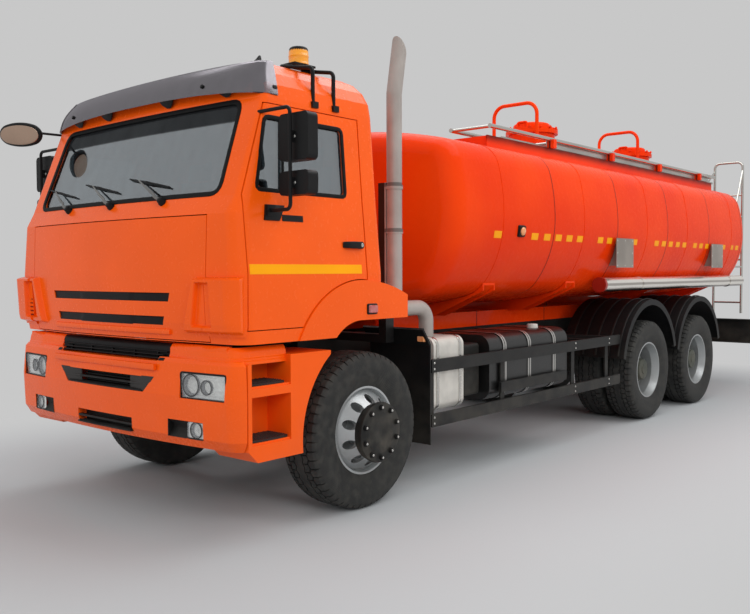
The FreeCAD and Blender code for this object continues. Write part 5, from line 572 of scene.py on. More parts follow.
# %% Dress the CAD parts
PARTS_OF = {
    "cab_orange": ["cab_shell", "cab_wings", "front_lid", "door_left", "door_right", "front_bumper"],
    "step_orange": ["entry_steps"],
    "tank_red": ["tank_shell", "tank_necks", "tank_cradle", "tank_lid_front", "tank_lid_rear"],
    "deck_red": ["walkway_frame"],
    "frame_dark": ["chassis_frame", "frame_boxes", "rear_bumper", "leaf_springs", "front_axle",
                   "rear_axles", "knuckle_left", "knuckle_right", "tie_rod"],
    "cast_dark": ["engine_block"],
    "wheel_silver": ["wheel_front_left", "wheel_front_right", "wheel_rear_1_left", "wheel_rear_1_right",
                     "wheel_rear_2_left", "wheel_rear_2_right"],
    "tyre_rubber": ["tyre_front_left", "tyre_front_right", "tyres_rear_1_left", "tyres_rear_1_right",
                    "tyres_rear_2_left", "tyres_rear_2_right"],
    "black_plastic": ["cab_floor", "dashboard", "mirrors_left", "mirrors_right", "front_mirror",
                      "mudguards", "wipers", "roof_beacon"],
    "clear_glass": ["cab_glass", "door_glass_left", "door_glass_right"],
    "visor_smoke": ["sun_visor"],
    "seat_cloth": ["seats"],
    "stack_steel": ["exhaust_stack"],
    "silencer_skin": ["silencer"],
    "fuel_aluminium": ["fuel_tank"],
    "rail_black": ["side_guards"],
    "bright_steel": ["handrail", "ladder", "discharge_pipe"],
    "hose_steel": ["hose_tubes"],
    "grating_steel": ["walkway_decks"],
    "plate_white": ["plate_holders"],
    "lamp_lens": ["lamps"],
}
dressed = set()
for finish_name, node_names in PARTS_OF.items():
    for node_name in node_names:
        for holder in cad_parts[node_name].material_slots:
            holder.material = FINISHES[finish_name]
        dressed.add(node_name)
print("dressed", len(dressed), "left bare", sorted(set(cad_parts) - dressed))

# %% [markdown]
# ## Surfaces from numbers
# A shape is a grid of points worked out at once with numpy. Neighbouring points make quads, and
# several grids join to one mesh. Doubles are merged and the faces are turned outwards once.

# %% Surface helpers
SIDES = (("left", 1), ("right", -1))
MERGE_WITHIN = 0.00001


def joined(x, y, z):
    """Points from three arrays or numbers, each spread over the shape of the others."""
    return np.stack(np.broadcast_arrays(x, y, z), axis=-1)


def grid(points, wrap_rows=False, wrap_columns=False, caps=False):
    """Quads between neighbours of an (m, n, 3) grid; caps close the first and last row."""
    rows, columns = points.shape[:2]
    index = np.arange(rows * columns).reshape(rows, columns)
    ends = [index[0].tolist(), index[-1].tolist()] if caps else []
    if wrap_rows:
        index = np.vstack([index, index[:1]])
    if wrap_columns:
        index = np.hstack([index, index[:, :1]])
    quads = np.stack([index[:-1, :-1], index[1:, :-1], index[1:, 1:], index[:-1, 1:]], axis=-1)
    return points.reshape(-1, 3), quads.reshape(-1, 4), ends


def piece(name, parts, body, finish, crease=35.0, attributes=None):
    """Joins grids to one object that rides a body."""
    mesh = bpy.data.meshes.new(name)
    starts = np.cumsum([0] + [len(p[0]) for p in parts])
    points = np.concatenate([p[0] for p in parts])
    quads = np.concatenate([p[1] + s for p, s in zip(parts, starts)]).tolist()
    ends = [[k + int(s) for k in face] for p, s in zip(parts, starts) for face in p[2]]
    mesh.from_pydata(points.tolist(), [], quads + ends)
    for key, values in (attributes or {}).items():
        layer = mesh.attributes.new(key, "FLOAT", "POINT")
        layer.data.foreach_set("value", np.asarray(values, float).ravel())
    work = bmesh.new()
    work.from_mesh(mesh)
    bmesh.ops.remove_doubles(work, verts=work.verts, dist=MERGE_WITHIN)
    bmesh.ops.recalc_face_normals(work, faces=work.faces)
    work.to_mesh(mesh)
    work.free()
    mesh.shade_smooth()
    mesh.set_sharp_from_angle(angle=math.radians(crease))
    mesh.materials.append(FINISHES[finish])
    made = bpy.data.objects.new(name, mesh)
    bpy.context.scene.collection.objects.link(made)
    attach(made, body)
    return made


def moved(part, shifts):
    """Copies of a part at each of the shifts, as one part."""
    points, quads, ends = part
    shifts = np.asarray(shifts, float).reshape(-1, 1, 3)
    count = len(points)
    steps = np.arange(len(shifts)) * count
    return ((points[None] + shifts).reshape(-1, 3), (quads[None] + steps[:, None, None]).reshape(-1, 4),
            [[k + int(s) for k in face] for s in steps for face in ends])


def across(part):
    """The same part on the truck's other side: X changes sign."""
    return part[0] * np.array([-1.0, 1.0, 1.0]), part[1][:, ::-1], part[2]


def both_sides(parts):
    """The parts and the same parts on the other side."""
    return parts + [across(part) for part in parts]


def slab(top, under):
    """A closed thin sheet between two grids of the same shape."""
    return grid(np.concatenate([top, under[:, ::-1]], axis=1), wrap_columns=True, caps=True)


def sheet_behind(x, y, z, wall):
    """A sheet that faces the front, with its back this far behind it."""
    return slab(joined(x, y, z), joined(x, y + wall, z))


print("doubles merge within", MERGE_WITHIN, "m")

# %% [markdown]
# ## Tyres
# The tread is what makes a tyre look real from a step away. The surface is a profile of radius
# against width turned round the axle. Over the tread the radius drops by the groove depth where
# the place is between two ribs or between two blocks, and the ribs wander in a zigzag.

# %% Tyre surface
TYRE_RADIUS, TYRE_HALF, BEAD = 0.532, 0.1575, 0.2983
BLOCKS, GROOVE, TREAD_HALF, CROWN, ZIGZAG = 54, 0.013, 0.130, 0.010, 0.045
BELLY_AT, WALL_STEPS = 0.4, 14
PHASES = np.array([0.0, 0.02, 0.16, 0.18, 0.48, 0.50, 0.60, 0.62])
GROOVES = [0.625, 0.685, 0.265, 0.315]
RIB_EDGES = np.array([-1.0, -0.70, -0.685, -0.625, -0.61, -0.33, -0.315, -0.265, -0.25, -0.02, 0.02,
                      0.25, 0.265, 0.315, 0.33, 0.61, 0.625, 0.685, 0.70, 1.0])


def tyre_part(centre, outward):
    """Radius = crown - groove depth * mask over angle and width; the walls bulge as a sine."""
    angle = ((np.arange(BLOCKS)[:, None] + PHASES[None]) * 2 * math.pi / BLOCKS).ravel()
    phase = np.tile(PHASES, BLOCKS)[:, None]
    width = RIB_EDGES[None]
    zigzag = ZIGZAG * (np.abs(phase * 2 - 1) * 2 - 1) * (np.abs(width) < 0.9)
    notch = (np.abs(width) > 0.69) & (phase > 0.01) & (phase < 0.17)
    notch = notch | ((np.abs(width) < 0.62) & (phase > 0.49) & (phase < 0.61) & (np.abs(width) > 0.26))
    depth = np.where(np.isin(np.abs(width), GROOVES), 1.0, np.where(notch, 0.8, 0.0)) * np.ones_like(phase)
    tread_r = TYRE_RADIUS - CROWN * width ** 4 - GROOVE * depth
    tread_a = (width + zigzag) * TREAD_HALF * np.ones_like(phase)
    share = np.linspace(0.0, 1.0, WALL_STEPS + 1)[1:][None]
    shoulder = TYRE_RADIUS - CROWN
    lug = GROOVE * 0.8 * depth[:, -1:] * (share < 0.12)
    wall_r = shoulder + (BEAD - shoulder) * share ** 1.05 - lug
    wall_a = TREAD_HALF + 0.0275 * np.sin(math.pi * np.clip(share * 1.25, 0, 1)) ** 0.6
    inward = 0.0325 * (np.maximum(share - BELLY_AT, 0) / 0.6) ** 2.2
    wall_a = np.minimum(np.where(share > BELLY_AT, TYRE_HALF - inward, wall_a), TYRE_HALF)
    wall_a = wall_a * np.ones_like(phase)
    wall_r = wall_r * np.ones_like(phase)
    across_half = np.concatenate([-wall_a[:, ::-1], tread_a, wall_a], axis=1)
    radius = np.concatenate([wall_r[:, ::-1], tread_r, wall_r], axis=1)
    deep = np.concatenate([0 * wall_r, depth, 0 * wall_r], axis=1)
    points = joined(centre[0] + outward * across_half, centre[1] + radius * np.cos(angle)[:, None],
                    centre[2] + radius * np.sin(angle)[:, None])
    return grid(points, wrap_rows=True, wrap_columns=True), deep, radius / TYRE_RADIUS


def tyres(name, node, centres, outward, body):
    """One or two tyres as one piece that takes the place of the plain CAD tyre."""
    parts, deep, out = zip(*(tyre_part(c, outward) for c in centres))
    made = piece(name, list(parts), body, "tyre_rubber", 30.0,
                 {"groove": np.concatenate([d.ravel() for d in deep]),
                  "outness": np.concatenate([o.ravel() for o in out])})
    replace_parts(made, node)


FRONT_X, REAR_X, DUAL = 1.045, 1.090, 0.347
AXLES = {"front": -3.460, "rear_1": 1.140, "rear_2": 2.580}
for hand, side in SIDES:
    tyres("tread_front_" + hand, "tyre_front_" + hand, [(side * FRONT_X, AXLES["front"], TYRE_RADIUS)],
          side, "wheel_front_" + hand)
    for place in ("rear_1", "rear_2"):
        centres = [(side * x, AXLES[place], TYRE_RADIUS) for x in (REAR_X, REAR_X - DUAL)]
        tag = place + "_" + hand
        tyres("tread_" + tag, "tyres_" + tag, centres, side, "wheel_" + tag)
print("faces of each tyre", BLOCKS * len(PHASES) * (len(RIB_EDGES) + 2 * WALL_STEPS))

# %% [markdown]
# ## Bars and turned forms
# A bar or a seal is an outline carried along a path. A hub or a lens is a profile turned round an
# axis. Both are plain sums of vectors, so a whole piece is worked out in a few array lines.

# %% Bars and turned forms
def bar_outline(width, height, radius, corner=4):
    """Rounded rectangle: a quarter circle of the radius about each inner corner."""
    turn = np.arange(4)[:, None] * math.pi / 2 + np.linspace(0, math.pi / 2, corner)[None]
    middle = np.arange(4) * math.pi / 2 + math.pi / 4
    signs = np.sign(np.stack([np.cos(middle), np.sin(middle)], axis=-1))
    inner = signs * [width / 2 - radius, height / 2 - radius]
    ring = inner[:, None] + radius * np.stack([np.cos(turn), np.sin(turn)], axis=-1)
    return ring.reshape(-1, 2)


def unit(vectors):
    """The same directions with length one."""
    return vectors / np.linalg.norm(vectors, axis=-1, keepdims=True)


def swept(path, outline, lift=(0, 0, 1), closed=False, scale=1.0):
    """Ring = path point + u * (direction x lift) + v * its upright, for the outline's (u, v)."""
    path = np.asarray(path, float)
    ahead = np.roll(path, -1, 0) - np.roll(path, 1, 0) if closed else np.gradient(path, axis=0)
    side = unit(np.cross(ahead, np.broadcast_to(lift, path.shape)))
    top = unit(np.cross(side, ahead))
    size = np.broadcast_to(scale, len(path)).reshape(-1, 1, 1)
    ring = path[:, None] + size * (side[:, None] * outline[None, :, :1] + top[:, None] * outline[None, :, 1:])
    return grid(ring, wrap_rows=closed, wrap_columns=True, caps=not closed)


def turned(profile, centre, axis, steps=32):
    """Point = centre + axis * distance + radius * (cos, sin) across it, per (radius, distance)."""
    axis = unit(np.asarray(axis, float))
    first = unit(np.cross(axis, (0.0, 0.0, 1.0) if abs(axis[2]) < 0.9 else (1.0, 0.0, 0.0)))
    second = np.cross(axis, first)
    turn = np.linspace(0, 2 * math.pi, steps, endpoint=False)
    spoke = np.cos(turn)[:, None] * first + np.sin(turn)[:, None] * second
    profile = np.asarray(profile, float)
    points = np.asarray(centre) + profile[:, None, 1:] * axis + profile[:, None, :1] * spoke[None]
    return grid(points, wrap_columns=True, caps=True)


print("points round a bar", len(bar_outline(0.020, 0.010, 0.003)))

# %% [markdown]
# ## Sheets laid on the skin
# Tape, a seal or a lamp's base has to follow every bend of the metal below it. Rays from a flat
# grid find where the skin is and how it faces there, and the sheet is raised a little from it.

# %% Rays and laid sheets
CAB_FRONT_START, CAB_SIDE_START = -6.0, 2.0
FORWARD, FLAT_ON_FRONT = (0, 1, 0), (0, -1, 0)


def surface_of(*names):
    """The triangles of these CAD parts, ready for rays."""
    points, faces = [], []
    for name in names:
        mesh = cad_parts[name].data
        start = len(points)
        points += [v.co.copy() for v in mesh.vertices]
        faces += [[start + k for k in p.vertices] for p in mesh.polygons]
    return BVHTree.FromPolygons(points, faces)


def cast(tree, starts, direction):
    """Where rays first meet the surface, and the normals there; a miss takes its neighbours' place."""
    starts = np.asarray(starts, float)
    flat = starts.reshape(-1, 3)
    aim = np.asarray(direction, float)
    found = [tree.ray_cast(Vector(s), Vector(direction)) for s in flat]
    good = np.array([h[0] is not None for h in found])
    far = np.array([h[3] if h[0] is not None else 0.0 for h in found])
    normal = np.array([h[1] if h[0] is not None else -Vector(direction) for h in found], float)
    order = np.arange(len(flat))
    far = np.interp(order, order[good], far[good])
    normal = normal * -np.sign(normal @ aim)[:, None]
    hits = flat + far[:, None] * aim
    return hits.reshape(starts.shape), normal.reshape(starts.shape)


def cast_front(tree, x, z):
    """Rays that fly back from before the cab at these X and Z."""
    return cast(tree, joined(x, CAB_FRONT_START, z), FORWARD)


def cast_side(tree, side, y, z):
    """Rays that fly inwards from beside the truck at these Y and Z."""
    return cast(tree, joined(side * CAB_SIDE_START, y, z), (-side, 0, 0))


def front_of(tree, half, z, count=61):
    """Y of the skin at one height, as a table over X."""
    x = np.linspace(-half, half, count)
    return x, cast_front(tree, x, z)[0][:, 1]


def span(low, high, rows, columns, down=False):
    """Even steps from low to high over a grid's rows, or down its columns."""
    steps = np.linspace(low, high, columns if down else rows)
    return (steps[None] if down else steps[:, None]) + np.zeros((rows, columns))


def side_patch(tree, side, y_range, z_range, rows, columns, low, high):
    """Film on a side wall between two distances above the skin that the rays meet."""
    hits, normals = cast_side(tree, side, span(*y_range, rows, columns), span(*z_range, rows, columns, True))
    return slab(hits + normals * high, hits + normals * low)


def loop_of(corners, radius, count):
    """Closed outline with a parabola at each corner, then points at an even spacing."""
    corners = np.asarray(corners, float)
    back = unit(np.roll(corners, 1, 0) - corners) * radius
    ahead = unit(np.roll(corners, -1, 0) - corners) * radius
    share = np.linspace(0, 1, 9)[None, :, None]
    ring = (corners[:, None] + back[:, None] * (1 - share) ** 2 + ahead[:, None] * share ** 2).reshape(-1, 2)
    ring = np.vstack([ring, ring[:1]])
    run = np.concatenate([[0.0], np.cumsum(np.linalg.norm(np.diff(ring, axis=0), axis=1))])
    even = np.linspace(0, run[-1], count, endpoint=False)
    return np.stack([np.interp(even, run, ring[:, k]) for k in (0, 1)], axis=-1)


BUMPER_SKIN = surface_of("front_bumper")
LID_SKIN = surface_of("front_lid")
FULL_X, FULL_Y = front_of(BUMPER_SKIN, 1.20, 0.80)


def bumper_y(x):
    """The bumper's front face at any X, read from its table."""
    return np.interp(x, FULL_X, FULL_Y)


print("bumper's front at the middle", round(float(bumper_y(0.0)), 4))

# %% [markdown]
# ## Wheel nuts and hub plates
# Each wheel is held by ten hexagon nuts with long studs. On the front wheels the nuts stand on a
# dark plate round a deep cap, and only the stud ends are bright. At the back the hub is bare iron.

# %% Wheel nuts and hubs
NUTS = 10
NUT = [(0.0195, 0.0), (0.0190, 0.006), (0.0165, 0.009), (0.0160, 0.013), (0.0135, 0.0150), (0.0, 0.0150)]
STUD = [(0.0085, 0.012), (0.0085, 0.019), (0.0068, 0.021), (0.0, 0.0215)]
# Where the disc's face stands, the nuts' circle, and how far the nuts stand out from the face.
FRONT_FACE, FRONT_RING, FRONT_OUT = 1.245, 0.168, 0.063
REAR_FACE, REAR_RING, REAR_OUT = 0.9305, 0.1675, 0.004


def on_nut_ring(profile, centre, side, face, ring, steps):
    """One turned form, copied to every place on the ring."""
    turn = (np.arange(NUTS) + 0.5) * 2 * math.pi / NUTS
    one = turned(profile, (side * face, centre[0], centre[1]), (side, 0, 0), steps)
    return moved(one, joined(0, ring * np.cos(turn), ring * np.sin(turn)))


def wheel_centre(tag, body, axle, side, face, cover, ring, out, finish):
    """A turned hub plate on the disc, and nuts and stud ends this far out on their ring."""
    centre = (AXLES[axle], TYRE_RADIUS)
    plate = turned(cover, (side * face, *centre), (side, 0, 0), 72)
    piece("hub_" + tag, [plate], body, finish)
    piece("nuts_" + tag, [on_nut_ring(NUT, centre, side, face + out, ring, 12)], body, "rubber_black",
          25)
    piece("studs_" + tag, [on_nut_ring(STUD, centre, side, face + out, ring, 14)], body, "bolt_steel",
          25)


FRONT_COVER = [(0.188, -0.006), (0.200, 0.030), (0.203, 0.050), (0.200, 0.0605), (0.196, 0.0630),
               (0.140, 0.0630), (0.136, 0.0650), (0.130, 0.0660), (0.040, 0.0660), (0.036, 0.0650),
               (0.0, 0.0650)]
REAR_COVER = [(0.262, -0.060), (0.250, 0.0), (0.205, 0.006), (0.150, 0.004), (0.1275, 0.006),
              (0.1265, 0.130), (0.124, 0.140), (0.136, 0.143), (0.136, 0.168), (0.132, 0.172),
              (0.1120, 0.174), (0.110, 0.222), (0.104, 0.230), (0.050, 0.232), (0.046, 0.240),
              (0.014, 0.242), (0.0, 0.242)]
for hand, side in SIDES:
    wheel_centre("front_" + hand, "wheel_front_" + hand, "front", side, FRONT_FACE, FRONT_COVER,
                 FRONT_RING, FRONT_OUT, "hub_black")
    for place in ("rear_1", "rear_2"):
        tag = place + "_" + hand
        wheel_centre(tag, "wheel_" + tag, place, side, REAR_FACE, REAR_COVER, REAR_RING, REAR_OUT,
                     "hub_iron")
print("nuts", NUTS * 6)

# %% [markdown]
# ## Window rubber
# Every pane sits in a black rubber moulding. Its path is the pane's outline, carried on to the
# cab's skin by rays, and the section is a low rounded bar that covers the edge of the glass.

# %% Window seals
WINDSCREEN = [(-1.010, 2.066), (1.010, 2.066), (0.975, 2.630), (-0.975, 2.630)]
SIDE_WINDOW = [(-4.445, 2.090), (-3.690, 2.090), (-3.690, 2.515), (-4.342, 2.515)]
DIVIDER_FOOT, DIVIDER_HEAD = (-4.240, 2.088), (-4.205, 2.517)
SUNK = 0.002
DOOR_SKIN = {side: surface_of("door_" + hand) for hand, side in SIDES}


def grown(loop, outset):
    """The outline with each point moved away from the middle along both axes."""
    return loop + np.sign(loop - loop.mean(axis=0)) * outset


def seal_ring(hits, normals, width, height, own_share):
    """A closed bar on the skin; its upright is the mean normal plus a share of each place's own."""
    normals = unit(normals * own_share + normals.mean(axis=0))
    return swept(hits - normals * SUNK, bar_outline(width, height, 0.004), normals, closed=True)


def side_seal(side):
    """The side window's outline laid on the door, with a divider bar near its front."""
    loop = grown(loop_of(SIDE_WINDOW, 0.035, 110), 0.006)
    hits, normals = cast_side(DOOR_SKIN[side], side, loop[:, 0], loop[:, 1])
    foot, head = hits[np.argmin(loop[:, 1])], hits[np.argmax(loop[:, 1])]
    low, top = np.array([foot[0], *DIVIDER_FOOT]), np.array([head[0], *DIVIDER_HEAD])
    rise = np.linspace(0, 1, 6)[:, None]
    bar = swept(low + (top - low) * rise, bar_outline(0.018, 0.012, 0.004), (side, 0, 0))
    return [seal_ring(hits, normals, 0.026, 0.011, 0.2), bar]


screen = grown(loop_of(WINDSCREEN, 0.075, 190), 0.004)
screen_seal = seal_ring(*cast_front(surface_of("cab_shell"), screen[:, 0], screen[:, 1]), 0.032, 0.012, 0.3)
piece("windscreen_seal", [screen_seal], "cab", "rubber_black", 50)
for hand, side in SIDES:
    piece("window_seal_" + hand, side_seal(side), "door_" + hand, "rubber_black", 50)
print("window seals", 1 + len(SIDES))

# %% [markdown]
# ## Louvres in the lid
# The two long slots in the lid hold black louvres with a raised middle. Each is a sheet whose
# depth is a function of height, laid behind the skin of the lid, so it tilts with the lid.

# %% Lid louvres
LID_SLOTS = [(1.480, 0.672), (1.336, 0.614)]
SLOT_HEIGHT, SLOT_TAPER, SLOT_LAP = 0.053, 0.016, 0.004
MIDDLE_HALF = 0.30


def lid_louvre(top, half):
    """Depth below the lid = 9.5 mm, less two ridges along it and a step over its middle."""
    rows, columns = 60, 14
    share = np.linspace(0, 1, columns)[None]
    reach = half + SLOT_LAP - SLOT_TAPER * (1 - share)
    x = np.linspace(-1, 1, rows)[:, None] * reach
    z = top - SLOT_HEIGHT - SLOT_LAP + (SLOT_HEIGHT + 2 * SLOT_LAP) * share
    skin = np.interp(x, *front_of(LID_SKIN, 0.9, top + 0.015))
    middle = 0.004 / (1 + np.exp((np.abs(x) - MIDDLE_HALF) * 900.0))
    ridge = 0.0045 * np.exp(-((share - 0.86) / 0.07) ** 2) + 0.003 * np.exp(-((share - 0.12) / 0.06) ** 2)
    return slab(joined(x, skin + 0.0095 - middle - ridge, z), joined(x, skin + 0.0150, z))


piece("lid_louvres", [lid_louvre(*s) for s in LID_SLOTS], "lid_front_panel", "louvre_black",
      30)
print("lid slots", len(LID_SLOTS))

# %% [markdown]
# ## Slats under the lid
# Under the lid a row of slats lets air in. They are bars that follow the bowed front, each one
# further out and a little narrower than the one above it, on a dark backing with a few upright
# stiles. They belong to the bumper, and keep clear of the cab when it tilts.

# %% Under-lid slats
BACKING_HALF, BACKING_LOW, BACKING_TOP = 0.615, 1.066, 1.168
SLATS = ((1.074, 0.022, 0.030), (1.094, 0.014, 0.026), (1.114, 0.003, 0.020))


def slat(x, y, z, depth, height, tilt):
    """A thin bar that follows the bowed front: a rounded strip leaning forward by the tilt."""
    outline = bar_outline(depth, height, min(depth, height) * 0.4, 3)
    turn = np.array([[math.cos(tilt), -math.sin(tilt)], [math.sin(tilt), math.cos(tilt)]])
    return swept(joined(x, y, z), outline @ turn.T)


x_table, moulding_y = front_of(BUMPER_SKIN, BACKING_HALF, 1.100)
hits, normals = cast_front(BUMPER_SKIN, span(-BACKING_HALF, BACKING_HALF, 50, 14),
                           span(BACKING_LOW, BACKING_TOP, 50, 14, True))
slats = [slab(hits + normals * 0.0018, hits + normals * 0.0003)]
for z, out, depth in SLATS:
    half = 0.556 + (z - SLATS[0][0]) * 1.1
    x = np.linspace(-half, half, 41)
    slats.append(slat(x, np.interp(x, x_table, moulding_y) - out, z, depth, 0.008, 0.35))
for x0 in np.linspace(-0.50, 0.50, 5):
    y0 = float(np.interp(x0, x_table, moulding_y))
    slats.append(swept([(x0, y0 - 0.010, BACKING_LOW), (x0, y0 - 0.003, 1.116)],
                       bar_outline(0.012, 0.014, 0.003, 3), FORWARD))
piece("under_lid_slats", slats, "truck", "louvre_black", 30)
print("slats", len(SLATS))

# %% [markdown]
# ## The bumper's openings
# The wide opening has a black middle between two dark grey cheeks, and its lower lip is a step
# with teeth that give grip. The narrow opening below is a second step. A tooth is a small raised
# diamond, repeated along the lip by moving one form.

# %% Grille cheeks and backs
GRILLE_HALF, GRILLE_LOW, GRILLE_TOP = 0.442, 0.862, 0.965
STEP_LOW, STEP_TOP = 0.600, 0.694
CHEEK_INNER, BAR_Y, BAR_Z = 0.285, -4.6985, 0.9135


def cheek(x0, x1, z_low, z_top, slope, back):
    """A flat sheet behind the opening: depth grows from its outer end to its inner end."""
    share = np.linspace(0, 1, 14)[:, None]
    rise = np.linspace(0, 1, 4)[None]
    x = x0 + (x1 - x0) * share + slope * rise * (1 - share) * np.sign(x0)
    return sheet_behind(x, bumper_y(x) + 0.0035 + back * share ** 2, z_low + (z_top - z_low) * rise, 0.006)


def opening_back(half, z_low, z_top, depth):
    """A sheet between two heights this far behind the bumper's front face."""
    x = np.linspace(-half, half, 21)[:, None]
    return sheet_behind(x, bumper_y(x) + depth, np.array([[z_low, z_top]]), 0.006)


grey = [cheek(s * GRILLE_HALF * 1.02, s * CHEEK_INNER, GRILLE_LOW, GRILLE_TOP, 0.088, 0.016) for s in (1, -1)]
grey += [swept([(s * 0.288, BAR_Y, BAR_Z), (s * 0.478, BAR_Y, BAR_Z)], bar_outline(0.029, 0.014, 0.004))
         for s in (1, -1)]
piece("grille_cheeks", grey, "truck", "cheek_grey", 30)
x = np.linspace(-0.29, 0.29, 21)
dark = [slat(x, bumper_y(x) + 0.052, z, 0.022, 0.007, 0.5) for z in (0.889, 0.907, 0.925, 0.943)]
dark += [opening_back(0.29, GRILLE_LOW, GRILLE_TOP, 0.068), opening_back(0.312, STEP_LOW, STEP_TOP, 0.066)]
dark += [swept([(-half, BAR_Y, z), (0, BAR_Y, z), (half, BAR_Y, z)], bar_outline(0.030, 0.015, 0.004))
         for half, z in ((0.290, BAR_Z), (0.314, 0.647))]
piece("grille_backs", dark, "truck", "black_plastic", 30)
print("grille width", 2 * GRILLE_HALF)

# %% Toothed steps
UPWARD = (0, 0, 1)
LIP_DEPTH = 0.062
TOOTH = [(0.0085, 0.0), (0.0085, 0.004), (0.004, 0.0085), (0.0, 0.0085)]
TOOTH_ROWS = ((0.0, 0.006), (0.010, 0.024), (0.0, 0.042))


def toothed_lip(half, z, teeth):
    """A ledge along the opening's lower edge with rows of raised teeth on it."""
    x = np.linspace(-half, half, 41)
    ledge = swept(joined(x, bumper_y(x) + LIP_DEPTH / 2 - 0.002, z), bar_outline(LIP_DEPTH, 0.010, 0.003, 3))
    spots = np.linspace(-half + 0.02, half - 0.02, teeth)
    tooth = turned(TOOTH, (0, 0, z + 0.004), UPWARD, 4)
    return [ledge] + [moved(tooth, joined(spots + shift, bumper_y(spots) + back, 0.0))
                      for shift, back in TOOTH_ROWS]


steps = toothed_lip(0.425, 0.871, 34) + toothed_lip(0.308, 0.607, 26)
piece("bumper_steps", steps, "truck", "black_plastic", 25)
print("teeth", (34 + 26) * len(TOOTH_ROWS))

# %% [markdown]
# ## Head lamps and fog lamps
# Behind a clear cover each head lamp has a bright bowl at its inner end, a smaller projector
# beside it and facets in between. The reflector is one height field: its depth is a base depth
# plus a bowl shape round each bulb. The cover is a thin sheet on the same curve as the bumper.

# %% Reflectors
LAMP_SKIN = surface_of("lamps")
HEAD_LAMP = (0.780, 1.150, 0.857, 1.010)
FOG_LAMP = (0.830, 0.970, 0.620, 0.722)
BIG_BOWL, SMALL_BOWL, FOG_BOWL = (0.862, 0.936), (0.990, 0.930), (0.903, 0.671)
BIG_RADIUS, SMALL_RADIUS, FOG_RADIUS = 0.063, 0.041, 0.047
LAMP_WALL = 0.003


def lamp_place(bounds, rows, columns, inset):
    """Grid over the lamp's front; returns X, Z and the Y of its skin at the middle height."""
    x0, x1, z0, z1 = bounds
    x = span(x0 + inset, x1 - inset, rows, columns)
    z = span(z0 + inset, z1 - inset, rows, columns, True)
    hits, _ = cast_front(LAMP_SKIN, x[:, :1], (z0 + z1) / 2)
    return x, z, hits[:, :, 1] + 0 * x


def bowl(x, z, centre, radius, depth, rim):
    """Depth of a round reflector: a paraboloid inside the radius, a raised rim at it."""
    r = np.hypot(x - centre[0], z - centre[1]) / radius
    return np.where(r < 1, depth * (1 - r ** 2), 0.0) - rim * np.exp(-((r - 1.03) / 0.05) ** 2)


def within(x, z, centre, radius):
    """True where a place lies inside a circle."""
    return np.hypot(x - centre[0], z - centre[1]) < radius


def head_reflector():
    """Y = skin + 20 mm + two bowls, and folded sines as facets wherever no bowl is."""
    x, z, y = lamp_place(HEAD_LAMP, 150, 70, 0.004)
    facets = 0.0050 * np.abs(np.sin(x * 120 + 2 * np.sin(z * 60))) + 0.0040 * np.abs(np.sin(z * 110))
    main = bowl(x, z, BIG_BOWL, BIG_RADIUS, 0.052, 0.006)
    small = bowl(x, z, SMALL_BOWL, SMALL_RADIUS, 0.040, 0.005)
    inside = within(x, z, BIG_BOWL, BIG_RADIUS + 0.003) | within(x, z, SMALL_BOWL, SMALL_RADIUS + 0.003)
    return sheet_behind(x, y + 0.020 + main + small + np.where(inside, 0.0, facets), z, LAMP_WALL)


def fog_reflector():
    """Y = skin + 10 mm + one bowl + fine level ripples."""
    x, z, y = lamp_place(FOG_LAMP, 60, 44, 0.003)
    y = y + 0.010 + bowl(x, z, FOG_BOWL, FOG_RADIUS, 0.030, 0.003) + 0.001 * np.abs(np.sin(z * 420))
    return sheet_behind(x, y, z, LAMP_WALL)


def bulb(centre, radius, reach):
    """Round projector lens: a dome turned about the lamp's axis, its rim this far inside."""
    x, z = centre
    y = float(bumper_y(x)) + 0.005
    dome = [(radius, 0.0), (radius, 0.006), (radius * 0.86, 0.012), (radius * 0.5, 0.017), (0.0, 0.019)]
    return turned(dome, (x, y + reach, z), FLAT_ON_FRONT, 30)


reflectors = [head_reflector(), fog_reflector(), bulb(BIG_BOWL, 0.020, 0.062),
              bulb(SMALL_BOWL, 0.027, 0.046), bulb(FOG_BOWL, 0.013, 0.034)]
piece("lamp_reflectors", both_sides(reflectors), "truck", "lamp_silver", 20)
print("bulbs", 2 * 3)

# %% Lamp frames and covers
FOG_HOUSING = (0.668, 0.832, 0.618, 0.724)
RIM = np.array([(0.80, -0.012), (1.02, -0.012), (1.10, 0.002), (1.09, 0.010), (1.00, 0.012), (0.90, 0.004)])


def lamp_frame(bounds, width, depth):
    """A bar round the lamp's outline, half its depth behind the skin."""
    x0, x1, z0, z1 = bounds
    loop = loop_of([(x0, z0), (x1, z0), (x1, z1), (x0, z1)], 0.012, 90)
    y = cast_front(LAMP_SKIN, loop[:, 0] * 0.999, (z0 + z1) / 2)[0][:, 1]
    return swept(joined(loop[:, 0], y + depth / 2 - SUNK, loop[:, 1]),
                 bar_outline(width, depth, 0.0035, 3), FLAT_ON_FRONT, closed=True)


def fog_housing():
    """A hollow beside the fog lamp: depth 6, 30, 40, 30, 6 mm from its foot to its top."""
    x0, x1, z0, z1 = FOG_HOUSING
    x = np.linspace(x0, x1, 16)[:, None]
    trough = sheet_behind(x, bumper_y(x) + np.array([[0.006, 0.030, 0.040, 0.030, 0.006]]),
                          np.linspace(z0, z1, 5)[None], 0.008)
    wall_x, wall_y = x0 + 0.003, float(bumper_y(x0)) + 0.024
    return [trough, swept([(wall_x, wall_y, z0), (wall_x, wall_y, z1)], bar_outline(0.042, 0.005, 0.001, 3),
                          (1, 0, 0))]


def bowl_rim(centre, radius):
    """A ring round a bowl: the rim's outline carried round a circle, on the bumper's curve."""
    turn = np.linspace(0, 2 * math.pi, 40, endpoint=False)[None]
    r, out = RIM[:, :1] * radius, RIM[:, 1:]
    x = centre[0] + r * np.cos(turn)
    return grid(joined(x, bumper_y(x) + 0.022 - out, centre[1] + r * np.sin(turn)),
                wrap_rows=True, wrap_columns=True)


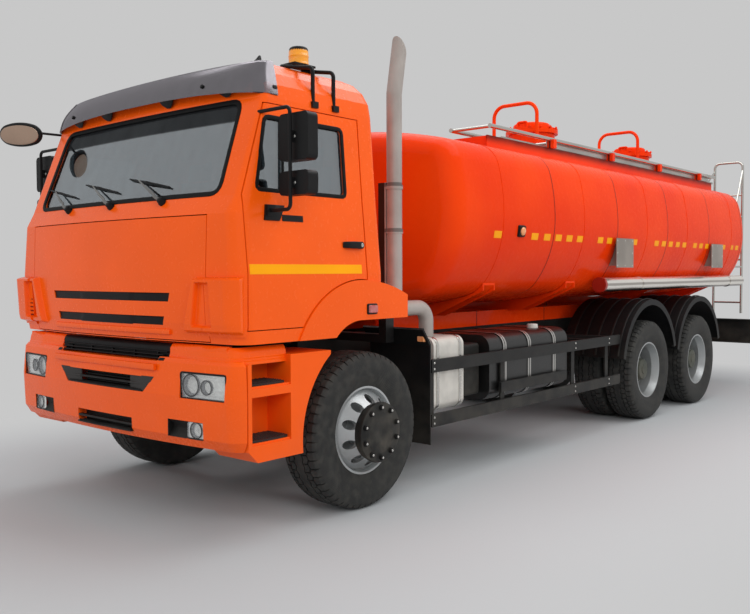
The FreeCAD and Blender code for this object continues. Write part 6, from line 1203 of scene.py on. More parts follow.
def cover(bounds, inset):
    """A clear sheet on the lamp's own skin."""
    x, z, y = lamp_place(bounds, 24, 10, inset)
    return sheet_behind(x, y, z, LAMP_WALL)


lamp_frames = [lamp_frame(HEAD_LAMP, 0.012, 0.030), lamp_frame(FOG_LAMP, 0.008, 0.024)] + fog_housing()
# The black ring round each bowl reaches a fifth of the way into it: a bezel, widened as a painted dark
# reflection.
lamp_frames += [bowl_rim(*r) for r in ((BIG_BOWL, BIG_RADIUS), (SMALL_BOWL, SMALL_RADIUS), (FOG_BOWL, 0.046))]
piece("lamp_frames", both_sides(lamp_frames), "truck", "black_plastic", 40)
covers = [cover(HEAD_LAMP, 0.004), cover(FOG_LAMP, 0.003)]
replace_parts(piece("lamp_covers", both_sides(covers), "truck", "lamp_clear", 40), "lamps")
print("lamps", 2 * len(covers))

# %% [markdown]
# ## Stripe and reflective squares
# A yellow reflective stripe runs along each door, and yellow squares run along the tank in groups
# between its bands. They are thin films on curved metal, so each is a patch laid on by rays.

# %% Stripe and squares
STRIPE_Y, STRIPE_Z = (-4.543, -3.580), (1.590, 1.648)
SQUARE_GROUPS = [[1.60], [2.19, 2.405, 2.61, 2.815, 3.02], [3.45, 3.65, 3.85, 4.05, 4.25],
                 [4.82, 5.02, 5.22, 5.43, 5.63], [5.97, 6.17, 6.37, 6.78, 6.98], [7.29, 7.49]]
SQUARE_Y = np.concatenate(SQUARE_GROUPS) + AXLES["front"]
SQUARE_LONG, SQUARE_HIGH, SQUARE_Z = 0.112, 0.058, 1.900
TANK_SKIN = surface_of("tank_shell")

for hand, side in SIDES:
    stripe = side_patch(DOOR_SKIN[side], side, STRIPE_Y, STRIPE_Z, 30, 4, 0.0004, 0.0014)
    piece("stripe_" + hand, [stripe], "door_" + hand, "tape_yellow", 40)
squares = [side_patch(TANK_SKIN, side, (y - SQUARE_LONG / 2, y + SQUARE_LONG / 2),
                      (SQUARE_Z - SQUARE_HIGH / 2, SQUARE_Z + SQUARE_HIGH / 2), 4, 4, 0.0005, 0.0016)
           for y in SQUARE_Y for side in (1, -1)]
piece("reflective_squares", squares, "truck", "tape_yellow", 40)
print("squares", len(squares))

# %% [markdown]
# ## Marker lamps
# Small lamps stand on the tank, on the cab's wings over the front wheels and on the flaps behind
# them. A moulded base sits square on the skin: one ray gives its place and the way the skin
# faces. The round lens is a turned profile, and the square ones are blocks whose sides taper.

# %% Marker lamps
TANK_MARKER, WING_MARKER, FLAP_MARKER = (-1.510, 1.938), (-3.494, 1.356), (1.165, -2.815, 1.115)
LENS = [(1.0, 0.0), (1.0, 0.4), (0.93, 0.62), (0.7, 0.82), (0.35, 0.95), (0.0, 1.0)]


def spot(tree, start, direction):
    """Place and normal where one ray meets a skin."""
    place, normal, _, _ = tree.ray_cast(Vector(start), Vector(direction))
    normal = np.array(normal) * (-1 if np.dot(normal, direction) > 0 else 1)
    return np.array(place), normal


def base_plate(place, normal, width, height, depth, radius):
    """Moulded block with rounded corners whose sides taper towards its face."""
    along = unit(np.cross((0.0, 0.0, 1.0), normal))
    upright = np.cross(normal, along)
    ring = bar_outline(width, height, radius, 5)
    rise = np.array([-0.004, 0.0, depth * 0.7, depth])
    taper = np.array([1.0, 1.0, 0.95, 0.86])
    points = place + rise[:, None, None] * normal + taper[:, None, None] * (
        ring[None, :, :1] * along + ring[None, :, 1:] * upright)
    return grid(points, wrap_columns=True, caps=True)


WING_SKIN = surface_of("cab_wings")
for hand, side in SIDES:
    inward = (-side, 0, 0)
    place, normal = spot(TANK_SKIN, (side * CAB_SIDE_START, *TANK_MARKER), inward)
    piece("tank_marker_base_" + hand, [base_plate(place, normal, 0.105, 0.100, 0.020, 0.014)], "truck",
          "black_plastic")
    dome = turned([(0.036 * r, 0.020 * d) for r, d in LENS], place + normal * 0.018, normal, 28)
    piece("tank_marker_" + hand, [dome], "truck", "amber_lens")
    place, normal = spot(WING_SKIN, (side * CAB_SIDE_START, *WING_MARKER), inward)
    piece("wing_marker_base_" + hand, [base_plate(place, normal, 0.104, 0.072, 0.010, 0.012)], "cab",
          "black_plastic")
    face = base_plate(place + normal * 0.010, normal, 0.084, 0.052, 0.012, 0.010)
    piece("wing_marker_" + hand, [face], "cab", "red_lens")
    place = np.array(FLAP_MARKER) * [side, 1, 1]
    block = base_plate(place, np.array([0.0, -1.0, 0.0]), 0.060, 0.055, 0.030, 0.010)
    piece("flap_marker_" + hand, [block], "truck", "amber_lens")
print("marker lamps", 3 * len(SIDES))

# %% [markdown]
# ## Sun visor
# The visor is a smoked band bolted round the top of the windscreen. Seen from above it follows a
# squarish oval, its lower edge arches up over the middle, and it swells outwards between its
# edges. End pieces overlap the middle one at both corners.

# %% Visor surface
VISOR_HALF, VISOR_DEPTH, VISOR_BACK, SQUARENESS = 1.160, 0.300, -4.150, 7.0
VISOR_LOW, VISOR_TOP = 2.658, 2.876
VISOR_WALL, VISOR_END = 0.005, 0.987
OVERLAP_START, OVERLAP_LIFT, BOLT_LIFT = 0.60, 0.0065, 0.006
CAB_MIDDLE = np.array([0.0, -3.9, 2.7])


def visor_place(around, height, lift=0.0):
    """Plan = a superellipse, smaller and flatter at the top; swell = sine of the height."""
    turn = around * math.pi / 2
    power = 2 / SQUARENESS
    wide = VISOR_HALF - 0.085 * height + 0.012 * np.sin(math.pi * height) + lift
    deep = VISOR_DEPTH - 0.135 * height + 0.026 * np.sin(math.pi * height) + lift
    x = wide * np.sign(turn) * np.abs(np.sin(turn)) ** power
    bow = 0.052 * (1 - 0.35 * height) * (x / VISOR_HALF) ** 2
    y = VISOR_BACK - deep * np.abs(np.cos(turn)) ** power + bow * np.abs(np.cos(turn)) ** power
    low = VISOR_LOW + 0.046 * (1 - np.abs(x / VISOR_HALF) ** 2.6)
    top = VISOR_TOP + 0.020 * (1 - np.abs(x / VISOR_HALF) ** 2.0)
    return np.stack([x, y, low + (top - low) * height], axis=-1)


def visor_band(start, end, low, lift, columns):
    """Evenly spaced band between two places round the plan, which run from -1 to 1."""
    fine = np.linspace(start, end, 900)
    line = visor_place(fine, 0.5)
    run = np.concatenate([[0], np.cumsum(np.linalg.norm(np.diff(line, axis=0), axis=1))])
    around = np.interp(np.linspace(0, run[-1], columns), run, fine)[:, None]
    height = np.linspace(low, 1.0, 14)[None] + 0 * around
    around = around + 0 * height
    return slab(visor_place(around, height, lift), visor_place(around, height, lift - VISOR_WALL))


visor = [visor_band(-VISOR_END, VISOR_END, 0.0, 0.0, 150),
         visor_band(OVERLAP_START, VISOR_END, 0.02, OVERLAP_LIFT, 60),
         visor_band(-VISOR_END, -OVERLAP_START, 0.02, OVERLAP_LIFT, 60)]
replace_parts(piece("visor_band", visor, "cab", "visor_smoke", 50), "sun_visor")
print("visor width", round(VISOR_HALF * 2, 3))

# %% [markdown]
# ## Visor bolts and brackets
# Domed bolts hold the overlaps, and wedge-shaped plates carry the visor from the cab's front. A
# bolt's axis is the cross product of two short steps along the visor's surface, so it stands
# upright on the plastic wherever it is.

# %% Visor fittings
BOLT = [(0.013, -0.004), (0.013, 0.002), (0.010, 0.005), (0.0, 0.006)]
BOLT_SPOTS = ((-0.22, 0.30), (0.10, 0.30), (0.965, 0.22), (0.978, 0.22), (-0.965, 0.22), (-0.978, 0.22))
BRACKET_X = (-0.80, -0.40, 0.30, 0.86)
SIDEWAYS_STEP, UPWARD_STEP = 0.002, 0.02


def visor_bolt(around, height):
    """A turned bolt at one place on the visor, its axis square to the surface."""
    row = visor_place(around + np.array([-SIDEWAYS_STEP, 0.0, SIDEWAYS_STEP]), np.full(3, height), BOLT_LIFT)
    higher = visor_place(np.array([around]), np.array([height + UPWARD_STEP]), BOLT_LIFT)[0]
    out = unit(np.cross(row[2] - row[0], higher - row[1]))
    return turned(BOLT, row[1], out * np.sign(out @ (row[1] - CAB_MIDDLE)), 18)


def visor_bracket(x):
    """Wedge plate on the cab's front under the visor: wide at the top, a point below."""
    back = 0.045 * (x / VISOR_HALF) ** 2
    path = [(x, -4.392 + back, 2.668), (x, -4.404 + back, 2.690), (x, -4.412 + back, 2.716)]
    return swept(path, bar_outline(0.150, 0.014, 0.005, 3), (0, -1, 0.4), scale=[0.25, 0.7, 1.0])


piece("visor_bolts", [visor_bolt(*s) for s in BOLT_SPOTS], "cab", "black_plastic")
piece("visor_brackets", [visor_bracket(x) for x in BRACKET_X], "cab", "black_plastic")
print("visor bolts", len(BOLT_SPOTS), "brackets", len(BRACKET_X))

# %% [markdown]
# ## Wipers
# Three wipers park to one side. Each has a spindle on the cowl, a tapering arm that bends over
# the glass, and a blade: a thin rubber edge held by a bowed spine with a yoke at its middle.

# %% Wipers
FACE_SKIN = surface_of("cab_shell", "cab_glass")
HUB = [(0.026, 0.0), (0.026, 0.018), (0.021, 0.026), (0.019, 0.040), (0.012, 0.044), (0.0, 0.045)]
SPINDLE_X, SPINDLE_Z = (0.540, 0.0, -0.540), 2.030
# From the spindle: the arm's joint, and the blade's left and right ends.
JOINT, BLADE_LEFT, BLADE_RIGHT = (-0.310, 2.182), (-0.440, 2.205), (0.010, 2.124)


def front_place(x, z, lift):
    """A place above the cab's front, by the lift along its normal."""
    hits, normals = cast_front(FACE_SKIN, np.asarray(x, float), np.asarray(z, float))
    normals = unit(normals + normals.mean(axis=0))
    return hits + normals * np.asarray(lift)[..., None], normals


def wiper(spindle):
    """Straight lines over the glass, lifted by sines: low at the edge, high along the arm."""
    share = np.linspace(0, 1, 17)
    left = spindle + BLADE_LEFT[0]
    x = left + (spindle + BLADE_RIGHT[0] - left) * share
    z = BLADE_LEFT[1] + (BLADE_RIGHT[1] - BLADE_LEFT[1]) * share
    edge, out = front_place(x, z, 0.007 + 0 * share)
    spine, _ = front_place(x, z, 0.014 + 0.012 * np.sin(math.pi * share))
    arm_x = spindle + (spindle + JOINT[0] - spindle) * share
    arm_z = SPINDLE_Z + (JOINT[1] - SPINDLE_Z) * share
    arm, arm_out = front_place(arm_x, arm_z, 0.024 + 0.022 * np.sin(math.pi * share ** 0.8) + 0.006 * share)
    foot, foot_out = front_place([spindle], [SPINDLE_Z], np.array([-0.004]))
    blade = swept(edge, bar_outline(0.007, 0.016, 0.002, 3), out)
    back = swept(spine, bar_outline(0.010, 0.006, 0.002, 3), out)
    holds = np.stack([edge[8] * 0.5 + edge[4] * 0.5, spine[8], edge[8] * 0.5 + edge[12] * 0.5])
    yoke = swept(holds + out[8] * 0.006, bar_outline(0.013, 0.008, 0.003, 3), out[8])
    hub = turned(HUB, foot[0], foot_out[0], 22)
    lever = swept(arm, bar_outline(0.018, 0.009, 0.003, 3), arm_out, scale=1.25 - 0.75 * share)
    return [blade, back, yoke, hub], [lever]


blades, arms = zip(*(wiper(x) for x in SPINDLE_X))
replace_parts(piece("wiper_blades", sum(blades, []), "cab", "black_plastic"), "wipers")
piece("wiper_arms", sum(arms, []), "cab", "wiper_grey")
print("wipers", len(SPINDLE_X))

# %% [markdown]
# ## Beacon and aerial
# The beacon's lens is amber plastic with fine upright ridges that scatter its light: a profile
# whose radius also wavers with the angle. A low black aerial stands on the roof beside it.

# %% Beacon lens
BEACON_PLACE, BEACON_RADIUS, BEACON_LOW, BEACON_HEIGHT = (0.930, -3.830), 0.0645, 2.9452, 0.1152
BEACON_RIDGES, RIDGE_SHARE = 32, 0.012


def beacon_lens():
    """Radius = profile(height) + ridge * cos(ridges * angle)."""
    rise = np.array([0.0, 0.004, 0.008, 0.03, 0.05, 0.052, 0.056, 0.058, 0.08, 0.098, 0.106, 0.112,
                     0.115]) / 0.115
    shape = np.array([1.03, 1.05, 1.0, 1.0, 1.0, 1.025, 1.025, 1.0, 0.985, 0.94, 0.84, 0.55, 0.0])[:, None]
    turn = np.linspace(0, 2 * math.pi, BEACON_RIDGES * 4, endpoint=False)[None]
    r = BEACON_RADIUS * shape * (1 + RIDGE_SHARE * np.cos(BEACON_RIDGES * turn) * (shape > 0.9))
    points = joined(BEACON_PLACE[0] + r * np.cos(turn), BEACON_PLACE[1] + r * np.sin(turn),
                    BEACON_LOW + BEACON_HEIGHT * rise[:, None])
    return grid(points, wrap_columns=True, caps=True)


piece("beacon_lens", [beacon_lens()], "cab", "beacon_amber", 60)
print("beacon top", round(BEACON_LOW + BEACON_HEIGHT, 3))

# %% Roof aerial
AERIAL_HALF_WIDTH, AERIAL_HALF_LENGTH, AERIAL_LEAN = 0.026, 0.050, 0.35
levels = np.array([[1.0, 0.0], [1.0, 0.008], [0.72, 0.014], [0.42, 0.034], [0.22, 0.054], [0.10, 0.060]])
aerial_place, _ = spot(surface_of("cab_shell"), (0.900, -4.160, 4.0), (0, 0, -1))
ring = np.array([(math.cos(a), math.sin(a)) for a in np.linspace(0, 2 * math.pi, 24, endpoint=False)])
size, rise = levels[:, :1], levels[:, 1:]
# An ellipse that shrinks with height, and slides back by a share of the height.
aerial = joined(aerial_place[0] + size * ring[None, :, 0] * AERIAL_HALF_WIDTH,
                aerial_place[1] + size * ring[None, :, 1] * AERIAL_HALF_LENGTH + rise * AERIAL_LEAN,
                aerial_place[2] - 0.004 + rise)
piece("roof_aerial", [grid(aerial, wrap_columns=True, caps=True)], "cab", "black_plastic",
      40)
print("aerial height", round(float(rise.max()) - 0.004, 3))

# %% [markdown]
# ## Mirror glass
# Mirror glass faces the rear, so it only shows from behind, in its own thin rim. The pane swells a
# little in the middle, and its corners are rounded by pulling them in.

# %% Mirror glass
MIRROR_X, PANE_HALF, PANE_RIM, PANE_Y, PANE_BACK = 1.400, 0.108, 0.012, -4.2590, -4.2605
PANES = ((2.243, 2.514), (2.045, 2.184))


def mirror_glass(side, z_low, z_top):
    """Pillow-shaped pane: depth is a product of two parabolas over a rounded rectangle."""
    x, z = np.linspace(-1, 1, 22)[:, None], np.linspace(-1, 1, 22)[None]
    soft = 1 - 0.10 * (x ** 2 * z ** 2) ** 2
    px = side * MIRROR_X + x * soft * PANE_HALF
    pz = (z_low + z_top) / 2 + z * soft * ((z_top - z_low) / 2 - PANE_RIM)
    py = PANE_Y + 0.006 * (1 - x ** 2) * (1 - z ** 2)
    return slab(joined(px, py, pz), joined(px, PANE_BACK, pz))


print("glass panes on each side", len(PANES))

# %% [markdown]
# ## Door handles and mirror feet
# The black handle is a bar over a shallow cup with a round lock at its rear end. The mirror's
# foot is a wedge with a plain strip behind it. All of it lies on the door's skin, so it is found
# by rays and rides the door.

# %% Handles and mirror feet
HANDLE_Y, HANDLE_Z, CUP_Z, LOCK_Y = (-3.742, -3.572), 1.775, 1.812, -3.590
FOOT_Y, FOOT_Z, FOOT_HIGH = -4.428, 1.905, 0.092
STRIP_Y, STRIP_Z = (-4.262, -4.090), (1.905, 1.943)
LOCK = [(0.024, 0.0), (0.024, 0.030), (0.021, 0.034), (0.0, 0.034)]
BARREL = [(0.013, 0.030), (0.013, 0.0365), (0.011, 0.038), (0.0, 0.038)]


def door_handle(side):
    """A bar that stands off the skin by 1 - share^6, the round lock and its bright barrel."""
    y = np.linspace(*HANDLE_Y, 15)
    hits, _ = cast_side(DOOR_SKIN[side], side, y, CUP_Z)
    share = np.linspace(-1, 1, 15)
    wall = side * np.interp(0, share, side * hits[:, 0])
    bar = joined(wall + side * (0.004 + 0.026 * (1 - share ** 6)), y, HANDLE_Z)
    grip = swept(bar, bar_outline(0.020, 0.046, 0.007, 4), UPWARD,
                 scale=0.72 + 0.28 * np.sqrt(1 - 0.9 * share ** 2))
    place, outward = (wall, LOCK_Y, HANDLE_Z), (side, 0, 0)
    return [grip, turned(LOCK, place, outward, 26)], [turned(BARREL, place, outward, 20)]


def mirror_foot(side):
    """A wedge whose height is a sine along it times a sine across it, and the strip behind it."""
    along, rise = np.linspace(0, 1, 12)[:, None], np.linspace(0, 1, 6)[None]
    y = FOOT_Y + (0.018 + 0.016 * rise) + (0.150 - 0.030 * (1 - rise)) * along
    hits, out = cast_side(DOOR_SKIN[side], side, y, FOOT_Z + FOOT_HIGH * rise)
    bulge = 0.012 + 0.010 * np.sin(math.pi * along) * np.sin(math.pi * rise)
    wedge = slab(hits + out * bulge[..., None], hits + out * 0.0005)
    return [wedge, side_patch(DOOR_SKIN[side], side, STRIP_Y, STRIP_Z, 8, 3, 0.0004, 0.0035)]


for hand, side in SIDES:
    black, bright = door_handle(side)
    piece("handle_" + hand, black + mirror_foot(side), "door_" + hand, "black_plastic")
    piece("lock_" + hand, bright, "door_" + hand, "bolt_steel")
    panes = [mirror_glass(side, *heights) for heights in PANES]
    piece("mirror_glass_" + hand, panes, "door_" + hand, "mirror_silver")
print("doors", len(SIDES))

# %% [markdown]
# ## Corner deflectors
# At each front corner a raised shell turns air away from the door. It wraps the corner, so its
# skin is found by rays that point at an upright axis inside the cab, and its height above the
# skin is a smooth step with a sunk panel. The part over the lid's edge belongs to the lid.

# %% Corner deflectors
CORNER_SKIN = surface_of("cab_shell", "front_lid")
FLARE_LOW, FLARE_TOP = 1.245, 1.575
CORNER_X, CORNER_Y, CORNER_RADIUS, RAY_START = 1.150, -4.480, 0.105, 1.2


def smooth_step(value, low, high):
    """0 below low, 1 above high, 3 s^2 - 2 s^3 between."""
    share = np.clip((value - low) / (high - low), 0, 1)
    return share ** 2 * (3 - 2 * share)


def between(value, low, low_full, top_full, top):
    """A smooth step up after low times a smooth step down before top."""
    return smooth_step(value, low, low_full) * smooth_step(-value, -top, -top_full)


def corner_skin(side, run, z):
    """Places on the skin and the ways out of it, by the distance run round the corner."""
    turn = np.clip((run - CORNER_X) / CORNER_RADIUS, 0, math.pi / 2)
    aim = np.stack([side * np.sin(turn), -np.cos(turn), 0 * turn], axis=-1)
    back = np.maximum(run - CORNER_X - CORNER_RADIUS * math.pi / 2, 0.0)
    anchor = joined(side * np.minimum(run, CORNER_X), CORNER_Y + back, 0.0)
    starts = anchor + aim * RAY_START + joined(0.0, 0.0, z)
    flat = starts.reshape(-1, 3)
    ways = np.broadcast_to(-aim, starts.shape).reshape(-1, 3)
    found = [CORNER_SKIN.ray_cast(Vector(s), Vector(w)) for s, w in zip(flat, ways)]
    far = np.array([h[3] if h[0] is not None else 1.1 for h in found])
    return (flat + ways * far[:, None]).reshape(starts.shape), aim


def deflector(side, x_from, x_to, rim):
    """Height = rim step x (shell - sunk panel) over distance along the corner and height."""
    z = np.linspace(FLARE_LOW, FLARE_TOP, 56)[None]
    share = (z - FLARE_LOW) / 0.330
    run = np.linspace(x_from, x_to, 80)[:, None]
    hits, aim = corner_skin(side, run, z)
    left_edge = 0.905 - 0.105 * (1 - share)
    edge = smooth_step(run, left_edge, left_edge + 0.020) * smooth_step(z, FLARE_LOW, 1.262)
    edge = edge * smooth_step(-z, -FLARE_TOP, -1.558) * smooth_step(-run, -x_to, -x_to + rim)
    low, top = 0.060 * (1 - share), 0.012 * (1 - share)
    sunk = smooth_step(run, 0.940 - low, 0.952 - low) * smooth_step(-run, -1.060 - top, -1.046 - top)
    sunk = sunk * between(z, 1.282, 1.296, 1.534, 1.546)
    height = 0.0008 + edge * (0.038 + 0.006 * share) - sunk * edge * 0.033
    return slab(hits + aim * height[..., None], hits + aim * 0.0002)


for hand, side in SIDES:
    piece("deflector_" + hand, [deflector(side, 0.9905, 1.226, 0.008)], "cab", "cab_orange",
          25)
    piece("lid_flare_" + hand, [deflector(side, 0.790, 0.9800, 0.0005)], "lid_front_panel", "cab_orange",
          25)
print("deflectors", len(SIDES))

# %% [markdown]
# ## Vent, lip and brow
# Beside the lid one corner has a short stack of red vent bars. A lip runs along the lid's lower
# edge and a brow along the bumper's upper edge: both are bars that follow the bowed front. The
# brow stops short of the CAD box, so the middle of it is cut flat.

# %% Vent, lip and brow
VENT_START, VENT_END, VENT_BARS = (-0.996, -4.6620), (-1.0440, -4.6540), (1.300, 1.525, 9)
LIP_HALF, LIP_Z, BROW_X, BROW_Z, BROW_FRONT = 0.66, 1.243, (-0.60, 0.56), 1.026, -4.7190
vent = [swept([(*VENT_START, z), (*VENT_END, z)], bar_outline(0.012, 0.010, 0.003, 3))
        for z in np.linspace(*VENT_BARS)]
piece("corner_vent", vent, "cab", "vent_red", 30)
x = np.linspace(-LIP_HALF, LIP_HALF, 45)
lip = slat(x, np.interp(x, *front_of(LID_SKIN, 0.90, 1.245)) - 0.003, LIP_Z, 0.022, 0.034, 0.0)
piece("lid_lip", [lip], "lid_front_panel", "cab_orange", 30)
x = np.linspace(*BROW_X, 45)
brow = slat(x, np.maximum(bumper_y(x) - 0.001, BROW_FRONT), BROW_Z, 0.020, 0.040, 0.0)
piece("bumper_brow", [brow], "truck", "cab_orange", 30)
print("vent bars", len(vent))

# %% [markdown]
# ## Ridged moulding between bumper and cab
# A moulding with three level ridges runs from the front round each corner to the door step. One
# outline of distance and height is carried along a plan path, and each of its points is pushed
# out at right angles to the path.

# %% Ridged moulding
MOULD_START, MOULD_END, MOULD_BACK, MOULD_TURN, MOULD_WALL = 0.622, 1.115, -4.215, 0.075, 0.004
MOULD_X, MOULD_Y = front_of(BUMPER_SKIN, 1.12, 1.100)
RIDGES = np.array([(-0.019, 1.166), (-0.006, 1.150), (0.0015, 1.130), (0.0015, 1.120), (0.004, 1.114),
                   (0.004, 1.106), (0.009, 1.100), (0.009, 1.090), (0.015, 1.084), (0.015, 1.066)])


def plan_line(side):
    """Path round the corner below the cab: along the front, a quarter circle, then back."""
    x = np.linspace(MOULD_START, MOULD_END, 26)
    front = np.stack([x, np.interp(x, MOULD_X, MOULD_Y) - SUNK], axis=-1)
    turn = np.linspace(0, math.pi / 2, 12)[1:]
    corner = front[-1] + MOULD_TURN * np.stack([np.sin(turn), 1 - np.cos(turn)], axis=-1)
    y = np.linspace(corner[-1, 1], MOULD_BACK, 14)[1:]
    back = np.stack([0 * y + corner[-1, 0], y], axis=-1)
    return np.concatenate([front, corner, back]) * [side, 1]


def ridged_moulding(side):
    """Place = path point + the outline's distance along the way out, at the outline's height."""
    line = plan_line(side)
    ahead = unit(np.gradient(line, axis=0))
    out = np.stack([ahead[:, 1], -ahead[:, 0]], axis=-1) * side
    outer = line[:, None] + out[:, None] * RIDGES[None, :, :1]
    inner = outer - out[:, None] * MOULD_WALL
    return slab(*(joined(sheet[..., 0], sheet[..., 1], RIDGES[None, :, 1]) for sheet in (outer, inner)))


for hand, side in SIDES:
    piece("ridged_moulding_" + hand, [ridged_moulding(side)], "truck", "cab_orange", 30)
print("points round the moulding", len(plan_line(1)))

# %% [markdown]
# ## Step treads
# The entry steps are pressed iron plates. A saw-toothed edge and rows of raised diamonds give
# grip. The diamonds are one low turned form with four sides, copied over the plate in rows that
# are shifted by turns.

# %% Step treads
TREADS = ((0.942, -4.530, -4.262), (0.612, -4.530, -4.236))
TREAD_INNER, TREAD_OUTER, TREAD_BOW, SAW_DEPTH, SAW_PITCH = 1.050, 1.225, 0.017, 0.004, 95
DIAMOND = [(0.0085, 0.0), (0.0070, 0.003), (0.0035, 0.006), (0.0, 0.006)]
DIAMOND_COLUMNS, DIAMOND_ROWS, ROW_SHIFT = 8, 15, 0.010


def tread_plate(side, z, front, back):
    """Outer edge = straight + bow - folded line as saw teeth; the plate is 12 mm thick."""
    y = np.linspace(front, back, 49)
    saw = SAW_DEPTH * np.abs(((y - front) * SAW_PITCH) % 2 - 1)
    edge = TREAD_OUTER + TREAD_BOW * np.sin(math.pi * (y - front) / (back - front)) ** 0.4 - saw
    top = joined(side * np.stack([0 * y + TREAD_INNER, edge], axis=-1), y[:, None], z + 0.014)
    x, y = np.meshgrid(np.linspace(1.065, 1.205, DIAMOND_COLUMNS),
                       np.linspace(front + 0.015, back - 0.015, DIAMOND_ROWS))
    x = x + ROW_SHIFT * (np.arange(DIAMOND_ROWS) % 2)[:, None]
    diamond = turned(DIAMOND, (0, 0, z + 0.0135), UPWARD, 4)
    return [slab(top, top - [0, 0, 0.012]), moved(diamond, joined(side * x, y, 0.0))]


for hand, side in SIDES:
    plates = [part for tread in TREADS for part in tread_plate(side, *tread)]
    piece("step_treads_" + hand, plates, "truck", "tread_iron", 25)
print("step treads", len(TREADS) * len(SIDES))

# %% [markdown]
# ## Walkway grating
# The walkways on the tank are open steel grating: upright bearing bars with round rods across
# them, held in an edge angle. Bars and rods are one swept form each, copied along the deck.

# %% Grating
DECK_INNER, DECK_OUTER, DECK_START, DECK_END = 0.335, 0.755, -1.095, 4.395
BAR_MIDDLE, ROD_MIDDLE, EDGE_MIDDLE, DECK_BARS, ROD_PITCH = 2.813, 2.8225, 2.814, 12, 0.060
ROD_Y = np.arange(DECK_START + 0.04, DECK_END - 0.02, ROD_PITCH)


def grating(side):
    """Bars at even X, rods at even Y, and a flat bar along each edge."""
    x = side * np.linspace(DECK_INNER + 0.02, DECK_OUTER - 0.02, DECK_BARS)
    bar = swept([(0, DECK_START, BAR_MIDDLE), (0, DECK_END, BAR_MIDDLE)],
                bar_outline(0.004, 0.022, 0.0015, 2))
    rod = swept([(side * DECK_INNER, 0, ROD_MIDDLE), (side * DECK_OUTER, 0, ROD_MIDDLE)],
                bar_outline(0.007, 0.006, 0.002, 2))
    edges = []
    for middle in (DECK_INNER + 0.003, DECK_OUTER - 0.003):
        path = [(side * middle, DECK_START, EDGE_MIDDLE), (side * middle, DECK_END, EDGE_MIDDLE)]
        edges.append(swept(path, bar_outline(0.006, 0.026, 0.002, 3)))
    return [moved(bar, joined(x, 0.0, 0.0)), moved(rod, joined(0.0, ROD_Y, 0.0))] + edges


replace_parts(piece("walkway_grating", grating(1) + grating(-1), "truck", "grating_steel", 35),
            "walkway_decks")
kick = swept([(0.768, -0.30, 2.848), (0.768, 4.16, 2.848)], bar_outline(0.006, 0.068, 0.002, 3))
piece("kick_band", [kick], "truck", "grating_steel")
print("grating rods", 2 * len(ROD_Y))

# %% [markdown]
# ## Hatch bolts and filler cap
# Swing bolts stand round each hatch and clamp it down: one turned stud with its nut, copied round
# a circle, with a gap where the lid's hinge is. The fuel filler has a pale cap, turned from a
# stepped profile.

# %% Hatch bolts and filler cap
SWING = [(0.0065, -0.030), (0.0065, 0.020), (0.0140, 0.021), (0.0140, 0.034), (0.0085, 0.036),
         (0.0070, 0.044), (0.0, 0.045)]
HATCHES = (("front", 0.740), ("rear", 3.340))
HATCH_TOP, BOLT_RING, BOLT_PLACES, HINGE_GAP = 3.160, 0.279, 14, 0.97
CAP_PLACE = (0.950, -0.870, 0.0)
CAP = [(0.0, 1.0790), (0.050, 1.0790), (0.052, 1.083), (0.050, 1.094), (0.049, 1.112), (0.045, 1.117),
       (0.030, 1.1185), (0.0, 1.119)]
turn = (np.arange(BOLT_PLACES) + 0.5) * 2 * math.pi / BOLT_PLACES
turn = turn[np.abs(np.cos(turn - math.pi * 1.5)) < HINGE_GAP]
for place, y in HATCHES:
    one = turned(SWING, (0.0, y, HATCH_TOP), UPWARD, 12)
    bolts = moved(one, joined(BOLT_RING * np.cos(turn), BOLT_RING * np.sin(turn), 0.0))
    piece("hatch_bolts_" + place, [bolts], "truck", "tank_red", 30)
piece("filler_cap", [turned(CAP, CAP_PLACE, UPWARD, 40)], "truck", "cap_white", 30)
print("swing bolts", len(HATCHES) * len(turn))

# %% [markdown]
# ## Mudguard ribs, guard bolts and rivets
# The mudguards have pressed ribs round their arcs, which keep the thin sheet stiff: a flat bar
# swept round part of a circle. The side guards' brackets and the tank's plates are fixed with
# domed heads, all of one small profile.

# %% Mudguard ribs
RIB_RADIUS, RIB_CENTRE_Z, RIB_FROM, RIB_TO = 0.7195, 0.580, 16.0, 168.0
RIB_X = (0.66, 0.80, 0.94, 1.08, 1.19)


def guard_rib(x, axle):
    """Path = axle + radius * (cos, sin) from one angle to the other, upright along the radius."""
    turn = np.radians(np.linspace(RIB_FROM, RIB_TO, 60))
    path = joined(x, axle + RIB_RADIUS * np.cos(turn), RIB_CENTRE_Z + RIB_RADIUS * np.sin(turn))
    return swept(path, bar_outline(0.020, 0.009, 0.004, 3), joined(0.0, np.cos(turn), np.sin(turn)))


ribs = [guard_rib(side * x, AXLES[place]) for _, side in SIDES for x in RIB_X
        for place in ("rear_1", "rear_2")]
piece("mudguard_ribs", ribs, "truck", "guard_black", 40)
print("mudguard ribs", len(ribs))

# %% Guard bolts and plate rivets
DOME = [(0.0095, 0.0), (0.0090, 0.003), (0.0060, 0.0058), (0.0, 0.0065)]
RIVET = [(r * 0.8, d * 0.5) for r, d in DOME]
GUARD_X, GUARD_BOLT_Y, GUARD_BOLT_Z = 1.200, (-2.718, -0.505, 0.206), (0.475, 0.520, 0.880, 0.925)
PLATE_X, PLATE_Y, RIVET_Y, RIVET_Z = 1.2465, (0.460, 3.165), (-0.175, 0.0, 0.175), (1.655, 1.781, 1.905)
dots = [turned(DOME, (side * GUARD_X, y, z), (side, 0, 0), 12)
        for _, side in SIDES for y in GUARD_BOLT_Y for z in GUARD_BOLT_Z]
piece("guard_bolts", dots, "truck", "bolt_steel", 30)
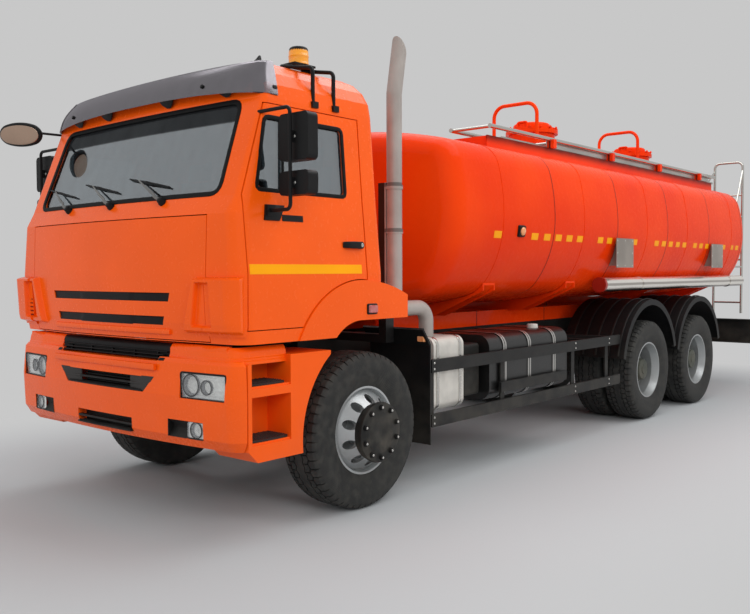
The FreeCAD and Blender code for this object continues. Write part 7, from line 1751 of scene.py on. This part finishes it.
# A rivet at each place of three by three on each plate, but not in its middle.
rivets = [turned(RIVET, (side * PLATE_X, y + dy, z), (side, 0, 0), 12)
          for _, side in SIDES for y in PLATE_Y for dy in RIVET_Y for z in RIVET_Z
          if (dy, z) != (RIVET_Y[1], RIVET_Z[1])]
piece("plate_rivets", rivets, "truck", "cap_white", 30)
print("bolts", len(dots), "rivets", len(rivets))

# %% [markdown]
# ## Silencer straps
# Two bright bands hold the silencer. They cross its top, go round the corner and down its outer
# side, and back below it: a flat bar swept along that line, close to the skin.

# %% Silencer straps
STRAP_Y, STRAP_INNER, STRAP_BEND, STRAP_RADIUS = (-2.610, -2.320), (0.600, 0.840), 1.0800, 0.0725
STRAP_TOP, STRAP_LOW, CORNER_TOP, CORNER_LOW = 1.1075, 0.5435, 1.0350, 0.6160
turn = np.linspace(0, math.pi / 2, 9)
corner_x, corner_z = STRAP_BEND + STRAP_RADIUS * np.sin(turn), STRAP_RADIUS * np.cos(turn)
band_x = np.concatenate([STRAP_INNER, corner_x, corner_x[::-1], STRAP_INNER[::-1]])
band_z = np.concatenate([[STRAP_TOP] * 2, CORNER_TOP + corner_z,
                         CORNER_LOW - corner_z[::-1], [STRAP_LOW] * 2])
straps = [swept(joined(band_x, y, band_z), bar_outline(0.006, 0.030, 0.002, 3), FORWARD) for y in STRAP_Y]
piece("silencer_straps", straps, "truck", "bolt_steel")
print("silencer straps", len(straps))

# %% [markdown]
# ## Rear lamps
# Each rear lamp is a black box with three lenses side by side: red, amber and clear. A lens is a
# pillow that is flat over most of its face and falls off steeply at its edges, which a sixth
# power gives.

# %% Rear lamps
REAR_SEGMENTS = [("red_lens", 0.8100, 0.9900), ("amber_lens", 0.9920, 1.1000),
                 ("lamp_clear", 1.1020, 1.2100)]
REAR_LAMP_Y, REAR_LAMP_Z, REAR_HALF_HEIGHT, REAR_DEPTH = 4.690, 0.755, 0.060, 0.0185
BOX_X, BOX_FRONT = 1.010, 4.6705


def rear_segment(x0, x1, side):
    """Pillow lens = depth x (1 - u^6)(1 - v^6) over the segment."""
    u, v = np.linspace(-1, 1, 20)[:, None], np.linspace(-1, 1, 14)[None]
    x = side * ((x0 + x1) / 2 + u * (x1 - x0) / 2)
    z = REAR_LAMP_Z + v * REAR_HALF_HEIGHT
    y = REAR_LAMP_Y + REAR_DEPTH * (1 - u ** 6) * (1 - v ** 6)
    return slab(joined(x, y, z), joined(x, REAR_LAMP_Y - 0.0015, z))


for finish, x0, x1 in REAR_SEGMENTS:
    parts = [rear_segment(x0, x1, side) for _, side in SIDES]
    piece("rear_lens_" + finish.split("_")[0], parts, "truck", finish, 40)
backs = [swept([(side * BOX_X, BOX_FRONT, REAR_LAMP_Z), (side * BOX_X, REAR_LAMP_Y, REAR_LAMP_Z)],
               bar_outline(0.408, 0.134, 0.010)) for _, side in SIDES]
piece("rear_lamp_backs", backs, "truck", "black_plastic", 40)
print("rear lenses", len(REAR_SEGMENTS) * len(SIDES))

# %% [markdown]
# ## Seats
# Each seat has a cushion, a back and a head rest in grey cloth. A padded form is a closed pillow:
# its half thickness falls to nothing at the rim as a power of the distance, its sides pull in
# between the corners, and the sewn channels are narrow dips. A cord of piping follows the rim.

# %% Padded pillows
CHANNEL_WIDTH, CHANNEL_DEPTH, SIDE_CHANNEL = 0.008, 0.010, 0.62


def pillow(centre, across_axis, along_axis, sizes, channels, pull=0.02, oval=0.0):
    """Half thickness = t (1 - u^4)^0.5 (1 - v^4)^0.5, less a dip at each channel.

    The sides pull in between the corners. With oval at 1 the square becomes an ellipse, since
    each coordinate shrinks by (1 - half the other one squared) to the power 0.5."""
    ends = np.sin(np.linspace(-1, 1, 44) * math.pi / 2)
    u, v = ends[:, None], ends[None]
    wide, long_, thick = (s / 2 for s in sizes)
    first, second = unit(np.array(across_axis, float)), unit(np.array(along_axis, float))
    third = np.cross(first, second)
    x = u * (wide - pull * (1 - v ** 2) * np.abs(u) ** 3) * np.sqrt(1 - oval * v ** 2 / 2)
    y = v * (long_ - pull * (1 - u ** 2) * np.abs(v) ** 3) * np.sqrt(1 - oval * u ** 2 / 2)
    dome = np.sqrt((1 - u ** 4) * (1 - v ** 4))
    beside = (-wide * SIDE_CHANNEL, wide * SIDE_CHANNEL) if channels else ()
    dip = sum(np.exp(-((y - c) / CHANNEL_WIDTH) ** 2) for c in channels) + sum(
        np.exp(-((x - c) / CHANNEL_WIDTH) ** 2) for c in beside)
    height = thick * dome - CHANNEL_DEPTH * np.minimum(dip, 1.0) * dome
    flat = np.asarray(centre) + x[..., None] * first + y[..., None] * second
    top, under = flat + height[..., None] * third, flat - (thick * dome)[..., None] * third
    edge = np.concatenate([flat[:, 0], flat[-1, 1:], flat[-2::-1, -1], flat[0, -2:0:-1]])
    piping = swept(edge, bar_outline(0.009, 0.009, 0.004, 3), third, closed=True)
    sheet = grid(np.concatenate([top, under[:, -2:0:-1]], axis=1), wrap_columns=True)
    return sheet, piping


# Part, Y and Z of its middle, its way up, its sizes, its channels, and the pull of its sides.
SEAT_FORMS = [("cushion", (-3.705, 1.800), (0, 1, 0), (0.470, 0.460, 0.120), (-0.08, 0.08), 0.014),
              ("back", (-3.462, 2.085), (0, 0.115, 1), (0.460, 0.500, 0.095), (-0.13, 0.0, 0.13), 0.014),
              ("head_rest", (-3.428, 2.405), (0, 0.115, 1), (0.270, 0.140, 0.085), (), 0.008)]
pads = []
for seat, x in (("driver", 0.620), ("middle", 0.0), ("passenger", -0.620)):
    for part, place, along, sizes, channels, pull in SEAT_FORMS:
        sheet, piping = pillow((x, *place), (1, 0, 0), along, sizes, channels, pull)
        pad = piece("seat_" + part + "_" + seat, [sheet], "cab", "seat_cloth", 80)
        piece("seat_piping_" + part + "_" + seat, [piping], "cab", "rubber_black", 60)
        pads.append(pad)
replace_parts(pads[0], "seats")
print("padded pieces", len(pads))

# %% [markdown]
# ## Front mirror
# The mirror that shows the ground ahead is a rounded shell on a thin arm, its glass turned to the
# driver. The pillow form serves again, drawn to an oval, and stands clear of the right door's
# swing.

# %% Front mirror
ACROSS, UPRIGHT = (0.80, 0.60, 0.0), (0.15, -0.20, 0.95)
MIRROR_PLACE = np.array([-1.271, -4.593, 2.640])
SHELL_SIZES, GLASS_SIZES = (0.330, 0.180, 0.065), (0.292, 0.144, 0.020)
ARM_PATH = [(-1.262, -4.575, 2.662), (-1.235, -4.500, 2.664), (-1.160, -4.215, 2.658)]
facing = unit(np.cross(ACROSS, UPRIGHT))
shell, _ = pillow(MIRROR_PLACE - facing * 0.012, ACROSS, UPRIGHT, SHELL_SIZES, (), 0.0, 0.9)
pane, _ = pillow(MIRROR_PLACE + facing * 0.018, ACROSS, UPRIGHT, GLASS_SIZES, (), 0.0, 0.9)
arm = swept(ARM_PATH, bar_outline(0.018, 0.018, 0.008))
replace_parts(piece("front_mirror_shell", [shell, arm], "cab", "black_plastic", 60),
            "front_mirror")
piece("front_mirror_glass", [pane], "cab", "mirror_bronze", 80)
print("mirror width", SHELL_SIZES[0])

# %% [markdown]
# ## Mirror bolts
# Two pairs of domed bolts show on each door mirror's arm. Rays from the front find the housing,
# and each bolt stands square on what its ray meets.

# %% Mirror bolts
MIRROR_BOLT_X, MIRROR_BOLT_Z = (1.375, 1.412), (2.378, 2.115)
for hand, side in SIDES:
    housing = surface_of("mirrors_" + hand)
    spots = [spot(housing, (side * x, CAB_FRONT_START, z), FORWARD) for z in MIRROR_BOLT_Z
             for x in MIRROR_BOLT_X]
    piece("mirror_bolts_" + hand, [turned(DOME, place, normal, 12) for place, normal in spots],
          "door_" + hand, "bolt_steel", 30)
print("mirror bolts", len(spots) * len(SIDES))
